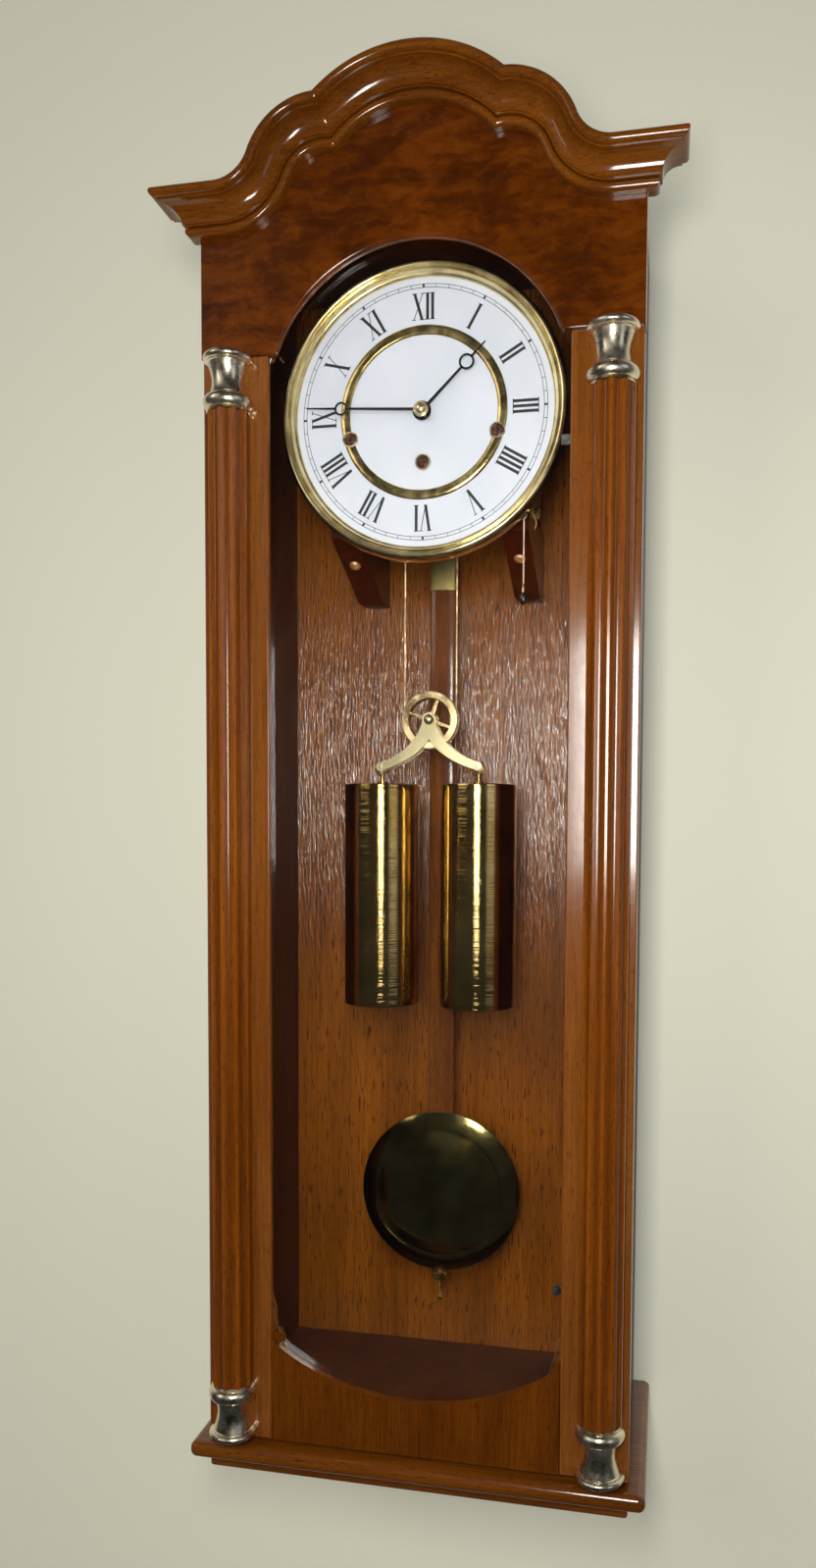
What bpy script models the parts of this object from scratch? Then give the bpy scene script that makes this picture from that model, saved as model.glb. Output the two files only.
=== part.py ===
"""Regulator wall clock with a hinged front, a cable-driven pair of weights and a pendulum.

Metres, +Z up. The clock faces -Y and hangs on a wall at y = 0. X runs to the right as seen
from the front, x = 0 is the plane of symmetry, and the origin is the hanging point on the wall.
"""
import math

import bmesh
import bpy
from mathutils import Matrix, Vector

MM = 0.001
GAP = 0.3 * MM
MERGE = 0.01 * MM
ROUND = 2 * math.pi

# Depths, measured along Y from the wall towards the room.
CASE_FRONT_Y = -133.7 * MM
DOOR_BACK_Y = CASE_FRONT_Y - GAP
STILE_FRONT_Y = -149.0 * MM
HEAD_FRONT_Y = -152.0 * MM
LIP_BACK_Y = -144.5 * MM
BACK_PANEL_REAR_Y = -4.0 * MM
BACK_PANEL_THICK = 5.0 * MM
DIAL_FRONT_Y = -123.0 * MM
WEIGHT_Y = -95.0 * MM
PENDULUM_Y = -50.0 * MM
CORD_Y = -113.0 * MM

# Case.
CASE_HALF = 160.5 * MM
SIDE_TOP_Z = 37.5 * MM
CEILING_Z = 28.0 * MM
FLOOR_Z = -872.0 * MM
FLOOR_THICK = 12.0 * MM
PLINTH_TOP_Z = -894.5 * MM
PLINTH_THICK = 12.5 * MM
PLINTH_PROJECTION = 14.0 * MM
PLINTH_HALF = CASE_HALF + PLINTH_PROJECTION
PLINTH_FRONT_Y = -161.0 * MM
PLINTH_NOSE = 5.6 * MM
STEP_THICK = 10.5 * MM
STEP_PROJECTION = 1.0 * MM
STEP_HALF = CASE_HALF + STEP_PROJECTION
STEP_FRONT_Y = -150.5 * MM
STEP_CHAMFER = 2.5 * MM
BOARD_SOFTENING = 0.8 * MM
HANGER_HALF_WIDTH = 32.0 * MM
HANGER_HALF_HEIGHT = 14.0 * MM
HANGER_THICK = 1.5 * MM
KEYHOLE_RADIUS = 5.5 * MM
KEYHOLE_SLOT_HALF = 2.6 * MM
KEYHOLE_SLOT_TOP = 8.0 * MM
KEYHOLE_POCKET_DEPTH = 3.0 * MM
KEYHOLE_POCKET_MARGIN = 3.0 * MM

# Front frame, which is the door.
STILE_OVERHANG = 1.5 * MM
STILE_HALF = CASE_HALF + STILE_OVERHANG
STILE_WIDTH = 50.5 * MM
HEAD_OVERHANG = 0.5 * MM
HEAD_HALF = STILE_HALF + HEAD_OVERHANG
DOOR_FOOT_Z = -891.5 * MM
HEAD_FOOT_Z = -73.0 * MM
HEAD_TOP_DROP = 1.0 * MM
OPENING_HALF = STILE_HALF - STILE_WIDTH
CASE_REVEAL = 29.0 * MM
CASE_INNER = OPENING_HALF + CASE_REVEAL
OPENING_EDGE_ROUND = 7.0 * MM
APRON_ARC_RADIUS = 189.0 * MM
APRON_ARC_FOOT_Z = -849.5 * MM
APRON_CORNER_RADIUS = 14.0 * MM
REBATE_WIDTH = 7.0 * MM
GLASS_PLAY = 0.8 * MM
GLASS_THICK = 3.0 * MM
GLASS_FOOT_Z = -857.0 * MM
GLASS_CUT_X = 26.5 * MM
GLASS_CUT_Z = 88.5 * MM

# Crown moulding, whose line is drawn in shares of the head's half width.
CROWN_FLAT_Z = 38.5 * MM
CROWN_HEIGHT = 26.5 * MM
CENTRE_ARCH_SHARE = 0.6277
CENTRE_ARCH_SINK_SHARE = 0.1508
SHOULDER_SHARE = 0.3305
SHOULDER_PLACE_SHARE = 0.4062
SHOULDER_SINK_SHARE = 0.0105
COVE_PLACE_SHARE = 0.8677
CENTRE_ARCH_RADIUS = HEAD_HALF * CENTRE_ARCH_SHARE
CENTRE_ARCH_Z = CROWN_FLAT_Z - HEAD_HALF * CENTRE_ARCH_SINK_SHARE
SHOULDER_RADIUS = HEAD_HALF * SHOULDER_SHARE
SHOULDER_X = HEAD_HALF * SHOULDER_PLACE_SHARE
SHOULDER_Z = CROWN_FLAT_Z - HEAD_HALF * SHOULDER_SINK_SHARE
COVE_X = HEAD_HALF * COVE_PLACE_SHARE
RETURN_DEPTH = 5.0 * MM
NOSE_RADIUS = 3.4 * MM
NOSE_PROJECTION = 23.6 * MM
CROWN_FILLET = 1.2 * MM
CROWN_COVE_TOP = 8.2 * MM
CROWN_COVE_HEIGHT = 11.0 * MM
CROWN_COVE_DEPTH = 12.0 * MM
CROWN_COVE_START = 21.4 * MM
BEAD_RADIUS = 3.0 * MM
BEAD_DROP = 23.4 * MM
BEAD_PROJECTION = 4.8 * MM

# Columns.
COLUMN_INSET = 21.2 * MM
COLUMN_X = STILE_HALF - COLUMN_INSET
COLUMN_STAND_OFF = 3.5 * MM
COLUMN_Y = STILE_FRONT_Y - COLUMN_STAND_OFF
COLUMN_RADIUS = 16.6 * MM
COLUMN_FLUTES = 10
FLUTE_DEPTH = 1.7 * MM
CAPITAL_HEIGHT = 42.0 * MM
CAPITAL_RIM_RADIUS = 18.4 * MM
CAPITAL_RIM_HEIGHT = 5.5 * MM
CAPITAL_FILLET = 1.2 * MM
CAPITAL_THROAT = 5.0 * MM
CAPITAL_NECK_TOP = CAPITAL_RIM_HEIGHT + CAPITAL_THROAT
CAPITAL_TORUS_RADIUS = 5.6 * MM
CAPITAL_TORUS_INSET = 7.4 * MM
CAPITAL_TORUS_DROP = CAPITAL_HEIGHT - CAPITAL_TORUS_INSET
CAPITAL_NECK_MARGIN = 0.5 * MM
CAPITAL_NECK_FOOT = CAPITAL_TORUS_DROP - CAPITAL_TORUS_RADIUS - CAPITAL_NECK_MARGIN
CAPITAL_WAIST_RADIUS = 12.0 * MM
COLUMN_BASE_TOP_Z = -845.5 * MM

# Dial and hands.
DIAL_Z = -112.0 * MM
DIAL_THICK = 1.5 * MM
DIAL_HOLE_RADIUS = 5.5 * MM
WINDING_HOLE_RADIUS = 4.8 * MM
BEZEL_RADIUS = 108.5 * MM
BEZEL_WIDTH = 11.2 * MM
BEZEL_INNER_RADIUS = BEZEL_RADIUS - BEZEL_WIDTH
BEZEL_WALL = 7.5 * MM
DIAL_RADIUS = BEZEL_RADIUS - BEZEL_WALL
BEZEL_HEIGHT = 6.9 * MM
BEZEL_SKIRT = 4.0 * MM
RING_HEIGHT = 1.6 * MM
RING_INNER_RADIUS = 56.0 * MM
RING_OUTER_RADIUS = 63.2 * MM
MINUTE_TIP = 88.4 * MM
MINUTE_RING = 61.3 * MM
HOUR_TIP = 66.3 * MM
HOUR_RING = 46.7 * MM
HAND_THICK = 0.8 * MM
MINUTE_LIFT = 7.4 * MM
MINUTE_HUB = 5.6 * MM
MINUTE_RING_RADIUS = 5.0 * MM
MINUTE_RING_HOLE = 3.6 * MM
MINUTE_ROOT_HALF = 1.4 * MM
MINUTE_END_HALF = 0.7 * MM
MINUTE_ARBOR_RADIUS = 2.1 * MM
MINUTE_ARBOR_BACK_Y = -80.0 * MM
HOUR_LIFT = 4.6 * MM
HOUR_HUB = 7.0 * MM
HOUR_RING_RADIUS = 5.8 * MM
HOUR_RING_HOLE = 4.2 * MM
HOUR_ROOT_HALF = 1.7 * MM
HOUR_END_HALF = 0.8 * MM
HOUR_PIPE_RADIUS = 3.4 * MM
HOUR_PIPE_BORE = MINUTE_ARBOR_RADIUS + GAP
HAND_NUT_RADIUS = 6.6 * MM
HAND_NUT_HEIGHT = 4.2 * MM
MINUTE_ANGLE = math.radians(274.0)
HOUR_ANGLE = math.radians(45.5)
SIDE_ARBOR_X = 55.8 * MM
SIDE_ARBOR_DROP = 16.5 * MM
SIDE_ARBOR_Z = DIAL_Z - SIDE_ARBOR_DROP
DRUM_DROP = 36.0 * MM
DRUM_Z = DIAL_Z - DRUM_DROP

# Movement.
PLATE_HALF = 80.0 * MM
PLATE_TOP_Z = -61.0 * MM
PLATE_FOOT_Z = -176.0 * MM
PLATE_THICK = 2.5 * MM
FRONT_PLATE_Y = -108.0 * MM
BACK_PLATE_Y = -62.0 * MM
PILLAR_RADIUS = 4.0 * MM
PILLAR_INSET = 8.0 * MM
DIAL_FOOT_RADIUS = 2.5 * MM
DIAL_FOOT_CIRCLE = 78.0 * MM
ARBOR_RADIUS = 2.4 * MM
ARBOR_PLAY = 0.1 * MM
PIVOT_Z = -84.0 * MM
STAND_FOOT_Z = PIVOT_Z + ARBOR_RADIUS * 2
STAND_HEIGHT = 10.0 * MM
STAND_HALF = 7.0 * MM
ESCAPE_Z = -107.0 * MM
ESCAPE_RADIUS = 15.0 * MM
ESCAPE_TEETH = 30
ESCAPE_TOOTH = 2.6 * MM
ESCAPE_Y = -70.8 * MM
PALLET_CLEARANCE = 1.4 * MM
PALLET_DEPTH = 3.0 * MM
CRUTCH_Y = -57.8 * MM
CRUTCH_LENGTH = 46.0 * MM
GREAT_WHEEL_RADIUS = 27.0 * MM
GREAT_WHEEL_TEETH = 60
GREAT_WHEEL_TOOTH = 1.2 * MM
GREAT_WHEEL_Y = -83.2 * MM
WHEEL_THICK = 2.5 * MM
DRUM_FRONT_Y = -105.0 * MM
BARREL_RADIUS = 22.0 * MM
BARREL_BACK_Y = -72.0 * MM
BARREL_FRONT_Y = -100.0 * MM
CABLE_POST_RADIUS = 3.0 * MM
CABLE_POST_INSET = 4.5 * MM
CABLE_POST_Z = PLATE_FOOT_Z + CABLE_POST_INSET

# Brackets.
BRACKET_X = 66.5 * MM
BRACKET_WIDTH = 21.0 * MM
BRACKET_FOOT_Z = -229.5 * MM
BRACKET_NOSE_Z = -196.0 * MM
BRACKET_NOSE_Y = -106.0 * MM
BRACKET_HEEL_Y = -34.0 * MM
BRACKET_SCREW_SHARE = 0.6
SCREW_HEAD_RADIUS = 4.6 * MM
SCREW_HEAD_HEIGHT = 2.2 * MM
SCREW_SHANK_RADIUS = 2.0 * MM
SCREW_SHANK_LENGTH = 12.0 * MM

# Weight drive.
CABLE_RADIUS = 0.65 * MM
CABLE_OFFSET = 20.5 * MM
PULLEY_Z = -335.0 * MM
PULLEY_RADIUS = 22.4 * MM
PULLEY_HALF_WIDTH = 3.5 * MM
PULLEY_RIM_INNER = 17.0 * MM
PULLEY_HUB_RADIUS = 5.0 * MM
SPOKE_HALF = 1.3 * MM
AXLE_RADIUS = 2.0 * MM
PULLEY_SPOKE_TILT = math.radians(-20.0)
YOKE_PLATE_THICK = 1.5 * MM
YOKE_PLATE_OFFSET = 5.2 * MM
YOKE_PIN_X = 38.5 * MM
YOKE_PIN_Z = -371.0 * MM
YOKE_PIN_RADIUS = 1.5 * MM
YOKE_APEX_Z = -350.0 * MM
YOKE_HEAD_RADIUS = 5.5 * MM
YOKE_END_RADIUS = 3.4 * MM
YOKE_NUT_RADIUS = 4.0 * MM
WEIGHT_RADIUS = 29.4 * MM
WEIGHT_TOP_Z = -385.0 * MM
WEIGHT_FOOT_Z = -556.5 * MM
WEIGHT_HOOK_RADIUS = 4.5 * MM
WEIGHT_HOOK_WIRE = 0.9 * MM

# Pendulum.
ROD_HALF_WIDTH = 10.7 * MM
ROD_HALF_THICK = 3.0 * MM
ROD_TOP_Z = -226.0 * MM
ROD_FOOT_Z = -778.0 * MM
BOB_Z = -722.0 * MM
BOB_RADIUS = 67.8 * MM
BOB_HALF_THICK = 11.0 * MM
BOB_EDGE_HALF = 1.4 * MM
BOB_STEP_SHARE = 0.78
BOB_STEP_TOP = 5.4 * MM
BOB_STEP_FOOT = 4.6 * MM
SPRING_HALF = 4.0 * MM
SPRING_FOOT_Z = -150.0 * MM
TOP_PLATE_Z = -188.0 * MM
RATING_SCREW_RADIUS = 1.6 * MM
RATING_SCREW_FOOT_Z = -815.0 * MM
RATING_NUT_TOP_Z = -790.5 * MM
RATING_NUT_HEIGHT = 6.5 * MM
RATING_NUT_RADIUS = 6.0 * MM

# Repeat pull.
GUARD_X = 81.2 * MM
GUARD_TOP_Z = -171.0 * MM
GUARD_HEIGHT = 27.0 * MM
LEVER_X = 40.0 * MM
LEVER_Z = -170.0 * MM
LEVER_STUD_RADIUS = 1.5 * MM
LEVER_HUB_RADIUS = 3.2 * MM
LEVER_HUB_HALF = 1.4 * MM
LEVER_WIRE_RADIUS = 0.8 * MM
CORD_X = 74.5 * MM
CORD_TOP_Z = -191.0 * MM
CORD_FOOT_Z = -237.5 * MM
CORD_RADIUS = 0.55 * MM
FERRULE_RADIUS = 1.5 * MM
FERRULE_HEIGHT = 6.0 * MM
BALL_Z = -248.0 * MM
BALL_RADIUS = 3.3 * MM
BALL_HALF = 4.7 * MM

# Hinges and clips.
HINGE_STAND_OFF = 3.2 * MM
HINGE_X = -STILE_HALF - HINGE_STAND_OFF
HINGE_Y = (CASE_FRONT_Y + DOOR_BACK_Y) / 2
HINGE_HALF_HEIGHT = 25.0 * MM
HINGE_HEIGHTS = {"upper": -190.0 * MM, "lower": -780.0 * MM}
LEAF_THICK = 1.2 * MM
LEAF_REACH = 15.2 * MM
LEAF_END_X = HINGE_X + LEAF_REACH
KNUCKLE_RADIUS = 2.3 * MM
HINGE_PIN_RADIUS = 1.1 * MM
CLIP_THICK = 1.2 * MM
CLIP_HALF_HEIGHT = 3.5 * MM
CLIP_TONGUE = 14.0 * MM
CLIP_FOOT = 9.0 * MM
CLIP_ABOVE_CUT = 11.5 * MM
CLIP_HEIGHTS = {"upper": -144.5 * MM, "lower": GLASS_FOOT_Z + GLASS_CUT_Z + CLIP_ABOVE_CUT}

# Base colour, roughness and metallic value of each finish, from the photo.
FINISHES = {
    "crown_wood": ((0.147, 0.034, 0.007), 0.2, 0.0),
    "burl_wood": ((0.102, 0.018, 0.003), 0.2, 0.0),
    "stile_wood": ((0.254, 0.060, 0.007), 0.25, 0.0),
    "column_wood": ((0.159, 0.034, 0.006), 0.22, 0.0),
    "inner_wood": ((0.023, 0.007, 0.005), 0.35, 0.0),
    "back_wood": ((0.195, 0.060, 0.010), 0.4, 0.0),
    "brass": ((0.80, 0.58, 0.22), 0.18, 1.0),
    "pale_brass": ((0.80, 0.74, 0.58), 0.12, 1.0),
    "steel": ((0.55, 0.55, 0.55), 0.3, 1.0),
    "copper": ((0.72, 0.38, 0.25), 0.3, 1.0),
    "white_enamel": ((0.85, 0.85, 0.86), 0.25, 0.0),
    "black": ((0.01, 0.01, 0.012), 0.3, 0.0),
    "glass": ((0.9, 0.95, 0.92), 0.02, 0.0),
    "cord": ((0.6, 0.5, 0.35), 0.8, 0.0),
}

for leftover in list(bpy.data.objects):
    bpy.data.objects.remove(leftover, do_unlink=True)

parts = bpy.data.collections.new("regulator_wall_clock")
cutters = bpy.data.collections.new("cutters")
for collection in (parts, cutters):
    bpy.context.scene.collection.children.link(collection)


def finish_material(name, finish):
    colour, roughness, metallic = FINISHES[finish]
    material = bpy.data.materials.new(name)
    material.use_nodes = True
    shader = material.node_tree.nodes["Principled BSDF"]
    shader.inputs["Base Color"].default_value = (*colour, 1.0)
    shader.inputs["Roughness"].default_value = roughness
    shader.inputs["Metallic"].default_value = metallic
    if finish == "glass":
        shader.inputs["Transmission Weight"].default_value = 1.0
    return material


def add_part(name, mesh, finish, smooth_angle=None):
    """Link a finished mesh as one named part."""
    if smooth_angle is not None:
        mesh.shade_smooth()
        mesh.set_sharp_from_angle(angle=smooth_angle)
    part = bpy.data.objects.new(name, mesh)
    parts.objects.link(part)
    mesh.materials.clear()
    mesh.materials.append(finish_material(name, finish))
    return part


def helper(mesh):
    """Link a mesh that only cuts or joins a part."""
    shape = bpy.data.objects.new("helper", mesh)
    cutters.objects.link(shape)
    shape.hide_render = True
    shape.display_type = "WIRE"
    return shape


def combine(part, mesh, operation):
    """Add a Boolean that joins a mesh to the part or cuts it away."""
    other = helper(mesh)
    bpy.context.view_layer.update()
    other.matrix_world = part.matrix_world
    modifier = part.modifiers.new(operation.lower(), "BOOLEAN")
    modifier.operation = operation
    modifier.object = other
    return other


def join(part, mesh):
    return combine(part, mesh, "UNION")


def cut(part, mesh):
    return combine(part, mesh, "DIFFERENCE")


def to_mesh(name, bm):
    mesh = bpy.data.meshes.new(name)
    bm.to_mesh(mesh)
    bm.free()
    return mesh


def box_mesh(x, y, z, soften=0.0, segments=1, soft_edge=None):
    """A box between pairs of limits; soft_edge picks the edges to round, all of them by default."""
    bm = bmesh.new()
    size = Vector((x[1] - x[0], y[1] - y[0], z[1] - z[0]))
    centre = Vector((x[0] + x[1], y[0] + y[1], z[0] + z[1])) / 2
    bmesh.ops.create_cube(bm, size=1.0, matrix=Matrix.Translation(centre) @ Matrix.Diagonal((*size, 1.0)))
    if soften:
        edges = [edge for edge in bm.edges if soft_edge is None or soft_edge(edge)]
        bmesh.ops.bevel(bm, geom=edges, offset=soften, segments=segments, profile=0.5, affect="EDGES")
    return to_mesh("box", bm)


def cylinder_mesh(radius, start, end, sides=24):
    """A cylinder between two points."""
    bm = bmesh.new()
    start = Vector(start)
    axis = Vector(end) - start
    turn = axis.to_track_quat("Z", "Y").to_matrix().to_4x4()
    place = Matrix.Translation(start + axis / 2) @ turn
    bmesh.ops.create_cone(bm, cap_ends=True, segments=sides, radius1=radius, radius2=radius,
                          depth=axis.length, matrix=place)
    return to_mesh("cylinder", bm)


def evaluated_mesh(source):
    """The mesh that a helper object evaluates to, welded, with its normals out."""
    bpy.context.view_layer.update()
    depsgraph = bpy.context.evaluated_depsgraph_get()
    mesh = bpy.data.meshes.new_from_object(source.evaluated_get(depsgraph), depsgraph=depsgraph)
    mesh.transform(source.matrix_world)
    bpy.data.objects.remove(source, do_unlink=True)
    bm = bmesh.new()
    bm.from_mesh(mesh)
    bmesh.ops.remove_doubles(bm, verts=bm.verts, dist=MERGE)
    bmesh.ops.recalc_face_normals(bm, faces=bm.faces)
    bm.to_mesh(mesh)
    bm.free()
    return mesh


def sheet_mesh(outlines, low, high, standing=True, tidy=True):
    """Flat outlines filled and given a thickness.

    Standing outlines are (x, z) points with the thickness along Y; the others are (x, y)
    points with the thickness along Z. Outlines after the first are holes.
    """
    curve = bpy.data.curves.new("outline", "CURVE")
    curve.dimensions = "2D"
    curve.fill_mode = "BOTH"
    curve.extrude = (high - low) / 2
    for outline in outlines:
        spline = curve.splines.new("POLY")
        spline.points.add(len(outline) - 1)
        for point, (across, along) in zip(spline.points, outline):
            point.co = (across, along, 0.0, 1.0)
        spline.use_cyclic_u = True
    source = bpy.data.objects.new("outline", curve)
    cutters.objects.link(source)
    middle = (low + high) / 2
    if standing:
        source.location = (0.0, middle, 0.0)
        source.rotation_euler = (math.pi / 2, 0.0, 0.0)
    else:
        source.location = (0.0, 0.0, middle)
    mesh = evaluated_mesh(source)
    if tidy:
        bm = bmesh.new()
        bm.from_mesh(mesh)
        bmesh.ops.dissolve_limit(bm, angle_limit=math.radians(0.2), verts=bm.verts, edges=bm.edges)
        bm.to_mesh(mesh)
        bm.free()
    return mesh


def turned_mesh(profile, place, sides=32, closed=False):
    """A profile of (radius, height) pairs, outer side top to bottom, turned about Z and placed."""
    bm = bmesh.new()
    points = [bm.verts.new((radius, 0.0, height)) for radius, height in profile]
    pairs = list(zip(points, points[1:]))
    if closed:
        pairs.append((points[-1], points[0]))
    for first, second in pairs:
        bm.edges.new((first, second))
    source = bpy.data.objects.new("profile", to_mesh("profile", bm))
    cutters.objects.link(source)
    source.matrix_world = place
    screw = source.modifiers.new("turn", "SCREW")
    screw.steps = sides
    screw.render_steps = sides
    screw.use_merge_vertices = True
    screw.merge_threshold = MERGE
    return evaluated_mesh(source)


def upright(x, y, z):
    """Placement of a turned shape whose axis is vertical."""
    return Matrix.Translation((x, y, z))


def facing(x, y, z):
    """Placement of a turned shape whose heights point towards the room."""
    return Matrix.Translation((x, y, z)) @ Matrix.Rotation(math.pi / 2, 4, "X")


def arc(centre, radius, start, end, steps):
    """Points of an arc from one angle to another, both ends included."""
    angles = [start + (end - start) * step / steps for step in range(steps + 1)]
    return [(centre[0] + radius * math.cos(a), centre[1] + radius * math.sin(a)) for a in angles]


def circle(centre, radius, sides):
    return arc(centre, radius, 0.0, ROUND * (sides - 1) / sides, sides - 1)


def mirrored(points):
    """The same points on the other side, in the opposite order."""
    return [(-across, along) for across, along in reversed(points)]


def tube_mesh(points, radius, resolution=2):
    """A round wire along the points, with filled caps."""
    curve = bpy.data.curves.new("wire", "CURVE")
    curve.dimensions = "3D"
    curve.bevel_depth = radius
    curve.bevel_resolution = resolution
    curve.use_fill_caps = True
    spline = curve.splines.new("POLY")
    spline.points.add(len(points) - 1)
    for point, place in zip(spline.points, points):
        point.co = (*place, 1.0)
    source = bpy.data.objects.new("wire", curve)
    cutters.objects.link(source)
    return evaluated_mesh(source)


def pivot(name, place):
    """An empty on a joint's axis, which the moving pieces hang from."""
    empty = bpy.data.objects.new(name, None)
    parts.objects.link(empty)
    empty.location = place
    return empty


def hang(pieces, empty):
    """Parent pieces to an empty without moving them."""
    for piece in pieces:
        piece.parent = empty
        piece.location = piece.location - empty.location


SMOOTH = math.radians(35)


# Case.
def build_case():
    fit = CASE_INNER - GAP
    for side, name in ((-1, "case_side_left"), (1, "case_side_right")):
        limits = sorted((side * CASE_INNER, side * CASE_HALF))
        board = box_mesh(limits, (CASE_FRONT_Y, 0.0), (PLINTH_TOP_Z + GAP, SIDE_TOP_Z), BOARD_SOFTENING)
        case_side = add_part(name, board, "crown_wood")
        if side < 0:
            for height in HINGE_HEIGHTS.values():
                cut(case_side, mortise_mesh(height, CASE_FRONT_Y - LEAF_THICK, CASE_FRONT_Y + LEAF_THICK + GAP))
    panel_front = BACK_PANEL_REAR_Y - BACK_PANEL_THICK
    floor_foot = FLOOR_Z - FLOOR_THICK
    panel = box_mesh((-fit, fit), (panel_front, BACK_PANEL_REAR_Y), (floor_foot, SIDE_TOP_Z))
    back_panel = add_part("back_panel", panel, "back_wood")
    pocket_half = KEYHOLE_RADIUS + KEYHOLE_POCKET_MARGIN
    pocket_top = KEYHOLE_SLOT_TOP + KEYHOLE_SLOT_HALF + KEYHOLE_POCKET_MARGIN
    cut(back_panel, box_mesh((-pocket_half, pocket_half), (BACK_PANEL_REAR_Y - KEYHOLE_POCKET_DEPTH, 0.0),
                             (-KEYHOLE_SLOT_HALF - pocket_half, pocket_top)))
    board_depth = (CASE_FRONT_Y, panel_front - GAP)
    add_part("top_board", box_mesh((-fit, fit), board_depth, (CEILING_Z, SIDE_TOP_Z)), "inner_wood")
    add_part("floor_board", box_mesh((-fit, fit), board_depth, (floor_foot, FLOOR_Z)), "inner_wood")


def on_the_front_and_sides(edge):
    """True for a level edge that is not on the wall side."""
    first, second = (vert.co for vert in edge.verts)
    level = abs(first.z - second.z) < MERGE
    at_the_wall = max(first.y, second.y) > -MERGE and abs(first.y - second.y) < MERGE
    return level and not at_the_wall


def build_plinth():
    height = (PLINTH_TOP_Z - PLINTH_THICK, PLINTH_TOP_Z)
    nose = box_mesh((-PLINTH_HALF, PLINTH_HALF), (PLINTH_FRONT_Y, 0.0), height, PLINTH_NOSE, 5,
                    on_the_front_and_sides)
    add_part("base_plinth", nose, "crown_wood", SMOOTH)
    step_top = PLINTH_TOP_Z - PLINTH_THICK - GAP
    step = box_mesh((-STEP_HALF, STEP_HALF), (STEP_FRONT_Y, 0.0), (step_top - STEP_THICK, step_top),
                    STEP_CHAMFER, 3, on_the_front_and_sides)
    add_part("base_step", step, "crown_wood", SMOOTH)


def build_hanger():
    """Steel plate with a keyhole, behind the back panel."""
    width = HANGER_HALF_WIDTH
    height = HANGER_HALF_HEIGHT
    outline = [(-width, -height), (width, -height), (width, height), (-width, height)]
    opening = math.asin(KEYHOLE_SLOT_HALF / KEYHOLE_RADIUS)
    head = arc((0.0, -KEYHOLE_SLOT_HALF), KEYHOLE_RADIUS, math.pi / 2 + opening, math.pi * 5 / 2 - opening, 14)
    keyhole = head + arc((0.0, KEYHOLE_SLOT_TOP), KEYHOLE_SLOT_HALF, 0.0, math.pi, 6)
    front = BACK_PANEL_REAR_Y + GAP
    plate = sheet_mesh([outline, keyhole], front, front + HANGER_THICK)
    add_part("hanger_plate", plate, "steel")


# Crown.
def cove_radius():
    """Radius of the cove that touches both the shoulder's arc and the flat end."""
    across = COVE_X - SHOULDER_X
    rise = CROWN_FLAT_Z - SHOULDER_Z
    return (across ** 2 + rise ** 2 - SHOULDER_RADIUS ** 2) / (2 * (SHOULDER_RADIUS - rise))


def crown_line(drop, end_x, centre_steps=7, shoulder_steps=6, cove_steps=4):
    """The crown's outline as (x, z) points from left to right, set inwards by drop."""
    centre_radius = CENTRE_ARCH_RADIUS - drop
    shoulder_radius = SHOULDER_RADIUS - drop
    between = Vector((SHOULDER_X, SHOULDER_Z - CENTRE_ARCH_Z))
    span = between.length
    along = (centre_radius ** 2 - shoulder_radius ** 2 + span ** 2) / (2 * span)
    beside = math.sqrt(centre_radius ** 2 - along ** 2)
    direction = between / span
    valley = Vector((0.0, CENTRE_ARCH_Z)) + direction * along + Vector((-direction.y, direction.x)) * beside
    cove = cove_radius()
    cove_z = CROWN_FLAT_Z + cove
    touch = math.atan2(cove_z - SHOULDER_Z, COVE_X - SHOULDER_X)
    valley_from_centre = math.atan2(valley.y - CENTRE_ARCH_Z, valley.x)
    valley_from_shoulder = math.atan2(valley.y - SHOULDER_Z, valley.x - SHOULDER_X)
    right = arc((0.0, CENTRE_ARCH_Z), centre_radius, math.pi / 2, valley_from_centre, centre_steps)
    right += arc((SHOULDER_X, SHOULDER_Z), shoulder_radius, valley_from_shoulder, touch, shoulder_steps)[1:]
    right += arc((COVE_X, cove_z), cove + drop, math.pi + touch, math.pi * 3 / 2, cove_steps)[1:]
    right.append((end_x, CROWN_FLAT_Z - drop))
    return mirrored(right)[:-1] + right


def crown_profile():
    """The moulding's section as (drop, projection) pairs, from its top back edge round the front."""
    nose = arc((NOSE_RADIUS, NOSE_PROJECTION), NOSE_RADIUS, math.pi, 0.0, 5)
    fillet_drop = 2 * NOSE_RADIUS
    step_back = NOSE_PROJECTION - CROWN_FILLET
    fillet = [(fillet_drop, step_back), (CROWN_COVE_TOP, step_back)]
    cove = []
    cove_steps = 5
    for step in range(cove_steps + 1):
        angle = math.pi / 2 * step / cove_steps
        cove.append((CROWN_COVE_TOP + CROWN_COVE_HEIGHT * (1 - math.cos(angle)),
                     CROWN_COVE_START - CROWN_COVE_DEPTH * math.sin(angle)))
    lower_projection = cove[-1][1] - CROWN_FILLET
    lower_fillet = [(cove[-1][0], lower_projection), (BEAD_DROP - BEAD_RADIUS, lower_projection)]
    bead = arc((BEAD_DROP, BEAD_PROJECTION), BEAD_RADIUS, math.pi, 0.0, 5)
    foot = [(CROWN_HEIGHT, BEAD_PROJECTION), (CROWN_HEIGHT, 0.0)]
    return [(0.0, 0.0)] + nose + fillet + cove + lower_fillet + bead + foot


def loft_mesh(sections):
    """A closed skin through sections that all have the same number of points."""
    bm = bmesh.new()
    rings = [[bm.verts.new(point) for point in section] for section in sections]
    for ring, following in zip(rings, rings[1:]):
        for index in range(len(ring)):
            after = (index + 1) % len(ring)
            bm.faces.new((ring[index], ring[after], following[after], following[index]))
    bm.faces.new(rings[0])
    bm.faces.new(rings[-1])
    bmesh.ops.recalc_face_normals(bm, faces=bm.faces)
    return to_mesh("loft", bm)


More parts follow.
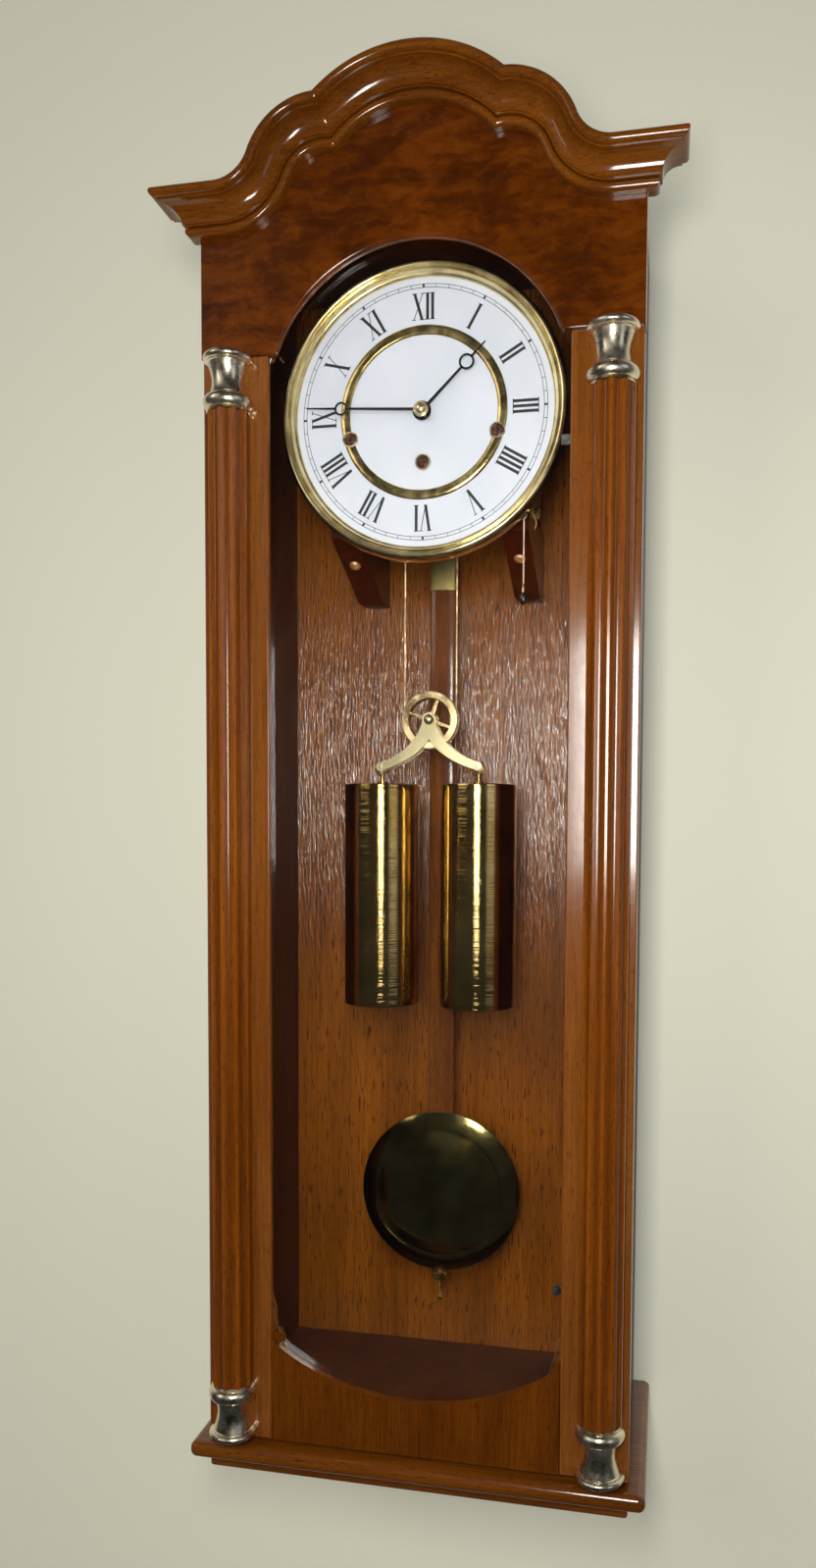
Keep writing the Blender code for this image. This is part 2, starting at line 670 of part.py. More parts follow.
def build_crown():
    profile = crown_profile()
    back = HEAD_FRONT_Y - GAP
    lines = [crown_line(drop, HEAD_HALF + projection) for drop, projection in profile]
    sections = []
    for station in range(len(lines[0])):
        section = []
        for (drop, projection), line in zip(profile, lines):
            x, z = line[station]
            section.append((x, back - projection, z))
        sections.append(section)
    crown = add_part("crown_moulding", loft_mesh(sections), "crown_wood", SMOOTH)
    returns = []
    for side, name in ((-1, "crown_return_left"), (1, "crown_return_right")):
        mitre = []
        tail = []
        for drop, projection in profile:
            x = side * (HEAD_HALF + GAP + projection)
            z = CROWN_FLAT_Z - drop
            mitre.append((x, back - projection, z))
            tail.append((x, HEAD_FRONT_Y + RETURN_DEPTH, z))
        returns.append(add_part(name, loft_mesh([mitre, tail]), "crown_wood", SMOOTH))
    return [crown] + returns


# Front frame.
def opening_arch(radius, foot_z, steps=24):
    """An arch about the dial's centre with straight legs, from its right foot over to its left."""
    return [(radius, foot_z)] + arc((0.0, DIAL_Z), radius, 0.0, math.pi, steps) + [(-radius, foot_z)]


def glass_outline(spread):
    """The pane with its arched top and cut lower corners, spread outwards."""
    half = OPENING_HALF + REBATE_WIDTH + spread
    foot = GLASS_FOOT_Z - spread
    cut_top = foot + GLASS_CUT_Z
    cut_x = half - GLASS_CUT_X
    return opening_arch(half, cut_top) + [(-cut_x, foot), (cut_x, foot)]


def mortise_mesh(height, low, high):
    """The space that a hinge leaf is let into."""
    half = HINGE_HALF_HEIGHT + GAP
    return box_mesh((HINGE_X, LEAF_END_X + GAP), (low, high), (height - half, height + half))


def build_head():
    """The burl panel over the arch, with a rounded edge round the opening."""
    foot_angle = math.asin((HEAD_FOOT_Z - DIAL_Z) / OPENING_HALF)
    arch = arc((0.0, DIAL_Z), OPENING_HALF, foot_angle, math.pi - foot_angle, 22)
    top = crown_line(HEAD_TOP_DROP, HEAD_HALF)
    outline = top + [(HEAD_HALF, HEAD_FOOT_Z)] + arch + [(-HEAD_HALF, HEAD_FOOT_Z)]
    mesh = sheet_mesh([outline], HEAD_FRONT_Y, DOOR_BACK_Y)
    bm = bmesh.new()
    bm.from_mesh(mesh)
    centre = Vector((0.0, HEAD_FRONT_Y, DIAL_Z))
    front_arch = [edge for edge in bm.edges
                  if all((vert.co - centre).length < OPENING_HALF + MERGE for vert in edge.verts)]
    front_arch = [edge for edge in front_arch if edge.calc_length() < OPENING_HALF]
    bmesh.ops.bevel(bm, geom=front_arch, offset=OPENING_EDGE_ROUND, segments=4, profile=0.5, affect="EDGES")
    bm.to_mesh(mesh)
    bm.free()
    head = add_part("door_head", mesh, "burl_wood", SMOOTH)
    cut(head, rebate_mesh())
    return head


def rebate_mesh():
    """The recess for the pane at the back of the frame."""
    return sheet_mesh([glass_outline(GAP)], LIP_BACK_Y, CASE_FRONT_Y)


def build_stiles():
    stiles = []
    top = HEAD_FOOT_Z - GAP
    for side, name in ((-1, "door_stile_left"), (1, "door_stile_right")):
        limits = sorted((side * OPENING_HALF, side * STILE_HALF))
        board = box_mesh(limits, (STILE_FRONT_Y, DOOR_BACK_Y), (DOOR_FOOT_Z, top), BOARD_SOFTENING)
        stile = add_part(name, board, "stile_wood")
        cut(stile, rebate_mesh())
        if side < 0:
            for height in HINGE_HEIGHTS.values():
                cut(stile, mortise_mesh(height, DOOR_BACK_Y - LEAF_THICK - GAP, CASE_FRONT_Y))
        stiles.append(stile)
    return stiles


def apron_edge():
    """The bellied lower edge of the opening, from right to left."""
    centre_z = APRON_ARC_FOOT_Z + APRON_ARC_RADIUS
    corner_x = OPENING_HALF - APRON_CORNER_RADIUS
    reach = APRON_ARC_RADIUS - APRON_CORNER_RADIUS
    corner_z = centre_z - math.sqrt(reach ** 2 - corner_x ** 2)
    touch = math.atan2(corner_z - centre_z, corner_x)
    right = arc((corner_x, corner_z), APRON_CORNER_RADIUS, -math.radians(12), touch, 6)
    belly = arc((0.0, centre_z), APRON_ARC_RADIUS, touch, -math.pi / 2, 12)[1:]
    half = right + belly
    return half + mirrored(half)[1:]


def build_apron():
    fit = OPENING_HALF - GAP
    edge = apron_edge()
    outline = [(fit, DOOR_FOOT_Z), (fit, edge[0][1])] + edge + [(-fit, edge[-1][1]), (-fit, DOOR_FOOT_Z)]
    apron = add_part("door_apron", sheet_mesh([outline], STILE_FRONT_Y, DOOR_BACK_Y), "stile_wood", SMOOTH)
    cut(apron, rebate_mesh())
    return apron


def build_pane():
    front = LIP_BACK_Y + GAP
    pane = sheet_mesh([glass_outline(GAP - GLASS_PLAY)], front, front + GLASS_THICK)
    return add_part("glass_pane", pane, "glass")


def build_clips():
    """Bent metal tabs, screwed to the frame, that reach over the pane."""
    edge = OPENING_HALF + REBATE_WIDTH
    pane_back = LIP_BACK_Y + GAP + GLASS_THICK
    inner = pane_back + GAP
    frame = DOOR_BACK_Y + GAP
    riser = edge - GAP
    tip = edge - CLIP_TONGUE
    foot = edge + CLIP_FOOT
    outline = [(tip, inner), (riser, inner), (riser, frame), (foot, frame), (foot, frame + CLIP_THICK),
               (riser - CLIP_THICK, frame + CLIP_THICK), (riser - CLIP_THICK, inner + CLIP_THICK),
               (tip, inner + CLIP_THICK)]
    clips = []
    for name, height in CLIP_HEIGHTS.items():
        tab = sheet_mesh([outline], height - CLIP_HALF_HEIGHT, height + CLIP_HALF_HEIGHT, standing=False)
        clips.append(add_part(f"glass_clip_{name}", tab, "steel"))
    return clips


# Columns.
def flute_outline():
    """Section of a fluted column, as points about its axis, cut flat where it meets the stile."""
    flat = STILE_FRONT_Y - GAP - COLUMN_Y
    ridge_share = 0.16
    points = []
    steps = 6
    for flute in range(COLUMN_FLUTES):
        start = ROUND * flute / COLUMN_FLUTES + ROUND * ridge_share / (2 * COLUMN_FLUTES)
        sweep = ROUND * (1 - ridge_share) / COLUMN_FLUTES
        for step in range(steps + 1):
            share = step / steps
            radius = COLUMN_RADIUS - FLUTE_DEPTH * math.sin(math.pi * share)
            angle = start + sweep * share - math.pi / 2
            points.append((radius * math.cos(angle), radius * math.sin(angle)))
    front = [point for point in points if point[1] < flat]
    left_first = min(range(len(front)), key=lambda index: (front[index][0] > 0, -front[index][1]))
    front = front[left_first:] + front[:left_first]
    corner = math.sqrt((COLUMN_RADIUS - FLUTE_DEPTH) ** 2 - flat ** 2)
    return front + [(corner, flat), (-corner, flat)]


def trim_behind(mesh, y):
    """Cut a closed mesh off behind a plane of constant Y and close it."""
    bm = bmesh.new()
    bm.from_mesh(mesh)
    everything = bm.verts[:] + bm.edges[:] + bm.faces[:]
    bmesh.ops.bisect_plane(bm, geom=everything, plane_co=(0.0, y, 0.0), plane_no=(0.0, 1.0, 0.0),
                           clear_outer=True)
    open_edges = [edge for edge in bm.edges if edge.is_boundary]
    bmesh.ops.holes_fill(bm, edges=open_edges)
    bmesh.ops.recalc_face_normals(bm, faces=bm.faces)
    bm.to_mesh(mesh)
    bm.free()
    return mesh


def capital_profile():
    """Capital as (radius, height) from its top rim down to its lower torus; its top is at zero."""
    rim_half = CAPITAL_RIM_HEIGHT / 2
    rim = arc((CAPITAL_RIM_RADIUS - rim_half, rim_half), rim_half, -math.pi / 2, math.pi / 2, 4)
    profile = [(0.0, 0.0)] + [(radius, -depth) for radius, depth in rim]
    neck_radius = CAPITAL_RIM_RADIUS - 3 * CAPITAL_FILLET
    profile.append((neck_radius, -CAPITAL_RIM_HEIGHT - CAPITAL_FILLET))
    sweep_steps = 5
    for step in range(sweep_steps + 1):
        share = step / sweep_steps
        swell = abs(2 * share - 1) ** 1.8
        radius = CAPITAL_WAIST_RADIUS + (neck_radius - CAPITAL_FILLET - CAPITAL_WAIST_RADIUS) * swell
        profile.append((radius, -(CAPITAL_NECK_TOP + (CAPITAL_NECK_FOOT - CAPITAL_NECK_TOP) * share)))
    core = CAPITAL_RIM_RADIUS - CAPITAL_TORUS_RADIUS
    torus = arc((core, CAPITAL_TORUS_DROP), CAPITAL_TORUS_RADIUS, -math.pi / 2, math.pi / 2, 4)
    profile += [(radius, -depth) for radius, depth in torus]
    profile += [(core, -CAPITAL_HEIGHT + CAPITAL_FILLET), (COLUMN_RADIUS - CAPITAL_FILLET, -CAPITAL_HEIGHT)]
    return profile + [(0.0, -CAPITAL_HEIGHT)]


def build_columns():
    top = HEAD_FOOT_Z - GAP
    shaft = (COLUMN_BASE_TOP_Z + GAP, top - CAPITAL_HEIGHT - GAP)
    section = flute_outline()
    flat = STILE_FRONT_Y - GAP
    pieces = []
    for side, hand in ((-1, "left"), (1, "right")):
        x = side * COLUMN_X
        outline = [(x + across, COLUMN_Y + out) for across, out in section]
        column = sheet_mesh([outline], *shaft, standing=False, tidy=False)
        pieces.append(add_part(f"column_{hand}", column, "column_wood", SMOOTH))
        capital = trim_behind(turned_mesh(capital_profile(), upright(x, COLUMN_Y, top), 24), flat)
        pieces.append(add_part(f"capital_{hand}", capital, "pale_brass", SMOOTH))
        turned_over = [(radius, -CAPITAL_HEIGHT - height) for radius, height in reversed(capital_profile())]
        foot = trim_behind(turned_mesh(turned_over, upright(x, COLUMN_Y, COLUMN_BASE_TOP_Z), 24), flat)
        pieces.append(add_part(f"column_base_{hand}", foot, "pale_brass", SMOOTH))
    return pieces


# Hinges.
def build_hinges():
    """Two butt hinges; the case leaf carries the pin and the lower knuckle."""
    door_leaves = []
    clear_x = HINGE_X + KNUCKLE_RADIUS + GAP
    for name, height in HINGE_HEIGHTS.items():
        low = height - HINGE_HALF_HEIGHT
        high = height + HINGE_HALF_HEIGHT
        case_y = (CASE_FRONT_Y, CASE_FRONT_Y + LEAF_THICK)
        door_y = (DOOR_BACK_Y - LEAF_THICK, DOOR_BACK_Y)
        overlap = clear_x + GAP
        case_leaf = add_part(f"hinge_{name}_case_leaf", box_mesh((clear_x, LEAF_END_X), case_y, (low, high)),
                             "brass")
        join(case_leaf, box_mesh((HINGE_X, overlap), case_y, (low + GAP, height - GAP)))
        join(case_leaf, cylinder_mesh(KNUCKLE_RADIUS, (HINGE_X, HINGE_Y, low), (HINGE_X, HINGE_Y, height)))
        join(case_leaf, cylinder_mesh(HINGE_PIN_RADIUS, (HINGE_X, HINGE_Y, height - KNUCKLE_RADIUS),
                                      (HINGE_X, HINGE_Y, high)))
        door_leaf = add_part(f"hinge_{name}_door_leaf", box_mesh((clear_x, LEAF_END_X), door_y, (low, high)),
                             "brass")
        join(door_leaf, box_mesh((HINGE_X, overlap), door_y, (height + 2 * GAP, high - GAP)))
        join(door_leaf, cylinder_mesh(KNUCKLE_RADIUS, (HINGE_X, HINGE_Y, height + GAP),
                                      (HINGE_X, HINGE_Y, high)))
        cut(door_leaf, cylinder_mesh(HINGE_PIN_RADIUS + ARBOR_PLAY, (HINGE_X, HINGE_Y, height),
                                     (HINGE_X, HINGE_Y, high + KNUCKLE_RADIUS)))
        door_leaves.append(door_leaf)
    return door_leaves


# Dial.
def build_dial():
    centre = (0.0, DIAL_Z)
    holes = [circle(centre, DIAL_HOLE_RADIUS, 20)]
    for place in arbor_places().values():
        holes.append(circle(place, WINDING_HOLE_RADIUS, 20))
    plate = sheet_mesh([circle(centre, DIAL_RADIUS, 56)] + holes, DIAL_FRONT_Y, DIAL_FRONT_Y + DIAL_THICK)
    add_part("dial_plate", plate, "white_enamel")
    front = DIAL_FRONT_Y - GAP
    band = RING_OUTER_RADIUS - RING_INNER_RADIUS
    ring_shares = ((0.12, 1.0), (0.88, 1.0), (1.0, 0.4), (1.0, 0.0), (0.0, 0.0), (0.0, 0.4))
    ring_profile = [(RING_INNER_RADIUS + band * across, RING_HEIGHT * up) for across, up in ring_shares]
    ring = add_part("dial_ring", turned_mesh(ring_profile, facing(0.0, front, DIAL_Z), 48, closed=True),
                    "brass", SMOOTH)
    for side in (-1, 1):
        start = (side * SIDE_ARBOR_X, front + GAP, SIDE_ARBOR_Z)
        end = (side * SIDE_ARBOR_X, front - 2 * RING_HEIGHT, SIDE_ARBOR_Z)
        cut(ring, cylinder_mesh(WINDING_HOLE_RADIUS - 2 * GAP, start, end))
    width_shares = (0.0, 0.12, 0.3, 0.44, 0.66, 0.86, 1.0)
    height_shares = (0.04, 0.32, 0.81, 0.72, 1.0, 0.75, 0.35)
    width = BEZEL_RADIUS - BEZEL_INNER_RADIUS
    bezel_profile = [(BEZEL_INNER_RADIUS + width * across, BEZEL_HEIGHT * up)
                     for across, up in zip(width_shares, height_shares)]
    bezel_profile += [(BEZEL_RADIUS, -BEZEL_SKIRT), (DIAL_RADIUS + GAP, -BEZEL_SKIRT), (DIAL_RADIUS + GAP, 0.0),
                      (BEZEL_INNER_RADIUS, 0.0)]
    bezel = turned_mesh(bezel_profile, facing(0.0, front, DIAL_Z), 52, closed=True)
    add_part("dial_bezel", bezel, "brass", SMOOTH)


def arbor_places():
    """Where the winding arbors pass through the dial, as (x, z)."""
    return {"strike_arbor": (-SIDE_ARBOR_X, SIDE_ARBOR_Z), "chime_arbor": (SIDE_ARBOR_X, SIDE_ARBOR_Z),
            "winding_drum": (0.0, DRUM_Z)}


def hand_outline(hub, ring_at, ring_radius, tip, neck_width, end_width):
    """A hand pointing up from (0, 0): round hub, tapering blade, pierced ring and pointed tip."""
    blade_start = math.sqrt(hub ** 2 - neck_width ** 2)
    blade_end = ring_at - math.sqrt(ring_radius ** 2 - end_width ** 2)
    tip_start = ring_at + math.sqrt(ring_radius ** 2 - end_width ** 2)
    lower = math.atan2(blade_end - ring_at, end_width)
    upper = math.atan2(tip_start - ring_at, end_width)
    right = [(neck_width, blade_start)] + arc((0.0, ring_at), ring_radius, lower, upper, 8) + [(0.0, tip)]
    around = arc((0.0, 0.0), hub, math.atan2(blade_start, -neck_width),
                 ROUND + math.atan2(blade_start, neck_width), 16)
    return right + mirrored(right)[1:] + around[1:-1]


def dome_profile(radius, height, steps):
    """Quarter of an ellipse from its top down to its rim."""
    angles = [math.pi / 2 * step / steps for step in range(steps + 1)]
    return [(radius * math.sin(angle), height * math.cos(angle)) for angle in angles]


def build_hands():
    """Both hands point up in their own frame and are turned about the dial's centre."""
    hour_front = DIAL_FRONT_Y - HOUR_LIFT
    outline = hand_outline(HOUR_HUB, HOUR_RING, HOUR_RING_RADIUS, HOUR_TIP, HOUR_ROOT_HALF, HOUR_END_HALF)
    holes = [circle((0.0, HOUR_RING), HOUR_RING_HOLE, 16), circle((0.0, 0.0), HOUR_PIPE_BORE, 16)]
    hour = add_part("hour_hand", sheet_mesh([outline] + holes, hour_front, hour_front + HAND_THICK), "black")
    pipe_front = -hour_front - HAND_THICK / 2
    pipe_back = -FRONT_PLATE_Y + PLATE_THICK + GAP
    pipe = [(HOUR_PIPE_RADIUS, pipe_front), (HOUR_PIPE_RADIUS, pipe_back), (HOUR_PIPE_BORE, pipe_back),
            (HOUR_PIPE_BORE, pipe_front)]
    join(hour, turned_mesh(pipe, facing(0.0, 0.0, 0.0), 16, closed=True))
    minute_front = DIAL_FRONT_Y - MINUTE_LIFT
    outline = hand_outline(MINUTE_HUB, MINUTE_RING, MINUTE_RING_RADIUS, MINUTE_TIP, MINUTE_ROOT_HALF,
                           MINUTE_END_HALF)
    hole = circle((0.0, MINUTE_RING), MINUTE_RING_HOLE, 16)
    minute = add_part("minute_hand", sheet_mesh([outline, hole], minute_front, minute_front + HAND_THICK), "black")
    join(minute, cylinder_mesh(MINUTE_ARBOR_RADIUS, (0.0, MINUTE_ARBOR_BACK_Y, 0.0),
                               (0.0, minute_front + HAND_THICK / 2, 0.0), 16))
    nut_profile = dome_profile(HAND_NUT_RADIUS, HAND_NUT_HEIGHT, 5) + [(0.0, 0.0)]
    nut = add_part("hand_nut", turned_mesh(nut_profile, facing(0.0, minute_front - GAP, 0.0), 24), "brass", SMOOTH)
    centre = (0.0, 0.0, DIAL_Z)
    minute_pivot = pivot("minute_pivot", centre)
    minute_pivot.rotation_euler = (0.0, MINUTE_ANGLE, 0.0)
    hour_pivot = pivot("hour_pivot", centre)
    hour_pivot.rotation_euler = (0.0, HOUR_ANGLE, 0.0)
    minute.parent = minute_pivot
    nut.parent = minute_pivot
    hour.parent = hour_pivot


# Movement.
def plate_outline():
    return [(-PLATE_HALF, PLATE_FOOT_Z), (PLATE_HALF, PLATE_FOOT_Z),
            (PLATE_HALF, PLATE_TOP_Z), (-PLATE_HALF, PLATE_TOP_Z)]


def build_movement():
    """Two plates joined by pillars; the back plate carries the pendulum's suspension post."""
    play = ARBOR_RADIUS + ARBOR_PLAY
    winding_holes = [circle(place, play, 16) for place in arbor_places().values()]
    bridge_hole = circle((0.0, PIVOT_Z), play, 16)
    escape_hole = circle((0.0, ESCAPE_Z), play, 16)
    back = sheet_mesh([plate_outline(), bridge_hole, escape_hole] + winding_holes,
                      BACK_PLATE_Y - PLATE_THICK, BACK_PLATE_Y)
    back_plate = add_part("movement_back_plate", back, "brass")
    pillar_x = PLATE_HALF - PILLAR_INSET
    start = BACK_PLATE_Y - PLATE_THICK / 2
    end = FRONT_PLATE_Y + GAP
    for x in (-pillar_x, pillar_x):
        for z in (PLATE_FOOT_Z + PILLAR_INSET, PLATE_TOP_Z - PILLAR_INSET):
            join(back_plate, cylinder_mesh(PILLAR_RADIUS, (x, start, z), (x, end, z), 16))
    join(back_plate, cylinder_mesh(CABLE_POST_RADIUS, (CABLE_OFFSET, start, CABLE_POST_Z),
                                   (CABLE_OFFSET, end, CABLE_POST_Z), 16))
    join(back_plate, box_mesh((-STAND_HALF, STAND_HALF), (start, PENDULUM_Y + STAND_HALF),
                              (STAND_FOOT_Z, STAND_FOOT_Z + STAND_HEIGHT)))
    front_holes = winding_holes + [circle((0.0, DIAL_Z), play, 16)]
    front = sheet_mesh([plate_outline()] + front_holes, FRONT_PLATE_Y - PLATE_THICK, FRONT_PLATE_Y)
    front_plate = add_part("movement_front_plate", front, "brass")
    dial_back = DIAL_FRONT_Y + DIAL_THICK + GAP
    for angle in (math.radians(degrees) for degrees in (30, 150)):
        x = DIAL_FOOT_CIRCLE * math.cos(angle)
        z = DIAL_Z + DIAL_FOOT_CIRCLE * math.sin(angle)
        for height in (z, 2 * DIAL_Z - z):
            join(front_plate, cylinder_mesh(DIAL_FOOT_RADIUS, (x, FRONT_PLATE_Y - PLATE_THICK / 2, height),
                                            (x, dial_back, height), 12))
    stud_root = FRONT_PLATE_Y - PLATE_THICK / 2
    stud_end = CORD_Y - LEVER_HUB_HALF - GAP
    head_end = stud_end - LEVER_STUD_RADIUS
    join(front_plate, cylinder_mesh(LEVER_STUD_RADIUS, (LEVER_X, stud_root, LEVER_Z),
                                    (LEVER_X, head_end, LEVER_Z), 16))
    join(front_plate, cylinder_mesh(LEVER_STUD_RADIUS * 1.6, (LEVER_X, stud_end, LEVER_Z),
                                    (LEVER_X, head_end, LEVER_Z), 16))
    route_shares = ((-0.7, 0.0), (-0.36, 0.1), (-0.08, 0.32), (0.0, 0.58), (0.21, 0.72), (0.28, 0.85), (0.16, 1.0))
    guard = [(GUARD_X + GUARD_HEIGHT * across * 0.36, CORD_Y, GUARD_TOP_Z - GUARD_HEIGHT * down)
             for across, down in route_shares]
    guard[0] = (guard[0][0], stud_root, guard[0][2])
    join(front_plate, tube_mesh(guard, LEVER_WIRE_RADIUS, 1))


def toothed_outline(centre, radius, tooth_height, teeth):
    """A wheel's rim with pointed teeth."""
    points = []
    for tooth in range(teeth):
        for share, reach in ((0.0, radius - tooth_height), (0.5, radius)):
            angle = ROUND * (tooth + share) / teeth
            points.append((centre[0] + reach * math.cos(angle), centre[1] + reach * math.sin(angle)))
    return points


def build_drum():
    """Cable drum, great wheel and winding arbor in one turning piece."""
    wheel_front = GREAT_WHEEL_Y - WHEEL_THICK / 2
    wheel_back = GREAT_WHEEL_Y + WHEEL_THICK / 2
    rim = toothed_outline((0.0, DRUM_Z), GREAT_WHEEL_RADIUS, GREAT_WHEEL_TOOTH, GREAT_WHEEL_TEETH)
    drum = add_part("winding_drum", sheet_mesh([rim], wheel_front, wheel_back), "brass")
    drum_radius = CABLE_OFFSET - CABLE_RADIUS - GAP
    join(drum, cylinder_mesh(drum_radius, (0.0, GREAT_WHEEL_Y, DRUM_Z), (0.0, DRUM_FRONT_Y, DRUM_Z), 32))
    arbor_back = BACK_PLATE_Y + GAP
    arbor_front = DIAL_FRONT_Y + GAP
    join(drum, cylinder_mesh(ARBOR_RADIUS, (0.0, arbor_back, DRUM_Z), (0.0, arbor_front, DRUM_Z), 16))
    turning = [drum]
    for name in ("strike_arbor", "chime_arbor"):
        x, z = arbor_places()[name]
        barrel = add_part(name, cylinder_mesh(BARREL_RADIUS, (x, BARREL_BACK_Y, z), (x, BARREL_FRONT_Y, z), 32),
                          "brass")
        join(barrel, cylinder_mesh(ARBOR_RADIUS, (x, arbor_back, z), (x, arbor_front, z), 16))
        turning.append(barrel)
    for piece in turning:
        x, z = arbor_places()[piece.name]
        hang([piece], pivot(piece.name + "_pivot", (x, 0.0, z)))


def build_escapement():
    """Escape wheel on its arbor, and the anchor with its arbor, crutch and crutch pin."""
    place = (0.0, ESCAPE_Z)
    wheel_y = (ESCAPE_Y - WHEEL_THICK / 2, ESCAPE_Y + WHEEL_THICK / 2)
    arbor_front = wheel_y[0] - 2 * ARBOR_RADIUS
    wheel = sheet_mesh([toothed_outline(place, ESCAPE_RADIUS, ESCAPE_TOOTH, ESCAPE_TEETH)], *wheel_y)
    escape = add_part("escape_wheel", wheel, "brass")
    join(escape, cylinder_mesh(ARBOR_RADIUS, (0.0, BACK_PLATE_Y + GAP, ESCAPE_Z), (0.0, arbor_front, ESCAPE_Z), 16))
    hang([escape], pivot("escape_pivot", (0.0, 0.0, ESCAPE_Z)))
    inner = ESCAPE_RADIUS + PALLET_CLEARANCE
    outer = inner + PALLET_DEPTH
    low = math.radians(40)
    body = arc(place, outer, low, math.pi - low, 12) + arc(place, inner, math.pi - low, low, 12)
    anchor = add_part("anchor", sheet_mesh([body], *wheel_y), "steel")
    join(anchor, box_mesh((-ARBOR_RADIUS, ARBOR_RADIUS), wheel_y, (ESCAPE_Z + inner + GAP, PIVOT_Z)))
    crutch_y = (CRUTCH_Y - HAND_THICK, CRUTCH_Y + HAND_THICK)
    join(anchor, cylinder_mesh(ARBOR_RADIUS, (0.0, arbor_front, PIVOT_Z), (0.0, crutch_y[1], PIVOT_Z), 16))
    crutch_foot = PIVOT_Z - CRUTCH_LENGTH
    join(anchor, box_mesh((-ARBOR_RADIUS, ARBOR_RADIUS), crutch_y, (crutch_foot, PIVOT_Z)))
    pin_z = crutch_foot + ARBOR_RADIUS
    join(anchor, cylinder_mesh(ARBOR_RADIUS / 2, (0.0, CRUTCH_Y, pin_z),
                               (0.0, PENDULUM_Y - ROD_HALF_THICK - GAP, pin_z), 12))
    hang([anchor], pivot("anchor_pivot", (0.0, 0.0, PIVOT_Z)))


# Brackets.
def build_brackets():
    """Wedge-shaped wooden arms under the movement, each with a screw in its sloping front."""
    back = BACK_PANEL_REAR_Y - BACK_PANEL_THICK - GAP
    top = PLATE_FOOT_Z - GAP
    slope = Vector((0.0, BRACKET_NOSE_Y - BRACKET_HEEL_Y, BRACKET_NOSE_Z - BRACKET_FOOT_Z))
    normal = Vector((0.0, -slope.z, slope.y)).normalized()
    on_slope = Vector((0.0, BRACKET_HEEL_Y, BRACKET_FOOT_Z)) + slope * BRACKET_SCREW_SHARE
    side_view = [(back, BRACKET_FOOT_Z), (BRACKET_HEEL_Y, BRACKET_FOOT_Z), (BRACKET_NOSE_Y, BRACKET_NOSE_Z),
                 (BRACKET_NOSE_Y, top), (back, top)]
    for side, hand in ((-1, "left"), (1, "right")):
        x = side * BRACKET_X
        limits = (x - BRACKET_WIDTH / 2, x + BRACKET_WIDTH / 2)
        sections = [[(across, y, z) for y, z in side_view] for across in limits]
        bracket = add_part(f"bracket_{hand}", loft_mesh(sections), "inner_wood")
        seat = on_slope + Vector((x, 0.0, 0.0))
        deep = seat - normal * (SCREW_SHANK_LENGTH + GAP)
        cut(bracket, cylinder_mesh(SCREW_SHANK_RADIUS + ARBOR_PLAY, deep, seat + normal * SCREW_HEAD_HEIGHT, 16))
        place = Matrix.Translation(seat + normal * GAP) @ normal.to_track_quat("Z", "Y").to_matrix().to_4x4()
        dome = SCREW_HEAD_HEIGHT * 0.6
        profile = [(0.0, SCREW_HEAD_HEIGHT), (SCREW_HEAD_RADIUS * 0.6, SCREW_HEAD_HEIGHT * 0.93),
                   (SCREW_HEAD_RADIUS * 0.9, dome), (SCREW_HEAD_RADIUS, 0.0), (SCREW_SHANK_RADIUS, 0.0),
                   (SCREW_SHANK_RADIUS, -SCREW_SHANK_LENGTH), (0.0, -SCREW_SHANK_LENGTH)]
        add_part(f"bracket_screw_{hand}", turned_mesh(profile, place, 16), "copper", SMOOTH)


# Weight drive.
def cable_route():
    """From the drum's left side down, round the pulley and up to the post in the movement."""
    wrap_steps = 5
    wrap = math.radians(50)
    points = []
    for step in range(wrap_steps):
        angle = math.pi - wrap + wrap * step / wrap_steps
        points.append((CABLE_OFFSET * math.cos(angle), WEIGHT_Y, DRUM_Z + CABLE_OFFSET * math.sin(angle)))
    points.append((-CABLE_OFFSET, WEIGHT_Y, DRUM_Z))
    bend_steps = 16
    for step in range(bend_steps + 1):
        angle = math.pi + math.pi * step / bend_steps
        points.append((CABLE_OFFSET * math.cos(angle), WEIGHT_Y, PULLEY_Z + CABLE_OFFSET * math.sin(angle)))
    post_foot = CABLE_POST_Z - CABLE_POST_RADIUS - GAP
    points.append((CABLE_OFFSET, WEIGHT_Y, post_foot))
    return points


def build_cable():
    add_part("cable", tube_mesh(cable_route(), CABLE_RADIUS), "steel", SMOOTH)


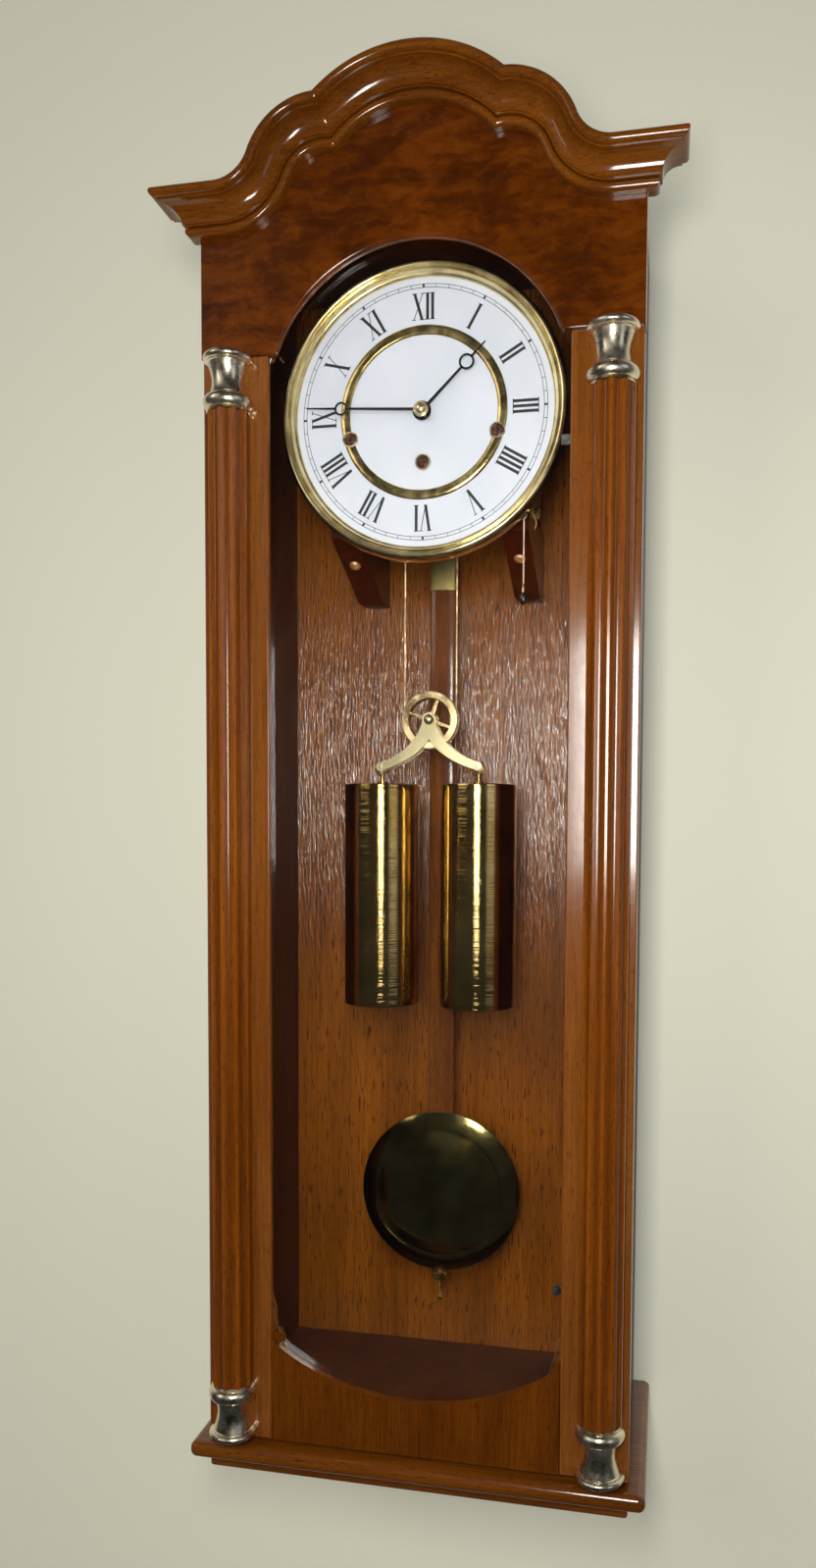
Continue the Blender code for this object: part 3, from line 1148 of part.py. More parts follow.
def build_pulley():
    """Grooved rim, hub and four spokes, bored for the yoke's axle."""
    groove = CABLE_OFFSET - CABLE_RADIUS - GAP
    lip = PULLEY_HALF_WIDTH * 0.35
    bottom = PULLEY_HALF_WIDTH * 0.25
    rim = [(PULLEY_RIM_INNER, PULLEY_HALF_WIDTH), (PULLEY_RADIUS, PULLEY_HALF_WIDTH), (PULLEY_RADIUS, lip * 2),
           (groove, bottom), (groove, -bottom), (PULLEY_RADIUS, -lip * 2), (PULLEY_RADIUS, -PULLEY_HALF_WIDTH),
           (PULLEY_RIM_INNER, -PULLEY_HALF_WIDTH)]
    place = facing(0.0, WEIGHT_Y, PULLEY_Z)
    pulley = add_part("pulley", turned_mesh(rim, place, 32, closed=True), "brass", SMOOTH)
    hub_half = PULLEY_HALF_WIDTH
    join(pulley, cylinder_mesh(PULLEY_HUB_RADIUS, (0.0, WEIGHT_Y - hub_half, PULLEY_Z),
                               (0.0, WEIGHT_Y + hub_half, PULLEY_Z), 20))
    reach = PULLEY_RIM_INNER + SPOKE_HALF
    for quarter in range(2):
        beam = box_mesh((-reach, reach), (-SPOKE_HALF, SPOKE_HALF), (-SPOKE_HALF, SPOKE_HALF))
        turn = Matrix.Rotation(-PULLEY_SPOKE_TILT + quarter * math.pi / 2, 4, "Y")
        beam.transform(Matrix.Translation((0.0, WEIGHT_Y, PULLEY_Z)) @ turn)
        join(pulley, beam)
    axle = AXLE_RADIUS + ARBOR_PLAY
    cut(pulley, cylinder_mesh(axle, (0.0, WEIGHT_Y - PULLEY_RADIUS, PULLEY_Z),
                              (0.0, WEIGHT_Y + PULLEY_RADIUS, PULLEY_Z), 20))
    return pulley


def yoke_outline():
    """The wishbone plate: a head round the axle and two curved arms down to the hook pins."""
    head_opening = math.radians(20)
    pin = Vector((YOKE_PIN_X, YOKE_PIN_Z))
    apex = Vector((0.0, YOKE_APEX_Z))
    arm_drop = YOKE_APEX_Z - YOKE_PIN_Z
    shoulder = Vector((YOKE_HEAD_RADIUS * math.cos(head_opening),
                       PULLEY_Z - YOKE_HEAD_RADIUS * math.sin(head_opening)))
    outer_bend = pin + Vector((-0.66 * YOKE_PIN_X, 0.64 * arm_drop))
    inner_bend = pin + Vector((-0.77 * YOKE_PIN_X, 0.26 * arm_drop))
    outer_end = pin + Vector((0.0, YOKE_END_RADIUS))
    underside = math.radians(140)
    inner_end = pin + Vector((-math.sin(underside), math.cos(underside))) * YOKE_END_RADIUS
    steps = 6

    def bend(start, middle, end):
        curve = []
        for step in range(steps + 1):
            share = step / steps
            point = start * (1 - share) ** 2 + middle * 2 * share * (1 - share) + end * share ** 2
            curve.append((point.x, point.y))
        return curve

    outer = bend(shoulder, outer_bend, outer_end)
    around = arc(tuple(pin), YOKE_END_RADIUS, math.pi / 2, math.pi / 2 + underside - ROUND, 8)
    inner = bend(inner_end, inner_bend, apex)
    right = outer + around[1:] + inner[1:]
    head = arc((0.0, PULLEY_Z), YOKE_HEAD_RADIUS, math.pi + head_opening, -head_opening, 10)
    return head[1:-1] + right + mirrored(right)[1:]


def build_yoke():
    """Two wishbone plates astride the pulley, its axle and dome nut, and a pin for each weight."""
    outline = yoke_outline()
    front = WEIGHT_Y - YOKE_PLATE_OFFSET
    back = WEIGHT_Y + YOKE_PLATE_OFFSET
    half = YOKE_PLATE_THICK / 2
    yoke = add_part("yoke", sheet_mesh([outline], front - half, front + half), "brass")
    join(yoke, sheet_mesh([outline], back - half, back + half))
    for x in (-YOKE_PIN_X, YOKE_PIN_X):
        join(yoke, cylinder_mesh(YOKE_PIN_RADIUS, (x, front, YOKE_PIN_Z), (x, back, YOKE_PIN_Z), 12))
    join(yoke, cylinder_mesh(AXLE_RADIUS, (0.0, front, PULLEY_Z), (0.0, back + half + GAP, PULLEY_Z), 16))
    nut = dome_profile(YOKE_NUT_RADIUS, YOKE_NUT_RADIUS * 0.75, 4) + [(YOKE_NUT_RADIUS, -half), (0.0, -half)]
    join(yoke, turned_mesh(nut, facing(0.0, front - half, PULLEY_Z), 16))
    return yoke


def weight_profile():
    """Shell with flat caps, cap beads, hook stem and bottom nut, from the stem's top down."""
    cap_edge = 1.0 * MM
    cap_lip = 2.4 * MM
    groove = 0.6 * MM
    stem = 1.6 * MM
    collar = 4.0 * MM
    collar_height = 2.5 * MM
    nut = 4.2 * MM
    nut_height = 4.0 * MM
    stem_top = weight_hook_z() - WEIGHT_HOOK_RADIUS + WEIGHT_HOOK_WIRE / 2
    top = WEIGHT_TOP_Z
    foot = WEIGHT_FOOT_Z
    radius = WEIGHT_RADIUS
    return [(0.0, stem_top), (stem, stem_top), (stem, top + collar_height), (collar, top + collar_height),
            (collar, top), (radius - cap_edge, top), (radius, top - cap_edge), (radius, top - cap_lip),
            (radius - groove, top - cap_lip - groove), (radius - groove, foot + cap_lip + groove),
            (radius, foot + cap_lip), (radius, foot + cap_edge), (radius - cap_edge, foot), (nut, foot),
            (nut, foot - nut_height), (nut * 0.5, foot - nut_height - groove), (0.0, foot - nut_height - groove)]


def weight_hook_z():
    """Height of the hook ring's centre when it hangs on the yoke's pin."""
    return YOKE_PIN_Z + YOKE_PIN_RADIUS + GAP - (WEIGHT_HOOK_RADIUS - WEIGHT_HOOK_WIRE)


def torus_mesh(place, radius, wire, steps=16, sides=6):
    """A wire ring standing in the XZ plane."""
    profile = [(radius + wire * math.cos(a), wire * math.sin(a))
               for a in (ROUND * (0.25 - side / sides) for side in range(sides))]
    return turned_mesh(profile, facing(*place), steps, closed=True)


def build_weights():
    weights = []
    for side, hand in ((-1, "left"), (1, "right")):
        x = side * YOKE_PIN_X
        body = turned_mesh(weight_profile(), upright(x, WEIGHT_Y, 0.0), 32)
        weight = add_part(f"weight_{hand}", body, "brass", SMOOTH)
        ring_place = (x, WEIGHT_Y, weight_hook_z())
        join(weight, torus_mesh(ring_place, WEIGHT_HOOK_RADIUS, WEIGHT_HOOK_WIRE))
        weights.append(weight)
    return weights


def build_weight_drive():
    build_cable()
    carrier = pivot("weight_carrier", (0.0, WEIGHT_Y, PULLEY_Z))
    hang([build_yoke(), build_pulley()], carrier)
    for weight, side in zip(build_weights(), (-1, 1)):
        hook = pivot(weight.name + "_hook", (side * YOKE_PIN_X, WEIGHT_Y, YOKE_PIN_Z))
        hang([weight], hook)


# Pendulum.
def build_pendulum():
    """Suspension and brass top piece, wooden rod, lens-shaped bob, rating screw and nut."""
    spring_top = STAND_FOOT_Z - 2 * GAP
    outline = [(-ROD_HALF_WIDTH, ROD_TOP_Z + GAP), (ROD_HALF_WIDTH, ROD_TOP_Z + GAP),
               (ROD_HALF_WIDTH, TOP_PLATE_Z), (SPRING_HALF, SPRING_FOOT_Z), (SPRING_HALF, spring_top),
               (-SPRING_HALF, spring_top), (-SPRING_HALF, SPRING_FOOT_Z), (-ROD_HALF_WIDTH, TOP_PLATE_Z)]
    depth = (PENDULUM_Y - ROD_HALF_THICK, PENDULUM_Y + ROD_HALF_THICK)
    top_piece = add_part("pendulum_top", sheet_mesh([outline], *depth), "brass")
    rod_mesh = box_mesh((-ROD_HALF_WIDTH, ROD_HALF_WIDTH), depth, (ROD_FOOT_Z, ROD_TOP_Z), BOARD_SOFTENING)
    rod = add_part("pendulum_rod", rod_mesh, "column_wood")
    step_radius = BOB_RADIUS * BOB_STEP_SHARE
    dome_steps = 4
    dome = []
    for step in range(dome_steps + 1):
        share = step / dome_steps
        dome.append((step_radius * share, BOB_HALF_THICK - (BOB_HALF_THICK - BOB_STEP_TOP) * share ** 2))
    brim_steps = 2
    brim = []
    for step in range(brim_steps + 1):
        share = step / brim_steps
        radius = step_radius + GAP + (BOB_RADIUS - step_radius - GAP) * share
        brim.append((radius, BOB_STEP_FOOT - (BOB_STEP_FOOT - BOB_EDGE_HALF) * share ** 1.6))
    front = dome + brim
    back = [(radius, -height) for radius, height in reversed(front)]
    bob_mesh = turned_mesh(front + back, facing(0.0, PENDULUM_Y, BOB_Z), 40)
    bob = add_part("pendulum_bob", bob_mesh, "brass", SMOOTH)
    slot_x = ROD_HALF_WIDTH + GAP
    slot_y = ROD_HALF_THICK + GAP
    overrun = BOB_RADIUS + ROD_HALF_WIDTH
    cut(bob, box_mesh((-slot_x, slot_x), (PENDULUM_Y - slot_y, PENDULUM_Y + slot_y),
                      (BOB_Z - overrun, BOB_Z + overrun)))
    screw = add_part("rating_screw", cylinder_mesh(RATING_SCREW_RADIUS, (0.0, PENDULUM_Y, ROD_FOOT_Z - GAP),
                                                   (0.0, PENDULUM_Y, RATING_SCREW_FOOT_Z), 12), "brass", SMOOTH)
    nut_foot = RATING_NUT_TOP_Z - RATING_NUT_HEIGHT
    bore = RATING_SCREW_RADIUS + ARBOR_PLAY
    edge = RATING_NUT_RADIUS / 6
    nut_profile = [(bore, RATING_NUT_TOP_Z), (RATING_NUT_RADIUS - edge, RATING_NUT_TOP_Z),
                   (RATING_NUT_RADIUS, RATING_NUT_TOP_Z - edge), (RATING_NUT_RADIUS, nut_foot + edge),
                   (RATING_NUT_RADIUS - edge, nut_foot), (bore, nut_foot)]
    nut = add_part("rating_nut", turned_mesh(nut_profile, upright(0.0, PENDULUM_Y, 0.0), 24, closed=True),
                   "brass", SMOOTH)
    hang([top_piece, rod, bob, screw, nut], pivot("pendulum_pivot", (0.0, PENDULUM_Y, PIVOT_Z)))


# Repeat pull.
def build_lever():
    """A wire lever on its stud, with a hook that the cord hangs from."""
    wire_y = CORD_Y
    hub_half = LEVER_HUB_HALF
    bore = LEVER_STUD_RADIUS + ARBOR_PLAY
    hub_profile = [(bore, hub_half), (LEVER_HUB_RADIUS, hub_half), (LEVER_HUB_RADIUS, -hub_half), (bore, -hub_half)]
    hub = turned_mesh(hub_profile, facing(LEVER_X, wire_y, LEVER_Z), 20, closed=True)
    lever = add_part("repeat_lever", hub, "pale_brass", SMOOTH)
    hook_z = CORD_TOP_Z + LEVER_WIRE_RADIUS + GAP
    arm = Vector((CORD_X - LEVER_X, hook_z - LEVER_Z))
    start = Vector((LEVER_X, LEVER_Z)) + arm.normalized() * (LEVER_HUB_RADIUS - LEVER_WIRE_RADIUS)
    middle = Vector((LEVER_X, LEVER_Z)) + arm * 0.5 + Vector((LEVER_WIRE_RADIUS, LEVER_WIRE_RADIUS))
    bend = 4 * LEVER_WIRE_RADIUS
    route = [tuple(start), tuple(middle), (CORD_X - bend, hook_z + bend * 0.8),
             (CORD_X - bend / 4, hook_z + GAP), (CORD_X, hook_z), (CORD_X + bend / 4, hook_z + GAP),
             (CORD_X + bend / 2, hook_z + bend / 2), (CORD_X + bend / 2, hook_z + bend)]
    join(lever, tube_mesh([(x, wire_y, z) for x, z in route], LEVER_WIRE_RADIUS, 1))
    hang([lever], pivot("lever_pivot", (LEVER_X, wire_y, LEVER_Z)))


def build_pull():
    """The cord from the hook, and the ferrule and ball on its end."""
    cord_steps = 16
    points = [(CORD_X, CORD_Y, CORD_TOP_Z + (CORD_FOOT_Z - CORD_TOP_Z) * step / cord_steps)
              for step in range(cord_steps + 1)]
    cord = add_part("pull_cord", tube_mesh(points, CORD_RADIUS), "cord", SMOOTH)
    top = CORD_FOOT_Z - GAP
    neck = top - FERRULE_HEIGHT
    profile = [(0.0, top), (FERRULE_RADIUS * 0.7, top), (FERRULE_RADIUS, top - FERRULE_RADIUS / 2),
               (FERRULE_RADIUS, neck)]
    ball_steps = 9
    for step in range(1, ball_steps):
        angle = math.pi * step / ball_steps
        radius = BALL_RADIUS * math.sin(angle)
        height = BALL_Z + BALL_HALF * math.cos(angle)
        if height < neck:
            profile.append((radius, height))
    profile.append((0.0, BALL_Z - BALL_HALF))
    ball = add_part("cord_ball", turned_mesh(profile, upright(CORD_X, CORD_Y, 0.0), 20), "black", SMOOTH)
    hang([cord, ball], pivot("cord_pivot", (CORD_X, CORD_Y, CORD_TOP_Z)))


def build_door():
    pieces = build_crown() + [build_head(), build_apron(), build_pane()]
    pieces += build_stiles() + build_clips() + build_columns() + build_hinges()
    hang_door(pieces)


def hang_door(pieces):
    """Parent the door's pieces and their Booleans' operands to the hinge line."""
    hinge = pivot("door_hinge", (HINGE_X, HINGE_Y, 0.0))
    hang(pieces, hinge)


build_case()
build_plinth()
build_hanger()
build_door()
build_dial()
build_movement()
build_drum()
build_escapement()
build_brackets()
build_hands()
build_weight_drive()
build_pendulum()
build_lever()
build_pull()


def align_operands():
    """Put each Boolean's operand in its part's own frame, wherever the part now hangs."""
    bpy.context.view_layer.update()
    for part in parts.objects:
        for modifier in part.modifiers:
            if modifier.type == "BOOLEAN":
                modifier.object.matrix_world = part.matrix_world


align_operands()
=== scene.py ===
"""The looks of a regulator wall clock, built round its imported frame.

Metres, +Z up. The clock faces -Y, hangs on a wall at y = 0, and x = 0 is its plane of symmetry.
"""
import math

import bmesh
import bpy
from mathutils import Matrix, Vector


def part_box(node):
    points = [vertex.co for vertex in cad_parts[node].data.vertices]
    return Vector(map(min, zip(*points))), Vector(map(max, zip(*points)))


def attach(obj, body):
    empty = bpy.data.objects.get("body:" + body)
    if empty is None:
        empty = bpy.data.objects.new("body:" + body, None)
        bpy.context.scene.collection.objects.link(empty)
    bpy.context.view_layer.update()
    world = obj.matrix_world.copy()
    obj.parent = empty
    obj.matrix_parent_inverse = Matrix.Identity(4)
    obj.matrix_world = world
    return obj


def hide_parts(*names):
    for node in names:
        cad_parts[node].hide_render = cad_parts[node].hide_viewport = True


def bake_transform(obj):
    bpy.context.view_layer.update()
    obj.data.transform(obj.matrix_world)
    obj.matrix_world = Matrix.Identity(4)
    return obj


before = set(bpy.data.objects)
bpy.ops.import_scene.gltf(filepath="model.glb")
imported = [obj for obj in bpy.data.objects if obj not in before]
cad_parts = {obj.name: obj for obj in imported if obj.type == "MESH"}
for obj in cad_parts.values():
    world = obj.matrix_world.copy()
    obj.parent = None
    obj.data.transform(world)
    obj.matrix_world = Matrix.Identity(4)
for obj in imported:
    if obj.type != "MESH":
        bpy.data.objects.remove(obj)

MM = 0.001
ROUND = 2 * math.pi
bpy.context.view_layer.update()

# Camera, where the photograph was taken from: close by, to the right of the clock and below its
# middle. The picture is cropped, so the lens's axis lies off its middle.
PHOTO_WIDTH = 832
PHOTO_HEIGHT = 1598
FOCAL_PIXELS = 1049.98
AXIS_PIXEL_X = 479.8
AXIS_PIXEL_Y = 895.25
CAMERA_PLACE = Vector((0.18275, -0.88096, -0.41771))
CAMERA_YAW = 0.189063
CAMERA_PITCH = -0.049738
CAMERA_ROLL = -0.006385
camera_data = bpy.data.cameras.new("camera")
camera_data.sensor_fit = "VERTICAL"
camera_data.sensor_height = 36.0
camera_data.lens = camera_data.sensor_height * FOCAL_PIXELS / PHOTO_HEIGHT
camera_data.shift_x = (PHOTO_WIDTH / 2 - AXIS_PIXEL_X) / PHOTO_HEIGHT
camera_data.shift_y = (AXIS_PIXEL_Y - PHOTO_HEIGHT / 2) / PHOTO_HEIGHT
camera = bpy.data.objects.new("camera", camera_data)
bpy.context.scene.collection.objects.link(camera)
camera_turn = Matrix.Rotation(CAMERA_YAW, 4, "Z") @ Matrix.Rotation(CAMERA_PITCH, 4, "X")
camera_turn = camera_turn @ Matrix.Rotation(CAMERA_ROLL, 4, "Y") @ Matrix.Rotation(math.pi / 2, 4, "X")
camera.matrix_world = Matrix.Translation(CAMERA_PLACE) @ camera_turn
bpy.context.scene.camera = camera

# Pull cord, a thin twisted cotton cord with three strands. It hangs straight from the repeat
# lever's hook, and a pale metal ferrule crimps its end to a dark turned drop.
CORD_STRANDS = 3
CORD_TWIST = 3.2 * MM
CORD_STEPS = 120
STRAND_SHARE = 0.52
STRAND_ROUNDING = 2
SAME_POINT = 0.001 * MM


def linear(code):
    """An sRGB hex colour as the linear colour that a shader takes."""
    channels = [int(code[start:start + 2], 16) / 255 for start in (1, 3, 5)]
    return tuple(c / 12.92 if c <= 0.04045 else ((c + 0.055) / 1.055) ** 2.4 for c in channels) + (1.0,)


def add_node(tree, kind, values=None, links=None, stops=(), **settings):
    """Add a shader node with its settings, its typed input values, its links and its colour stops."""
    made = tree.nodes.new("ShaderNode" + kind)
    for name, value in settings.items():
        setattr(made, name, value)
    for name, value in (values or {}).items():
        made.inputs[name].default_value = value
    for name, socket in (links or {}).items():
        tree.links.new(socket, made.inputs[name])
    for index, (place, colour) in enumerate(stops):
        elements = made.color_ramp.elements
        element = elements[index] if index < 2 else elements.new(place)
        element.position = place
        element.color = colour
    return made


def new_material(name):
    """An empty node material and its tree."""
    material = bpy.data.materials.new(name)
    material.use_nodes = True
    material.node_tree.nodes.clear()
    return material, material.node_tree


def wires(routes, radius, resolution):
    """Round wires along lists of points, in one bmesh with their ends closed."""
    curve = bpy.data.curves.new("wires", "CURVE")
    curve.dimensions = "3D"
    curve.bevel_depth = radius
    curve.bevel_resolution = resolution
    curve.use_fill_caps = True
    for route in routes:
        spline = curve.splines.new("POLY")
        spline.points.add(len(route) - 1)
        for point, place in zip(spline.points, route):
            point.co = (*place, 1.0)
    holder = bpy.data.objects.new("wires", curve)
    bpy.context.scene.collection.objects.link(holder)
    mesh = bpy.data.meshes.new_from_object(holder.evaluated_get(bpy.context.evaluated_depsgraph_get()))
    bpy.data.objects.remove(holder)
    bpy.data.curves.remove(curve)
    bm = bmesh.new()
    bm.from_mesh(mesh)
    bpy.data.meshes.remove(mesh)
    bmesh.ops.remove_doubles(bm, verts=bm.verts, dist=SAME_POINT)
    return bm


def twisted(path, strands, offset, pitch):
    """Routes of strands that wind round a path, evenly spaced about it."""
    routes = [[] for strand in range(strands)]
    walked = 0.0
    side = Vector((0.0, 1.0, 0.0))
    for index, place in enumerate(path):
        before = path[max(index - 1, 0)]
        after = path[min(index + 1, len(path) - 1)]
        walked += (place - before).length
        tangent = (after - before).normalized()
        across = tangent.cross(side).normalized()
        for strand, route in enumerate(routes):
            angle = ROUND * (walked / pitch + strand / strands)
            route.append(place + (across * math.cos(angle) + side * math.sin(angle)) * offset)
    return routes


def add_piece(name, shapes, body, material, stands_for=(), crease=32.0, flats=True):
    """One finished piece from several bmeshes, riding on a body and standing for CAD nodes."""
    whole = bmesh.new()
    for shape in shapes:
        bmesh.ops.recalc_face_normals(shape, faces=shape.faces)
        mesh = bpy.data.meshes.new("shape")
        shape.to_mesh(mesh)
        shape.free()
        whole.from_mesh(mesh)
        bpy.data.meshes.remove(mesh)
    mesh = bpy.data.meshes.new(name)
    whole.to_mesh(mesh)
    whole.free()
    mesh.shade_smooth()
    mesh.set_sharp_from_angle(angle=math.radians(crease))
    mesh.materials.append(material)
    piece = bpy.data.objects.new(name, mesh)
    bpy.context.scene.collection.objects.link(piece)
    if flats:
        weighted = piece.modifiers.new("weighted_normals", "WEIGHTED_NORMAL")
        weighted.keep_sharp = True
    if body:
        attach(piece, body)
    if stands_for:
        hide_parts(*stands_for)
    return piece


def cotton():
    """Twisted cotton: pale warm fibres, matt, with darker lines between the strands. The fibres are
    drawn coarser than real ones, so that they show."""
    material, tree = new_material("twisted_cotton")
    fibre_width = 0.25 * MM
    on_piece = {"Vector": add_node(tree, "TexCoord").outputs["Object"]}
    fibres = add_node(tree, "TexNoise", {"Scale": 1 / fibre_width, "Detail": 2.0}, on_piece)
    tone = add_node(tree, "ValToRGB", links={"Fac": fibres.outputs["Fac"]},
                    stops=((0.3, linear("#b08a68")), (0.7, linear("#ecd3b4"))))
    bump = add_node(tree, "Bump", {"Strength": 0.4, "Distance": 0.05 * MM}, {"Height": fibres.outputs["Fac"]})
    shader = add_node(tree, "BsdfPrincipled", {"Roughness": 0.75, "Sheen Weight": 0.3},
                      {"Base Color": tone.outputs["Color"], "Normal": bump.outputs["Normal"]})
    add_node(tree, "OutputMaterial", links={"Surface": shader.outputs["BSDF"]})
    return material


cord_low, cord_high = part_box("pull_cord")
cord_x = (cord_low.x + cord_high.x) / 2
cord_y = (cord_low.y + cord_high.y) / 2
cord_radius = (cord_high.x - cord_low.x) / 2
cord_path = [Vector((cord_x, cord_y, cord_high.z + (cord_low.z - cord_high.z) * step / CORD_STEPS))
             for step in range(CORD_STEPS + 1)]
strand_radius = cord_radius * STRAND_SHARE
cotton_cord = cotton()
cord_routes = twisted(cord_path, CORD_STRANDS, cord_radius - strand_radius, CORD_TWIST)
pull_cord = add_piece("pull_cord_strands", [wires(cord_routes, strand_radius, STRAND_ROUNDING)], "pull",
                      cotton_cord, ["pull_cord"], flats=False)

# Ferrule and drop: a pale metal sleeve with two crimp lines holds the cord's end, and a drop of
# ebonised, lacquered wood hangs from it.
FERRULE_HEIGHT = 6.0 * MM
FERRULE_RADIUS = 1.5 * MM
FERRULE_ARRIS_SHARE = 0.6
CRIMP_PLACE_SHARES = (0.35, 0.6)
CRIMP_SECTION_SHARES = ((1.0, 0.3), (0.8, 0.12), (0.8, -0.12), (1.0, -0.3))
FERRULE_STEPS = 32
DROP_SEAT = 0.4 * MM
DROP_STEPS = 24


def turned(profile, place, steps=72, closed=False):
    """Spin a profile of (radius, height) pairs about the Z axis of a placing matrix."""
    bm = bmesh.new()
    verts = [bm.verts.new((radius, 0.0, height)) for radius, height in profile]
    pairs = list(zip(verts, verts[1:]))
    if closed:
        pairs.append((verts[-1], verts[0]))
    edges = [bm.edges.new(pair) for pair in pairs]
    bmesh.ops.spin(bm, geom=verts + edges, cent=(0.0, 0.0, 0.0), axis=(0.0, 0.0, 1.0), dvec=(0.0, 0.0, 0.0),
                   angle=ROUND, steps=steps, use_merge=True, use_normal_flip=False, use_duplicate=False)
    bmesh.ops.remove_doubles(bm, verts=bm.verts, dist=SAME_POINT)
    bmesh.ops.transform(bm, matrix=place, verts=bm.verts)
    return bm


def upright(x, y, z):
    """A place whose Z axis stays upright."""
    return Matrix.Translation((x, y, z))


def polished_metal(name, pale, deep, roughness, patch, brushed=None):
    """A polished or brushed metal: its tone drifts a little with tarnish, and its polish with handling.
    Brushed lines, given as a pattern scale, are drawn coarser than real ones, so that they show."""
    material, tree = new_material(name)
    on_piece = {"Vector": add_node(tree, "TexCoord").outputs["Object"]}
    drift = add_node(tree, "TexNoise", {"Scale": 1 / patch, "Detail": 3.0, "Roughness": 0.6}, on_piece)
    tone = add_node(tree, "ValToRGB", links={"Fac": drift.outputs["Fac"]},
                    stops=((0.35, linear(deep)), (0.62, linear(pale))))
    polish = add_node(tree, "MapRange", {"From Min": 0.3, "From Max": 0.7, "To Min": roughness * 0.7,
                                         "To Max": roughness * 1.35}, {"Value": drift.outputs["Fac"]})
    links = {"Base Color": tone.outputs["Color"], "Roughness": polish.outputs["Result"]}
    if brushed:
        stretched = add_node(tree, "Mapping", {"Scale": brushed}, on_piece)
        lines = add_node(tree, "TexNoise", {"Scale": 1.0, "Detail": 2.0},
                         {"Vector": stretched.outputs["Vector"]})
        bump = add_node(tree, "Bump", {"Strength": 0.6, "Distance": 0.22 * MM},
                        {"Height": lines.outputs["Fac"]})
        links["Normal"] = bump.outputs["Normal"]
    shader = add_node(tree, "BsdfPrincipled", {"Metallic": 1.0}, links)
    add_node(tree, "OutputMaterial", links={"Surface": shader.outputs["BSDF"]})
    return material


def dark_lacquer(name, code):
    """Near-black, glossy wood or metal: a tight bright highlight over a deep, dark ground."""
    material, tree = new_material(name)
    on_piece = {"Vector": add_node(tree, "TexCoord").outputs["Object"]}
    grain_width = 1.5 * MM
    grain = add_node(tree, "TexNoise", {"Scale": 1 / grain_width, "Detail": 3.0}, on_piece)
    tone = add_node(tree, "ValToRGB", links={"Fac": grain.outputs["Fac"]},
                    stops=((0.3, linear("#0d0806")), (0.75, linear(code))))
    shader = add_node(tree, "BsdfPrincipled", {"Roughness": 0.22, "Coat Weight": 1.0, "Coat Roughness": 0.05},
                      {"Base Color": tone.outputs["Color"]})
    add_node(tree, "OutputMaterial", links={"Surface": shader.outputs["BSDF"]})
    return material


ball_low, ball_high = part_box("cord_ball")
ball_radius = (ball_high.x - ball_low.x) / 2
neck_z = ball_high.z - FERRULE_HEIGHT
ferrule_profile = [(0.0, ball_high.z), (FERRULE_RADIUS * FERRULE_ARRIS_SHARE, ball_high.z),
                   (FERRULE_RADIUS, ball_high.z - FERRULE_RADIUS * FERRULE_ARRIS_SHARE)]
for crimp in CRIMP_PLACE_SHARES:
    crimp_z = ball_high.z - FERRULE_HEIGHT * crimp
    for across, along in CRIMP_SECTION_SHARES:
        ferrule_profile.append((FERRULE_RADIUS * across, crimp_z + FERRULE_RADIUS * along))
ferrule_profile += [(FERRULE_RADIUS, neck_z), (0.0, neck_z)]
# Pale copper: a small bright glint between the cord and the dark drop.
pale_copper = polished_metal("pale_copper_wire", "#e8c3a0", "#c08a62", 0.22, 6.0 * MM)
ferrule = add_piece("cord_ferrule", [turned(ferrule_profile, upright(cord_x, cord_y, 0.0), FERRULE_STEPS)],
                    "pull", pale_copper)
drop_top = neck_z + DROP_SEAT
drop_half = (drop_top - ball_low.z) / 2
drop_profile = []
for step in range(DROP_STEPS + 1):
    angle = math.pi * step / DROP_STEPS
    drop_profile.append((ball_radius * math.sin(angle), drop_top - drop_half * (1 - math.cos(angle))))
# Ebonised wood: a black drop with one sharp highlight.
ebony = dark_lacquer("ebonised_wood", "#2a1710")
drop = add_piece("cord_drop", [turned(drop_profile, upright(cord_x, cord_y, 0.0), 2 * DROP_STEPS)], "pull",
                 ebony, ["cord_ball"])

# Weight cable, a laid wire rope. It winds onto the drum behind the dial, runs down and round the pulley and
# back up to a post in the movement. It is built as it hangs at rest, on no body, and does not lengthen as the
# weights sink.
CABLE_WRAP = math.radians(50)
CABLE_STRANDS = 5
CABLE_LAY = 9.0 * MM
CABLE_SHARE = 0.4
CABLE_CORE_SHARE = 0.5
CABLE_SPACING = 1.0 * MM
WRAP_STEPS = 12
PULLEY_STEPS = 48
POST_DROP = 26.8 * MM
cable_low, cable_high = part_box("cable")
drum_low, drum_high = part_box("winding_drum")
pulley_low, pulley_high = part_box("pulley")
cable_radius = (cable_high.y - cable_low.y) / 2
cable_y = (cable_high.y + cable_low.y) / 2
cable_offset = cable_high.x - cable_radius
drum_z = (drum_low.z + drum_high.z) / 2
pulley_z = (pulley_low.z + pulley_high.z) / 2
post_foot_z = drum_z - POST_DROP


def arc(centre, radius, start, end, steps):
    """Points of a round stretch, both ends included."""
    angles = [start + (end - start) * step / steps for step in range(steps + 1)]
    return [(centre[0] + radius * math.cos(angle), centre[1] + radius * math.sin(angle)) for angle in angles]


def cable_points(x, start, end):
    """Evenly spaced points of one straight, upright run of the cable, without its last point."""
    count = max(2, round(abs(end - start) / CABLE_SPACING))
    return [Vector((x, cable_y, start + (end - start) * step / count)) for step in range(count)]


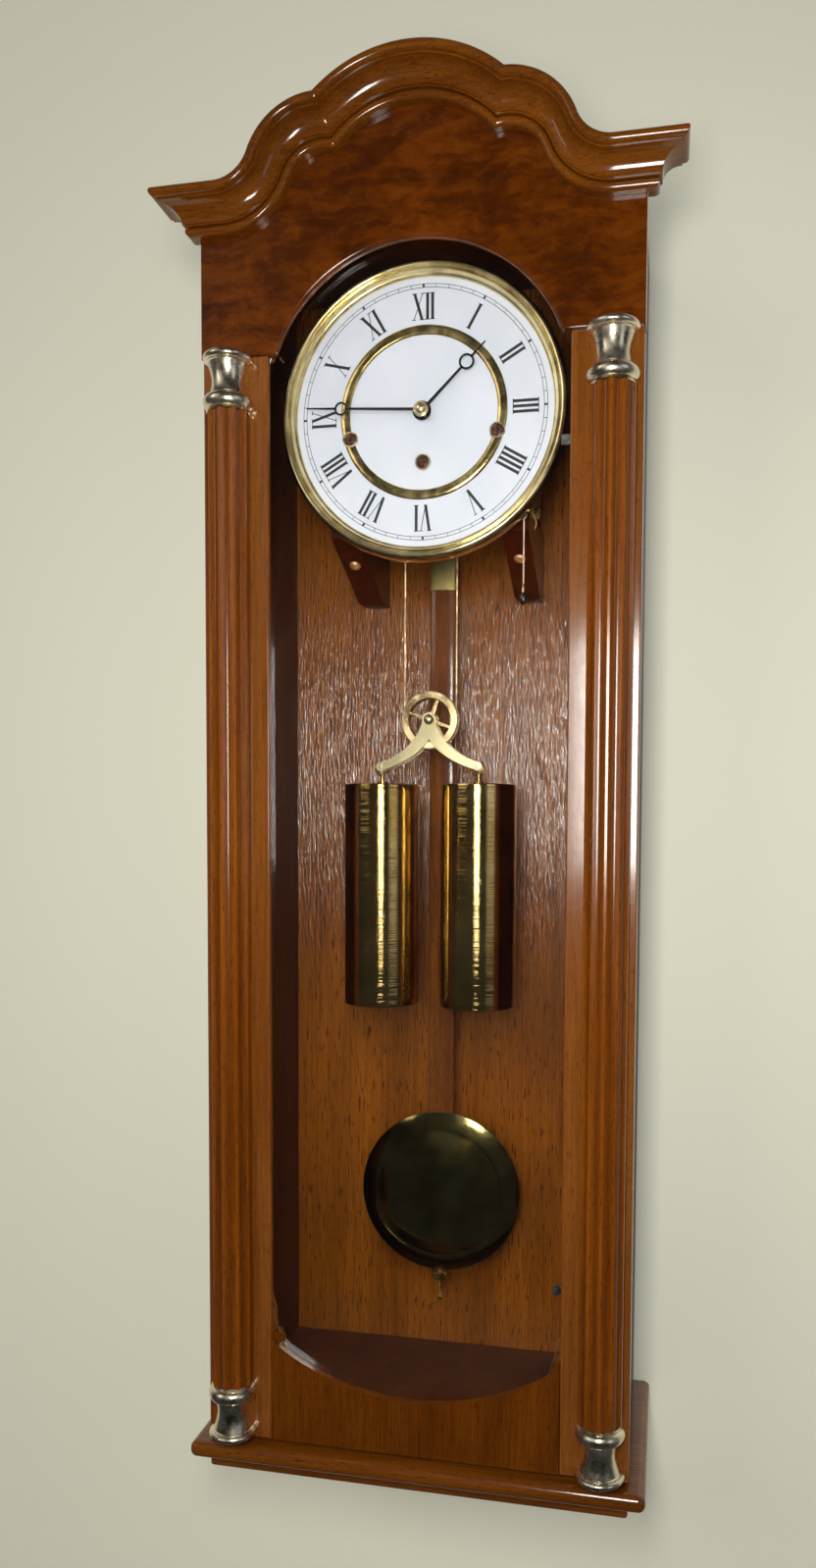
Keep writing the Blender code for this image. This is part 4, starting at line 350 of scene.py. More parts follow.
wrap_arc = arc((0.0, drum_z), cable_offset, math.pi - CABLE_WRAP, math.pi, WRAP_STEPS)
pulley_arc = arc((0.0, pulley_z), cable_offset, math.pi, ROUND, PULLEY_STEPS)
cable_path = [Vector((x, cable_y, z)) for x, z in wrap_arc[:-1]]
cable_path += cable_points(-cable_offset, drum_z, pulley_z)
cable_path += [Vector((x, cable_y, z)) for x, z in pulley_arc[:-1]]
cable_path += cable_points(cable_offset, pulley_z, post_foot_z)
cable_path.append(Vector((cable_offset, cable_y, post_foot_z)))
# Bright wire: pale gold, with a soft line of light down each strand.
bright_wire = polished_metal("bright_wire_rope", "#f4ddb0", "#cdb07c", 0.42, 4.0 * MM)
cable_strand = cable_radius * CABLE_SHARE
cable_routes = twisted(cable_path, CABLE_STRANDS, cable_radius - cable_strand, CABLE_LAY)
cable_core = wires([cable_path], cable_radius * CABLE_CORE_SHARE, 1)
wire_rope = add_piece("wire_rope", [wires(cable_routes, cable_strand, 1), cable_core], None, bright_wire,
                      ["cable"], flats=False)
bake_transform(wire_rope)

# Case: back panel, two sides, ceiling and floor board of veneered board. The back is satin orange
# mahogany with open pores, and the other four are stained almost black and only rubbed with polish.


def veneer(name, tones, pore_tone, along, layers, roughness, coat, coat_roughness, pore_depth=0.06 * MM,
           shift=(0.0, 0.0, 0.0), open_pores=False, flute_shading=None, gloss_index=1.5):
    """Straight-grained stained wood. Layers give each pattern's width and length: broad figure, fine
    grain and the short dark pores that show mahogany, under satin or gloss lacquer. Grain and pores
    are drawn a few times as wide as real ones, so that they show. Open pores dent the lacquer too.
    Flute shading, for a fluted shaft, gives where its axis stands and the radii of its grooves and its
    ridges: painted shade darkens the colour in the grooves, and a little painted light lifts it on the
    ridges."""
    material, tree = new_material(name)
    on_piece = {"Vector": add_node(tree, "TexCoord").outputs["Object"]}
    patterns = {}
    for layer, (width, length, detail) in layers.items():
        scale = [1 / width] * 3
        scale["XYZ".index(along)] = 1 / length
        stretched = add_node(tree, "Mapping", {"Scale": scale, "Location": shift}, on_piece)
        noise = add_node(tree, "TexNoise",
                         {"Scale": 1.0, "Detail": detail, "Roughness": 0.6, "Distortion": 0.25},
                         {"Vector": stretched.outputs["Vector"]})
        patterns[layer] = noise.outputs["Fac"]
    mixed = add_node(tree, "Mix", {0: 0.45}, {2: patterns["figure"], 3: patterns["grain"]})
    dark, middle, light = (linear(code) for code in tones)
    tone = add_node(tree, "ValToRGB", links={"Fac": mixed.outputs[0]},
                    stops=((0.33, dark), (0.5, middle), (0.67, light)))
    pores = add_node(tree, "MapRange", {"From Min": 0.58, "From Max": 0.68}, {"Value": patterns["pores"]})
    colour = add_node(tree, "Mix", {7: linear(pore_tone)},
                      {0: pores.outputs["Result"], 6: tone.outputs["Color"]}, data_type="RGBA")
    base_colour = colour.outputs[2]
    if flute_shading:
        across, out, deep, proud = flute_shading
        parts = add_node(tree, "SeparateXYZ", links=on_piece)
        mirrored = add_node(tree, "Math", links={0: parts.outputs["X"]}, operation="ABSOLUTE")
        level = add_node(tree, "CombineXYZ", {"Z": 0.0},
                         {"X": mirrored.outputs["Value"], "Y": parts.outputs["Y"]})
        reach = add_node(tree, "VectorMath", {1: (across, out, 0.0)}, {0: level.outputs["Vector"]},
                         operation="DISTANCE")
        # Painted shade and light: the colour is scaled down to 0.7 in the flute grooves and up to 1.1 on the
        # ridges.
        painted_flute_shade = add_node(tree, "MapRange",
                           {"From Min": deep, "From Max": proud, "To Min": 0.7, "To Max": 1.1},
                           {"Value": reach.outputs["Value"]})
        shaded_colour = add_node(tree, "VectorMath", links={0: base_colour, 3: painted_flute_shade.outputs["Result"]},
                            operation="SCALE")
        base_colour = shaded_colour.outputs["Vector"]
    dull = add_node(tree, "MapRange", {"To Min": roughness, "To Max": roughness + 0.2},
                    {"Value": pores.outputs["Result"]})
    bump = add_node(tree, "Bump", {"Strength": 0.6, "Distance": pore_depth},
                    {"Height": pores.outputs["Result"]}, invert=True)
    swell_width = 9.0 * MM
    swell = add_node(tree, "TexNoise", {"Scale": 1 / swell_width, "Detail": 1.0}, on_piece)
    film = add_node(tree, "Bump", {"Strength": 0.12, "Distance": 0.25 * MM}, {"Height": swell.outputs["Fac"]})
    if open_pores:
        film = add_node(tree, "Bump", {"Strength": 1.0, "Distance": 1.1 * MM},
                        {"Height": patterns["pores"], "Normal": film.outputs["Normal"]})
    shader = add_node(tree, "BsdfPrincipled", {"Coat Weight": coat, "Coat Roughness": coat_roughness,
                                               "Coat IOR": gloss_index, "Specular IOR Level": 0.05},
                      {"Base Color": base_colour, "Roughness": dull.outputs["Result"],
                       "Normal": bump.outputs["Normal"], "Coat Normal": film.outputs["Normal"]})
    add_node(tree, "OutputMaterial", links={"Surface": shader.outputs["BSDF"]})
    return material


def dress(node, material):
    """Give a kept node its finish."""
    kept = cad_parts[node]
    kept.data.materials.clear()
    kept.data.materials.append(material)


# Back: warm orange-brown, its open pores breaking the shine into fine upright flecks.
back_veneer = veneer("satin_back_mahogany", ("#5b2e03", "#774007", "#894e0a"), "#482202", "Z",
                     {"figure": (42 * MM, 420 * MM, 3.0), "grain": (2.6 * MM, 70 * MM, 4.0),
                      "pores": (1.5 * MM, 16 * MM, 1.0)}, 0.5, 1.0, 0.18, gloss_index=1.75, open_pores=True)
# Inner boards: dark reddish brown with a faint sheen, so that the glossy front stands out.
dark_veneer = veneer("dark_stained_board", ("#331508", "#41200e", "#512a14"), "#200c05", "Z",
                     {"figure": (30 * MM, 300 * MM, 2.0), "grain": (2.0 * MM, 60 * MM, 3.0),
                      "pores": (0.8 * MM, 12 * MM, 2.0)}, 0.5, 0.2, 0.3)
dress("back_panel", back_veneer)
for board in ("case_side_left", "case_side_right", "top_board", "floor_board"):
    dress(board, dark_veneer)

# Plinth: a board with a rounded nose on three sides and a thinner step board glued below it, both
# solid mahogany under gloss lacquer.
PLINTH_NOSE = 5.6 * MM
STEP_CHAMFER = 2.5 * MM
SHARP = math.radians(35)


def block(low, high):
    """A box between two corners."""
    bm = bmesh.new()
    size = Vector(high) - Vector(low)
    centre = (Vector(high) + Vector(low)) / 2
    bmesh.ops.create_cube(bm, size=1.0, matrix=Matrix.Translation(centre) @ Matrix.Diagonal((*size, 1.0)))
    return bm


def soften(bm, width, segments, chosen=lambda edge: True):
    """Round those sharp edges that are chosen."""
    bmesh.ops.recalc_face_normals(bm, faces=bm.faces)
    sharp = [edge for edge in bm.edges
             if len(edge.link_faces) == 2 and edge.calc_face_angle() > SHARP and chosen(edge)]
    bmesh.ops.bevel(bm, geom=sharp, offset=width, segments=segments, profile=0.5, affect="EDGES", material=-1,
                    clamp_overlap=True)
    return bm


def edge_middle(edge):
    """The middle of an edge."""
    return (edge.verts[0].co + edge.verts[1].co) / 2


GLOSSY_PORE = 0.02 * MM
# Crown and plinth: mid red-brown under thick gloss, with long sharp highlights.
crown_gloss = veneer("lacquered_mahogany", ("#572c07", "#78410b", "#8e5110"), "#3b1d05", "X",
                     {"figure": (34 * MM, 260 * MM, 3.0), "grain": (1.8 * MM, 60 * MM, 4.0),
                      "pores": (0.5 * MM, 8 * MM, 2.0)}, 0.45, 1.0, 0.12, GLOSSY_PORE)
for node, radius, segments in (("base_plinth", PLINTH_NOSE, 10), ("base_step", STEP_CHAMFER, 5)):
    low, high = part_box(node)
    board = soften(block(low, high), radius, segments,
                   lambda edge: edge_middle(edge).y < high.y - radius)
    add_piece(node + "_moulded", [board], "case", crown_gloss, [node])

# Hanger plate: a zinc-plated steel plate with a keyhole, let into the top of the back. Two slotted
# screws hold it.
HANGER_SCREW_X = 23.0 * MM
HANGER_SCREW_RADIUS = 3.4 * MM
HANGER_SCREW_HEIGHT = 1.3 * MM
HANGER_SCREW_TURN = 0.5
SCREW_SLOT_SHARE = 0.16
SCREW_SLOT_FLOOR_SHARE = 0.35
SCREW_SLOT_PLAY = 1.01
SCREW_DOME_STEPS = 8
SAME_PLANE = 0.0001 * MM
# Zinc plate: cool, cloudy grey.
zinc = polished_metal("zinc_plated_steel", "#b9bcc0", "#8e9299", 0.34, 5.0 * MM)
dress("hanger_plate", zinc)


def slotted_head(radius, height, place):
    """A low domed screw head with a slot across it, standing on the XY plane of its place."""
    profile = [(0.0, -height), (radius, -height), (radius, 0.0)]
    for step in range(1, SCREW_DOME_STEPS + 1):
        angle = math.pi / 2 * step / SCREW_DOME_STEPS
        profile.append((radius * math.cos(angle), height * math.sin(angle)))
    head = turned(profile, Matrix.Identity(4), 32)
    half = radius * SCREW_SLOT_SHARE
    for side in (-half, half):
        everything = head.verts[:] + head.edges[:] + head.faces[:]
        bmesh.ops.bisect_plane(head, geom=everything, plane_co=(0.0, side, 0.0), plane_no=(0.0, 1.0, 0.0),
                               dist=SAME_PLANE)
    for vert in head.verts:
        if abs(vert.co.y) < half * SCREW_SLOT_PLAY and vert.co.z > 0.0:
            vert.co.z = min(vert.co.z, height * SCREW_SLOT_FLOOR_SHARE)
    bmesh.ops.transform(head, matrix=place, verts=head.verts)
    return head


hanger_low, hanger_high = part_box("hanger_plate")
hanger_screws = []
for side in (-1, 1):
    seat = Matrix.Translation((side * HANGER_SCREW_X, hanger_high.y, (hanger_low.z + hanger_high.z) / 2))
    turn = Matrix.Rotation(-math.pi / 2, 4, "X") @ Matrix.Rotation(HANGER_SCREW_TURN * side, 4, "Z")
    hanger_screws.append(slotted_head(HANGER_SCREW_RADIUS, HANGER_SCREW_HEIGHT, seat @ turn))
add_piece("hanger_screws", hanger_screws, "case", zinc, flats=False)

# Crown: a bonnet moulding cut from solid mahogany, with a nose, a deep cove and a bead below it. It
# swells in three arches between flat ends and is mitred to two short returns.
CROWN_FLAT_Z = 38.5 * MM
CROWN_HEIGHT = 26.5 * MM
CENTRE_ARCH_SHARE = 0.6277
CENTRE_ARCH_SINK_SHARE = 0.1508
SHOULDER_SHARE = 0.3305
SHOULDER_PLACE_SHARE = 0.4062
SHOULDER_SINK_SHARE = 0.0105
COVE_PLACE_SHARE = 0.8677
NOSE_RADIUS = 3.4 * MM
NOSE_PROJECTION = 23.6 * MM
CROWN_FILLET = 1.2 * MM
CROWN_COVE_TOP = 8.2 * MM
CROWN_COVE_HEIGHT = 11.0 * MM
CROWN_COVE_DEPTH = 12.0 * MM
CROWN_COVE_START = 21.4 * MM
BEAD_RADIUS = 3.0 * MM
BEAD_DROP = 23.4 * MM
BEAD_PROJECTION = 4.8 * MM
RETURN_DEPTH = 5.0 * MM
CENTRE_STEPS = 36
SHOULDER_STEPS = 26
NOSE_STEPS = 14
COVE_STEPS = 16
BEAD_STEPS = 12
CROWN_CREASE = 38.0
GAP = 0.3 * MM
head_low, head_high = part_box("door_head")
head_half = head_high.x
head_front = head_low.y
centre_arch = (0.0, CROWN_FLAT_Z - head_half * CENTRE_ARCH_SINK_SHARE)
shoulder = (head_half * SHOULDER_PLACE_SHARE, CROWN_FLAT_Z - head_half * SHOULDER_SINK_SHARE)
shoulder_radius = head_half * SHOULDER_SHARE
cove_x = head_half * COVE_PLACE_SHARE
cove_rise = CROWN_FLAT_Z - shoulder[1]
cove_radius = ((cove_x - shoulder[0]) ** 2 + cove_rise ** 2 - shoulder_radius ** 2) / (
    2 * (shoulder_radius - cove_rise))


def crown_line(drop, end_x):
    """The crown's outline from left to right, set inwards by drop."""
    inner_centre = head_half * CENTRE_ARCH_SHARE - drop
    inner_shoulder = shoulder_radius - drop
    between = Vector(shoulder) - Vector(centre_arch)
    span = between.length
    along = (inner_centre ** 2 - inner_shoulder ** 2 + span ** 2) / (2 * span)
    beside = math.sqrt(inner_centre ** 2 - along ** 2)
    direction = between / span
    valley = Vector(centre_arch) + direction * along + Vector((-direction.y, direction.x)) * beside
    cove_z = CROWN_FLAT_Z + cove_radius
    touch = math.atan2(cove_z - shoulder[1], cove_x - shoulder[0])
    from_centre = math.atan2(valley.y - centre_arch[1], valley.x)
    from_shoulder = math.atan2(valley.y - shoulder[1], valley.x - shoulder[0])
    right = arc(centre_arch, inner_centre, math.pi / 2, from_centre, CENTRE_STEPS)
    right += arc(shoulder, inner_shoulder, from_shoulder, touch, SHOULDER_STEPS)[1:]
    right += arc((cove_x, cove_z), cove_radius + drop, math.pi + touch, math.pi * 3 / 2, COVE_STEPS)[1:]
    right.append((end_x, CROWN_FLAT_Z - drop))
    left = [(-x, z) for x, z in reversed(right)]
    return left[:-1] + right


def crown_profile():
    """The moulding's section as (drop, projection) pairs from its top back edge round the front."""
    nose = arc((NOSE_RADIUS, NOSE_PROJECTION), NOSE_RADIUS, math.pi, 0.0, NOSE_STEPS)
    step_back = NOSE_PROJECTION - CROWN_FILLET
    fillet = [(2 * NOSE_RADIUS, step_back), (CROWN_COVE_TOP, step_back)]
    cove = []
    for step in range(COVE_STEPS + 1):
        angle = math.pi / 2 * step / COVE_STEPS
        cove.append((CROWN_COVE_TOP + CROWN_COVE_HEIGHT * (1 - math.cos(angle)),
                     CROWN_COVE_START - CROWN_COVE_DEPTH * math.sin(angle)))
    lower = cove[-1][1] - CROWN_FILLET
    lower_fillet = [(cove[-1][0], lower), (BEAD_DROP - BEAD_RADIUS, lower)]
    bead = arc((BEAD_DROP, BEAD_PROJECTION), BEAD_RADIUS, math.pi, 0.0, BEAD_STEPS)
    foot = [(CROWN_HEIGHT, BEAD_PROJECTION), (CROWN_HEIGHT, 0.0)]
    return [(0.0, 0.0)] + nose + fillet + cove + lower_fillet + bead + foot


def bridged(sections, ringed=False):
    """A skin through sections with the same number of points, ended by flat caps or joined in a ring."""
    bm = bmesh.new()
    before = []
    for section in sections:
        verts = [bm.verts.new(point) for point in section]
        edges = [bm.edges.new(pair) for pair in zip(verts, verts[1:] + verts[:1])]
        if before:
            bmesh.ops.bridge_loops(bm, edges=before + edges)
        else:
            first = edges
        before = edges
    if ringed:
        bmesh.ops.bridge_loops(bm, edges=before + first)
    else:
        bmesh.ops.contextual_create(bm, geom=first)
        bmesh.ops.contextual_create(bm, geom=before)
    return bm


profile = crown_profile()
crown_back = head_front - GAP
crown_lines = [crown_line(drop, head_half + projection) for drop, projection in profile]
stations = []
for station in range(len(crown_lines[0])):
    stations.append([(line[station][0], crown_back - projection, line[station][1])
                     for (drop, projection), line in zip(profile, crown_lines)])
add_piece("crown_bonnet", [bridged(stations)], "door", crown_gloss, ["crown_moulding"],
          crease=CROWN_CREASE, flats=False)
for side, hand in ((-1, "left"), (1, "right")):
    mitre = []
    tail = []
    for drop, projection in profile:
        x = side * (head_half + GAP + projection)
        mitre.append((x, crown_back - projection, CROWN_FLAT_Z - drop))
        tail.append((x, head_front + RETURN_DEPTH, CROWN_FLAT_Z - drop))
    add_piece(f"crown_end_{hand}", [bridged([mitre, tail])], "door", crown_gloss,
              [f"crown_return_{hand}"], crease=CROWN_CREASE, flats=False)

# Head: the panel under the crown, faced with burl veneer under thick gloss lacquer. Its arch over
# the dial has a rounded lip, and the pane lies in a rebate behind the lip.
DIAL_Z = -112.0 * MM
HEAD_FOOT_Z = -73.0 * MM
HEAD_TOP_DROP = 1.0 * MM
OPENING_HALF = 111.5 * MM
OPENING_ROUND = 7.0 * MM
LIP_BACK_Y = -144.5 * MM
REBATE_WIDTH = 7.0 * MM
ARRIS = 1.1 * MM
ARRIS_STEPS = 4
ARCH_STEPS = 96
REBATE_STEPS = 64


def slab(outlines, front, back):
    """Fill a flat outline that faces the room, less any inner ones, and give it thickness."""
    bm = bmesh.new()
    edges = []
    for outline in outlines:
        verts = [bm.verts.new((x, front, z)) for x, z in outline]
        edges += [bm.edges.new(pair) for pair in zip(verts, verts[1:] + verts[:1])]
    if len(outlines) == 1:
        filled = bmesh.ops.contextual_create(bm, geom=edges)["faces"]
    else:
        filled = bmesh.ops.triangle_fill(bm, use_beauty=True, edges=edges)["geom"]
        filled = [item for item in filled if isinstance(item, bmesh.types.BMFace)]
    pushed = bmesh.ops.extrude_face_region(bm, geom=filled)["geom"]
    moved = [item for item in pushed if isinstance(item, bmesh.types.BMVert)]
    bmesh.ops.translate(bm, verts=moved, vec=(0.0, back - front, 0.0))
    return bm


def burl():
    """Burl veneer: cloudy red-brown figure with darker eyes and streaks, under gloss lacquer."""
    material, tree = new_material("lacquered_burl_veneer")
    on_piece = {"Vector": add_node(tree, "TexCoord").outputs["Object"]}
    bend_width = 30 * MM
    bend_reach = 16 * MM
    bent = add_node(tree, "TexNoise", {"Scale": 1 / bend_width, "Detail": 2.0}, on_piece)
    pushed = add_node(tree, "VectorMath", {3: bend_reach}, {0: bent.outputs["Color"]}, operation="SCALE")
    warped = add_node(tree, "VectorMath", links={0: on_piece["Vector"], 1: pushed.outputs["Vector"]},
                      operation="ADD")
    sizes = {"cloud": (46 * MM, 22 * MM, 3.0), "mottle": (11 * MM, 7 * MM, 4.0),
             "streak": (60 * MM, 9 * MM, 2.0), "fleck": (1.6 * MM, 1.1 * MM, 2.0)}
    layers = {}
    for layer, (width, height, detail) in sizes.items():
        stretched = add_node(tree, "Mapping", {"Scale": (1 / width, 1 / width, 1 / height)},
                             {"Vector": warped.outputs["Vector"]})
        noise = add_node(tree, "TexNoise",
                         {"Scale": 1.0, "Detail": detail, "Roughness": 0.55, "Distortion": 0.5},
                         {"Vector": stretched.outputs["Vector"]})
        layers[layer] = noise.outputs["Fac"]
    cloudy = add_node(tree, "Mix", {0: 0.42}, {2: layers["cloud"], 3: layers["mottle"]})
    streaky = add_node(tree, "Mix", {0: 0.25}, {2: cloudy.outputs[0], 3: layers["streak"]})
    tone = add_node(tree, "ValToRGB", links={"Fac": streaky.outputs[0]},
                    stops=((0.34, linear("#3e1902")), (0.46, linear("#532402")), (0.55, linear("#6a3203")),
                           (0.68, linear("#7f400a"))))
    eyes = add_node(tree, "MapRange", {"From Min": 0.6, "From Max": 0.72, "To Max": 0.45},
                    {"Value": layers["fleck"]})
    colour = add_node(tree, "Mix", {7: linear("#2a0f06")},
                      {0: eyes.outputs["Result"], 6: tone.outputs["Color"]}, data_type="RGBA")
    swell_width = 12 * MM
    swell = add_node(tree, "TexNoise", {"Scale": 1 / swell_width, "Detail": 1.0}, on_piece)
    film = add_node(tree, "Bump", {"Strength": 0.1, "Distance": 0.25 * MM}, {"Height": swell.outputs["Fac"]})
    shader = add_node(tree, "BsdfPrincipled", {"Roughness": 0.45, "Specular IOR Level": 0.05,
                                               "Coat Weight": 1.0, "Coat Roughness": 0.09},
                      {"Base Color": colour.outputs[2], "Coat Normal": film.outputs["Normal"]})
    add_node(tree, "OutputMaterial", links={"Surface": shader.outputs["BSDF"]})
    return material


def arch_outline(half, steps):
    """The arch over the dial from its right foot to its left, at the head's foot."""
    foot_angle = math.asin((HEAD_FOOT_Z - DIAL_Z) / half)
    return arc((0.0, DIAL_Z), half, foot_angle, math.pi - foot_angle, steps)


# Burl: the darkest wood of the front, cloudy and glossy.
burl_gloss = burl()
head_top = crown_line(HEAD_TOP_DROP, head_half)
sides = [(head_half, HEAD_FOOT_Z)]
front_outline = head_top + sides + arch_outline(OPENING_HALF, ARCH_STEPS) + [(-head_half, HEAD_FOOT_Z)]
rear_outline = head_top + sides + arch_outline(OPENING_HALF + REBATE_WIDTH + GAP, REBATE_STEPS)
rear_outline.append((-head_half, HEAD_FOOT_Z))
dial_axis = Vector((0.0, head_front, DIAL_Z))


def on_front_arch(edge):
    """Whether an edge is on the front of the arch over the dial."""
    return all(abs((vert.co - dial_axis).length - OPENING_HALF) < ARRIS / 4 for vert in edge.verts)


def on_head_rim(edge):
    """Whether an edge is on the front of the head's free rim, below the crown."""
    middle = edge_middle(edge)
    on_front = all(vert.co.y < head_front + ARRIS / 4 for vert in edge.verts)
    below_crown = middle.z < CROWN_FLAT_Z - CROWN_HEIGHT
    return on_front and below_crown and abs(middle.x) > OPENING_HALF - OPENING_ROUND


front_board = soften(slab([front_outline], head_front, LIP_BACK_Y), OPENING_ROUND, 12, on_front_arch)
front_board = soften(front_board, ARRIS, ARRIS_STEPS, on_head_rim)
rear_board = slab([rear_outline], LIP_BACK_Y, head_high.y)
add_piece("head_panel", [front_board, rear_board], "door", burl_gloss, ["door_head"])

# Stiles and apron: solid mahogany boards in line with the opening, under gloss lacquer. The apron's
# top is a shallow belly between two tight corners, and the pane's rebate runs on behind them.
APRON_RADIUS = 189.0 * MM
APRON_FOOT_Z = -849.5 * MM
APRON_CORNER = 14.0 * MM
APRON_CORNER_LEAN = math.radians(12)
APRON_CORNER_STEPS = 10
APRON_STEPS = 40
GLASS_FOOT_Z = -857.0 * MM
GLASS_CUT_X = 26.5 * MM
GLASS_CUT_Z = 88.5 * MM
# Stiles: fine, straight, light red-brown grain under gloss.
stile_gloss = veneer("straight_grained_mahogany", ("#6c3a10", "#864d1b", "#985c24"), "#522b0a", "Z",
                     {"figure": (16 * MM, 240 * MM, 3.0), "grain": (1.5 * MM, 55 * MM, 4.0),
                      "pores": (0.5 * MM, 9 * MM, 2.0)}, 0.33, 1.0, 0.15, GLOSSY_PORE)
# Apron: darker than the stiles, with a sharper gloss.
apron_gloss = veneer("apron_mahogany", ("#4f2504", "#683506", "#7a420b"), "#3c1a03", "Z",
                     {"figure": (26 * MM, 160 * MM, 3.0), "grain": (1.5 * MM, 45 * MM, 4.0),
                      "pores": (0.5 * MM, 9 * MM, 2.0)}, 0.33, 1.0, 0.07, GLOSSY_PORE,
                     shift=(3.1, 0.0, 1.7))
rebate_half = OPENING_HALF + REBATE_WIDTH + GAP
cut_top_z = GLASS_FOOT_Z - GAP + GLASS_CUT_Z
cut_slope = GLASS_CUT_Z / GLASS_CUT_X
for side, hand in ((-1, "left"), (1, "right")):
    low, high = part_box(f"door_stile_{hand}")
    outer = max(abs(low.x), abs(high.x))
    inner_foot_z = cut_top_z - (rebate_half - OPENING_HALF) * cut_slope
    near = [(side * OPENING_HALF, low.z), (side * outer, low.z), (side * outer, high.z),
            (side * OPENING_HALF, high.z)]
    far = [(side * OPENING_HALF, low.z), (side * outer, low.z), (side * outer, high.z),
           (side * rebate_half, high.z), (side * rebate_half, cut_top_z),
           (side * OPENING_HALF, inner_foot_z)]
    lip = soften(slab([near], low.y, LIP_BACK_Y), ARRIS, ARRIS_STEPS,
                 lambda edge: edge_middle(edge).y < LIP_BACK_Y - ARRIS
                 and abs(edge_middle(edge).z - high.z) > ARRIS)
    add_piece(f"stile_{hand}", [lip, slab([far], LIP_BACK_Y, high.y)], "door", stile_gloss,
              [f"door_stile_{hand}"])


def apron_edge():
    """The bellied lower edge of the opening, from right to left."""
    centre_z = APRON_FOOT_Z + APRON_RADIUS
    corner_x = OPENING_HALF - APRON_CORNER
    reach = APRON_RADIUS - APRON_CORNER
    corner_z = centre_z - math.sqrt(reach ** 2 - corner_x ** 2)
    touch = math.atan2(corner_z - centre_z, corner_x)
    right = arc((corner_x, corner_z), APRON_CORNER, -APRON_CORNER_LEAN, touch, APRON_CORNER_STEPS)
    right += arc((0.0, centre_z), APRON_RADIUS, touch, -math.pi / 2, APRON_STEPS)[1:]
    return right + [(-x, z) for x, z in reversed(right[:-1])]


apron_low, apron_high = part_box("door_apron")
belly = apron_edge()
apron_half = apron_high.x
near = [(apron_half, apron_low.z), (apron_half, belly[0][1])] + belly
near += [(-apron_half, belly[0][1]), (-apron_half, apron_low.z)]
apron_lip = soften(slab([near], apron_low.y, LIP_BACK_Y), ARRIS, ARRIS_STEPS,
                   lambda edge: edge_middle(edge).y < LIP_BACK_Y - ARRIS
                   and abs(edge_middle(edge).x) < apron_half - GAP)
cut_foot_x = rebate_half - GLASS_CUT_X
rebate_foot_z = GLASS_FOOT_Z - GAP
cut_end_x = cut_foot_x + (belly[0][1] - rebate_foot_z) / cut_slope
far = [(-apron_half, apron_low.z), (apron_half, apron_low.z), (apron_half, belly[0][1]),
       (cut_end_x, belly[0][1]), (cut_foot_x, rebate_foot_z), (-cut_foot_x, rebate_foot_z),
       (-cut_end_x, belly[0][1]), (-apron_half, belly[0][1])]
add_piece("apron_board", [apron_lip, slab([far], LIP_BACK_Y, apron_high.y)], "door", apron_gloss,
          ["door_apron"])

# Pane: clear float glass with an arched top and cut lower corners. Its ground edges are frosted and pale, and
# their whitish colour is partly a painted glint where the belly of the apron leaves them bare.
GLASS_ARRIS = 0.5 * MM
SIDEWAYS = 0.9


def clear_glass():
    """Float glass: clear, with a faint green in its thickness. Lamps reach what is behind it."""
    material, tree = new_material("float_glass")
    path = add_node(tree, "LightPath")
    glass = add_node(tree, "BsdfPrincipled", {"Base Color": linear("#fcfdfc"), "Roughness": 0.0, "IOR": 1.5,
                                              "Transmission Weight": 1.0})
    clear = add_node(tree, "BsdfTransparent", {"Color": linear("#fafbfa")})
    either = add_node(tree, "MixShader", links={0: path.outputs["Is Shadow Ray"], 1: glass.outputs["BSDF"],
                                                2: clear.outputs["BSDF"]})
    add_node(tree, "OutputMaterial", links={"Surface": either.outputs["Shader"]})
    return material


def frosted_edge_and_glint():
    """The pane's ground edge: frosted and whitish green, the whitish part partly a painted glint. Its grit is
    drawn coarser than real grit, so that it shows."""
    material, tree = new_material("frosted_edge_and_painted_glint")
    on_piece = {"Vector": add_node(tree, "TexCoord").outputs["Object"]}
    grit_width = 0.4 * MM
    grit = add_node(tree, "TexNoise", {"Scale": 1 / grit_width, "Detail": 1.0}, on_piece)
    # Painted glint: the whitish tone stands partly for light caught in the ground edge, partly for its
    # frosting.
    tone = add_node(tree, "ValToRGB", links={"Fac": grit.outputs["Fac"]},
                    stops=((0.3, linear("#9fb3a8")), (0.7, linear("#e6f0ea"))))
    shader = add_node(tree, "BsdfPrincipled", {"Roughness": 0.35, "Coat Weight": 0.5, "Coat Roughness": 0.15},
                      {"Base Color": tone.outputs["Color"]})
    add_node(tree, "OutputMaterial", links={"Surface": shader.outputs["BSDF"]})
    return material


pane_low, pane_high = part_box("glass_pane")
pane_half = pane_high.x
pane_cut_top = pane_low.z + GLASS_CUT_Z
pane_outline = [(pane_half, pane_cut_top)] + arc((0.0, DIAL_Z), pane_half, 0.0, math.pi, ARCH_STEPS)
pane_outline += [(-pane_half, pane_cut_top), (GLASS_CUT_X - pane_half, pane_low.z),
                 (pane_half - GLASS_CUT_X, pane_low.z)]
pane_shape = soften(slab([pane_outline], pane_low.y, pane_high.y), GLASS_ARRIS, 2,
                    lambda edge: abs(edge.verts[0].co.y - edge.verts[1].co.y) < GLASS_ARRIS)
pane = add_piece("pane", [pane_shape], "door", clear_glass(), ["glass_pane"], crease=15.0)
pane.data.materials.append(frosted_edge_and_glint())
# The frosted finish with its painted glint goes on every edge face but the left cut, which stays clear glass.
for polygon in pane.data.polygons:
    on_left_cut = polygon.normal.x < 0.0 and pane_low.z + GLASS_ARRIS < polygon.center.z < pane_cut_top
    if abs(polygon.normal.y) < SIDEWAYS and not on_left_cut:
        polygon.material_index = 1
# Satin steel: dull mid grey, for the small fittings.
satin_steel = polished_metal("satin_steel", "#77756e", "#4f4e49", 0.34, 4.0 * MM)
for height in ("upper", "lower"):
    dress(f"glass_clip_{height}", satin_steel)

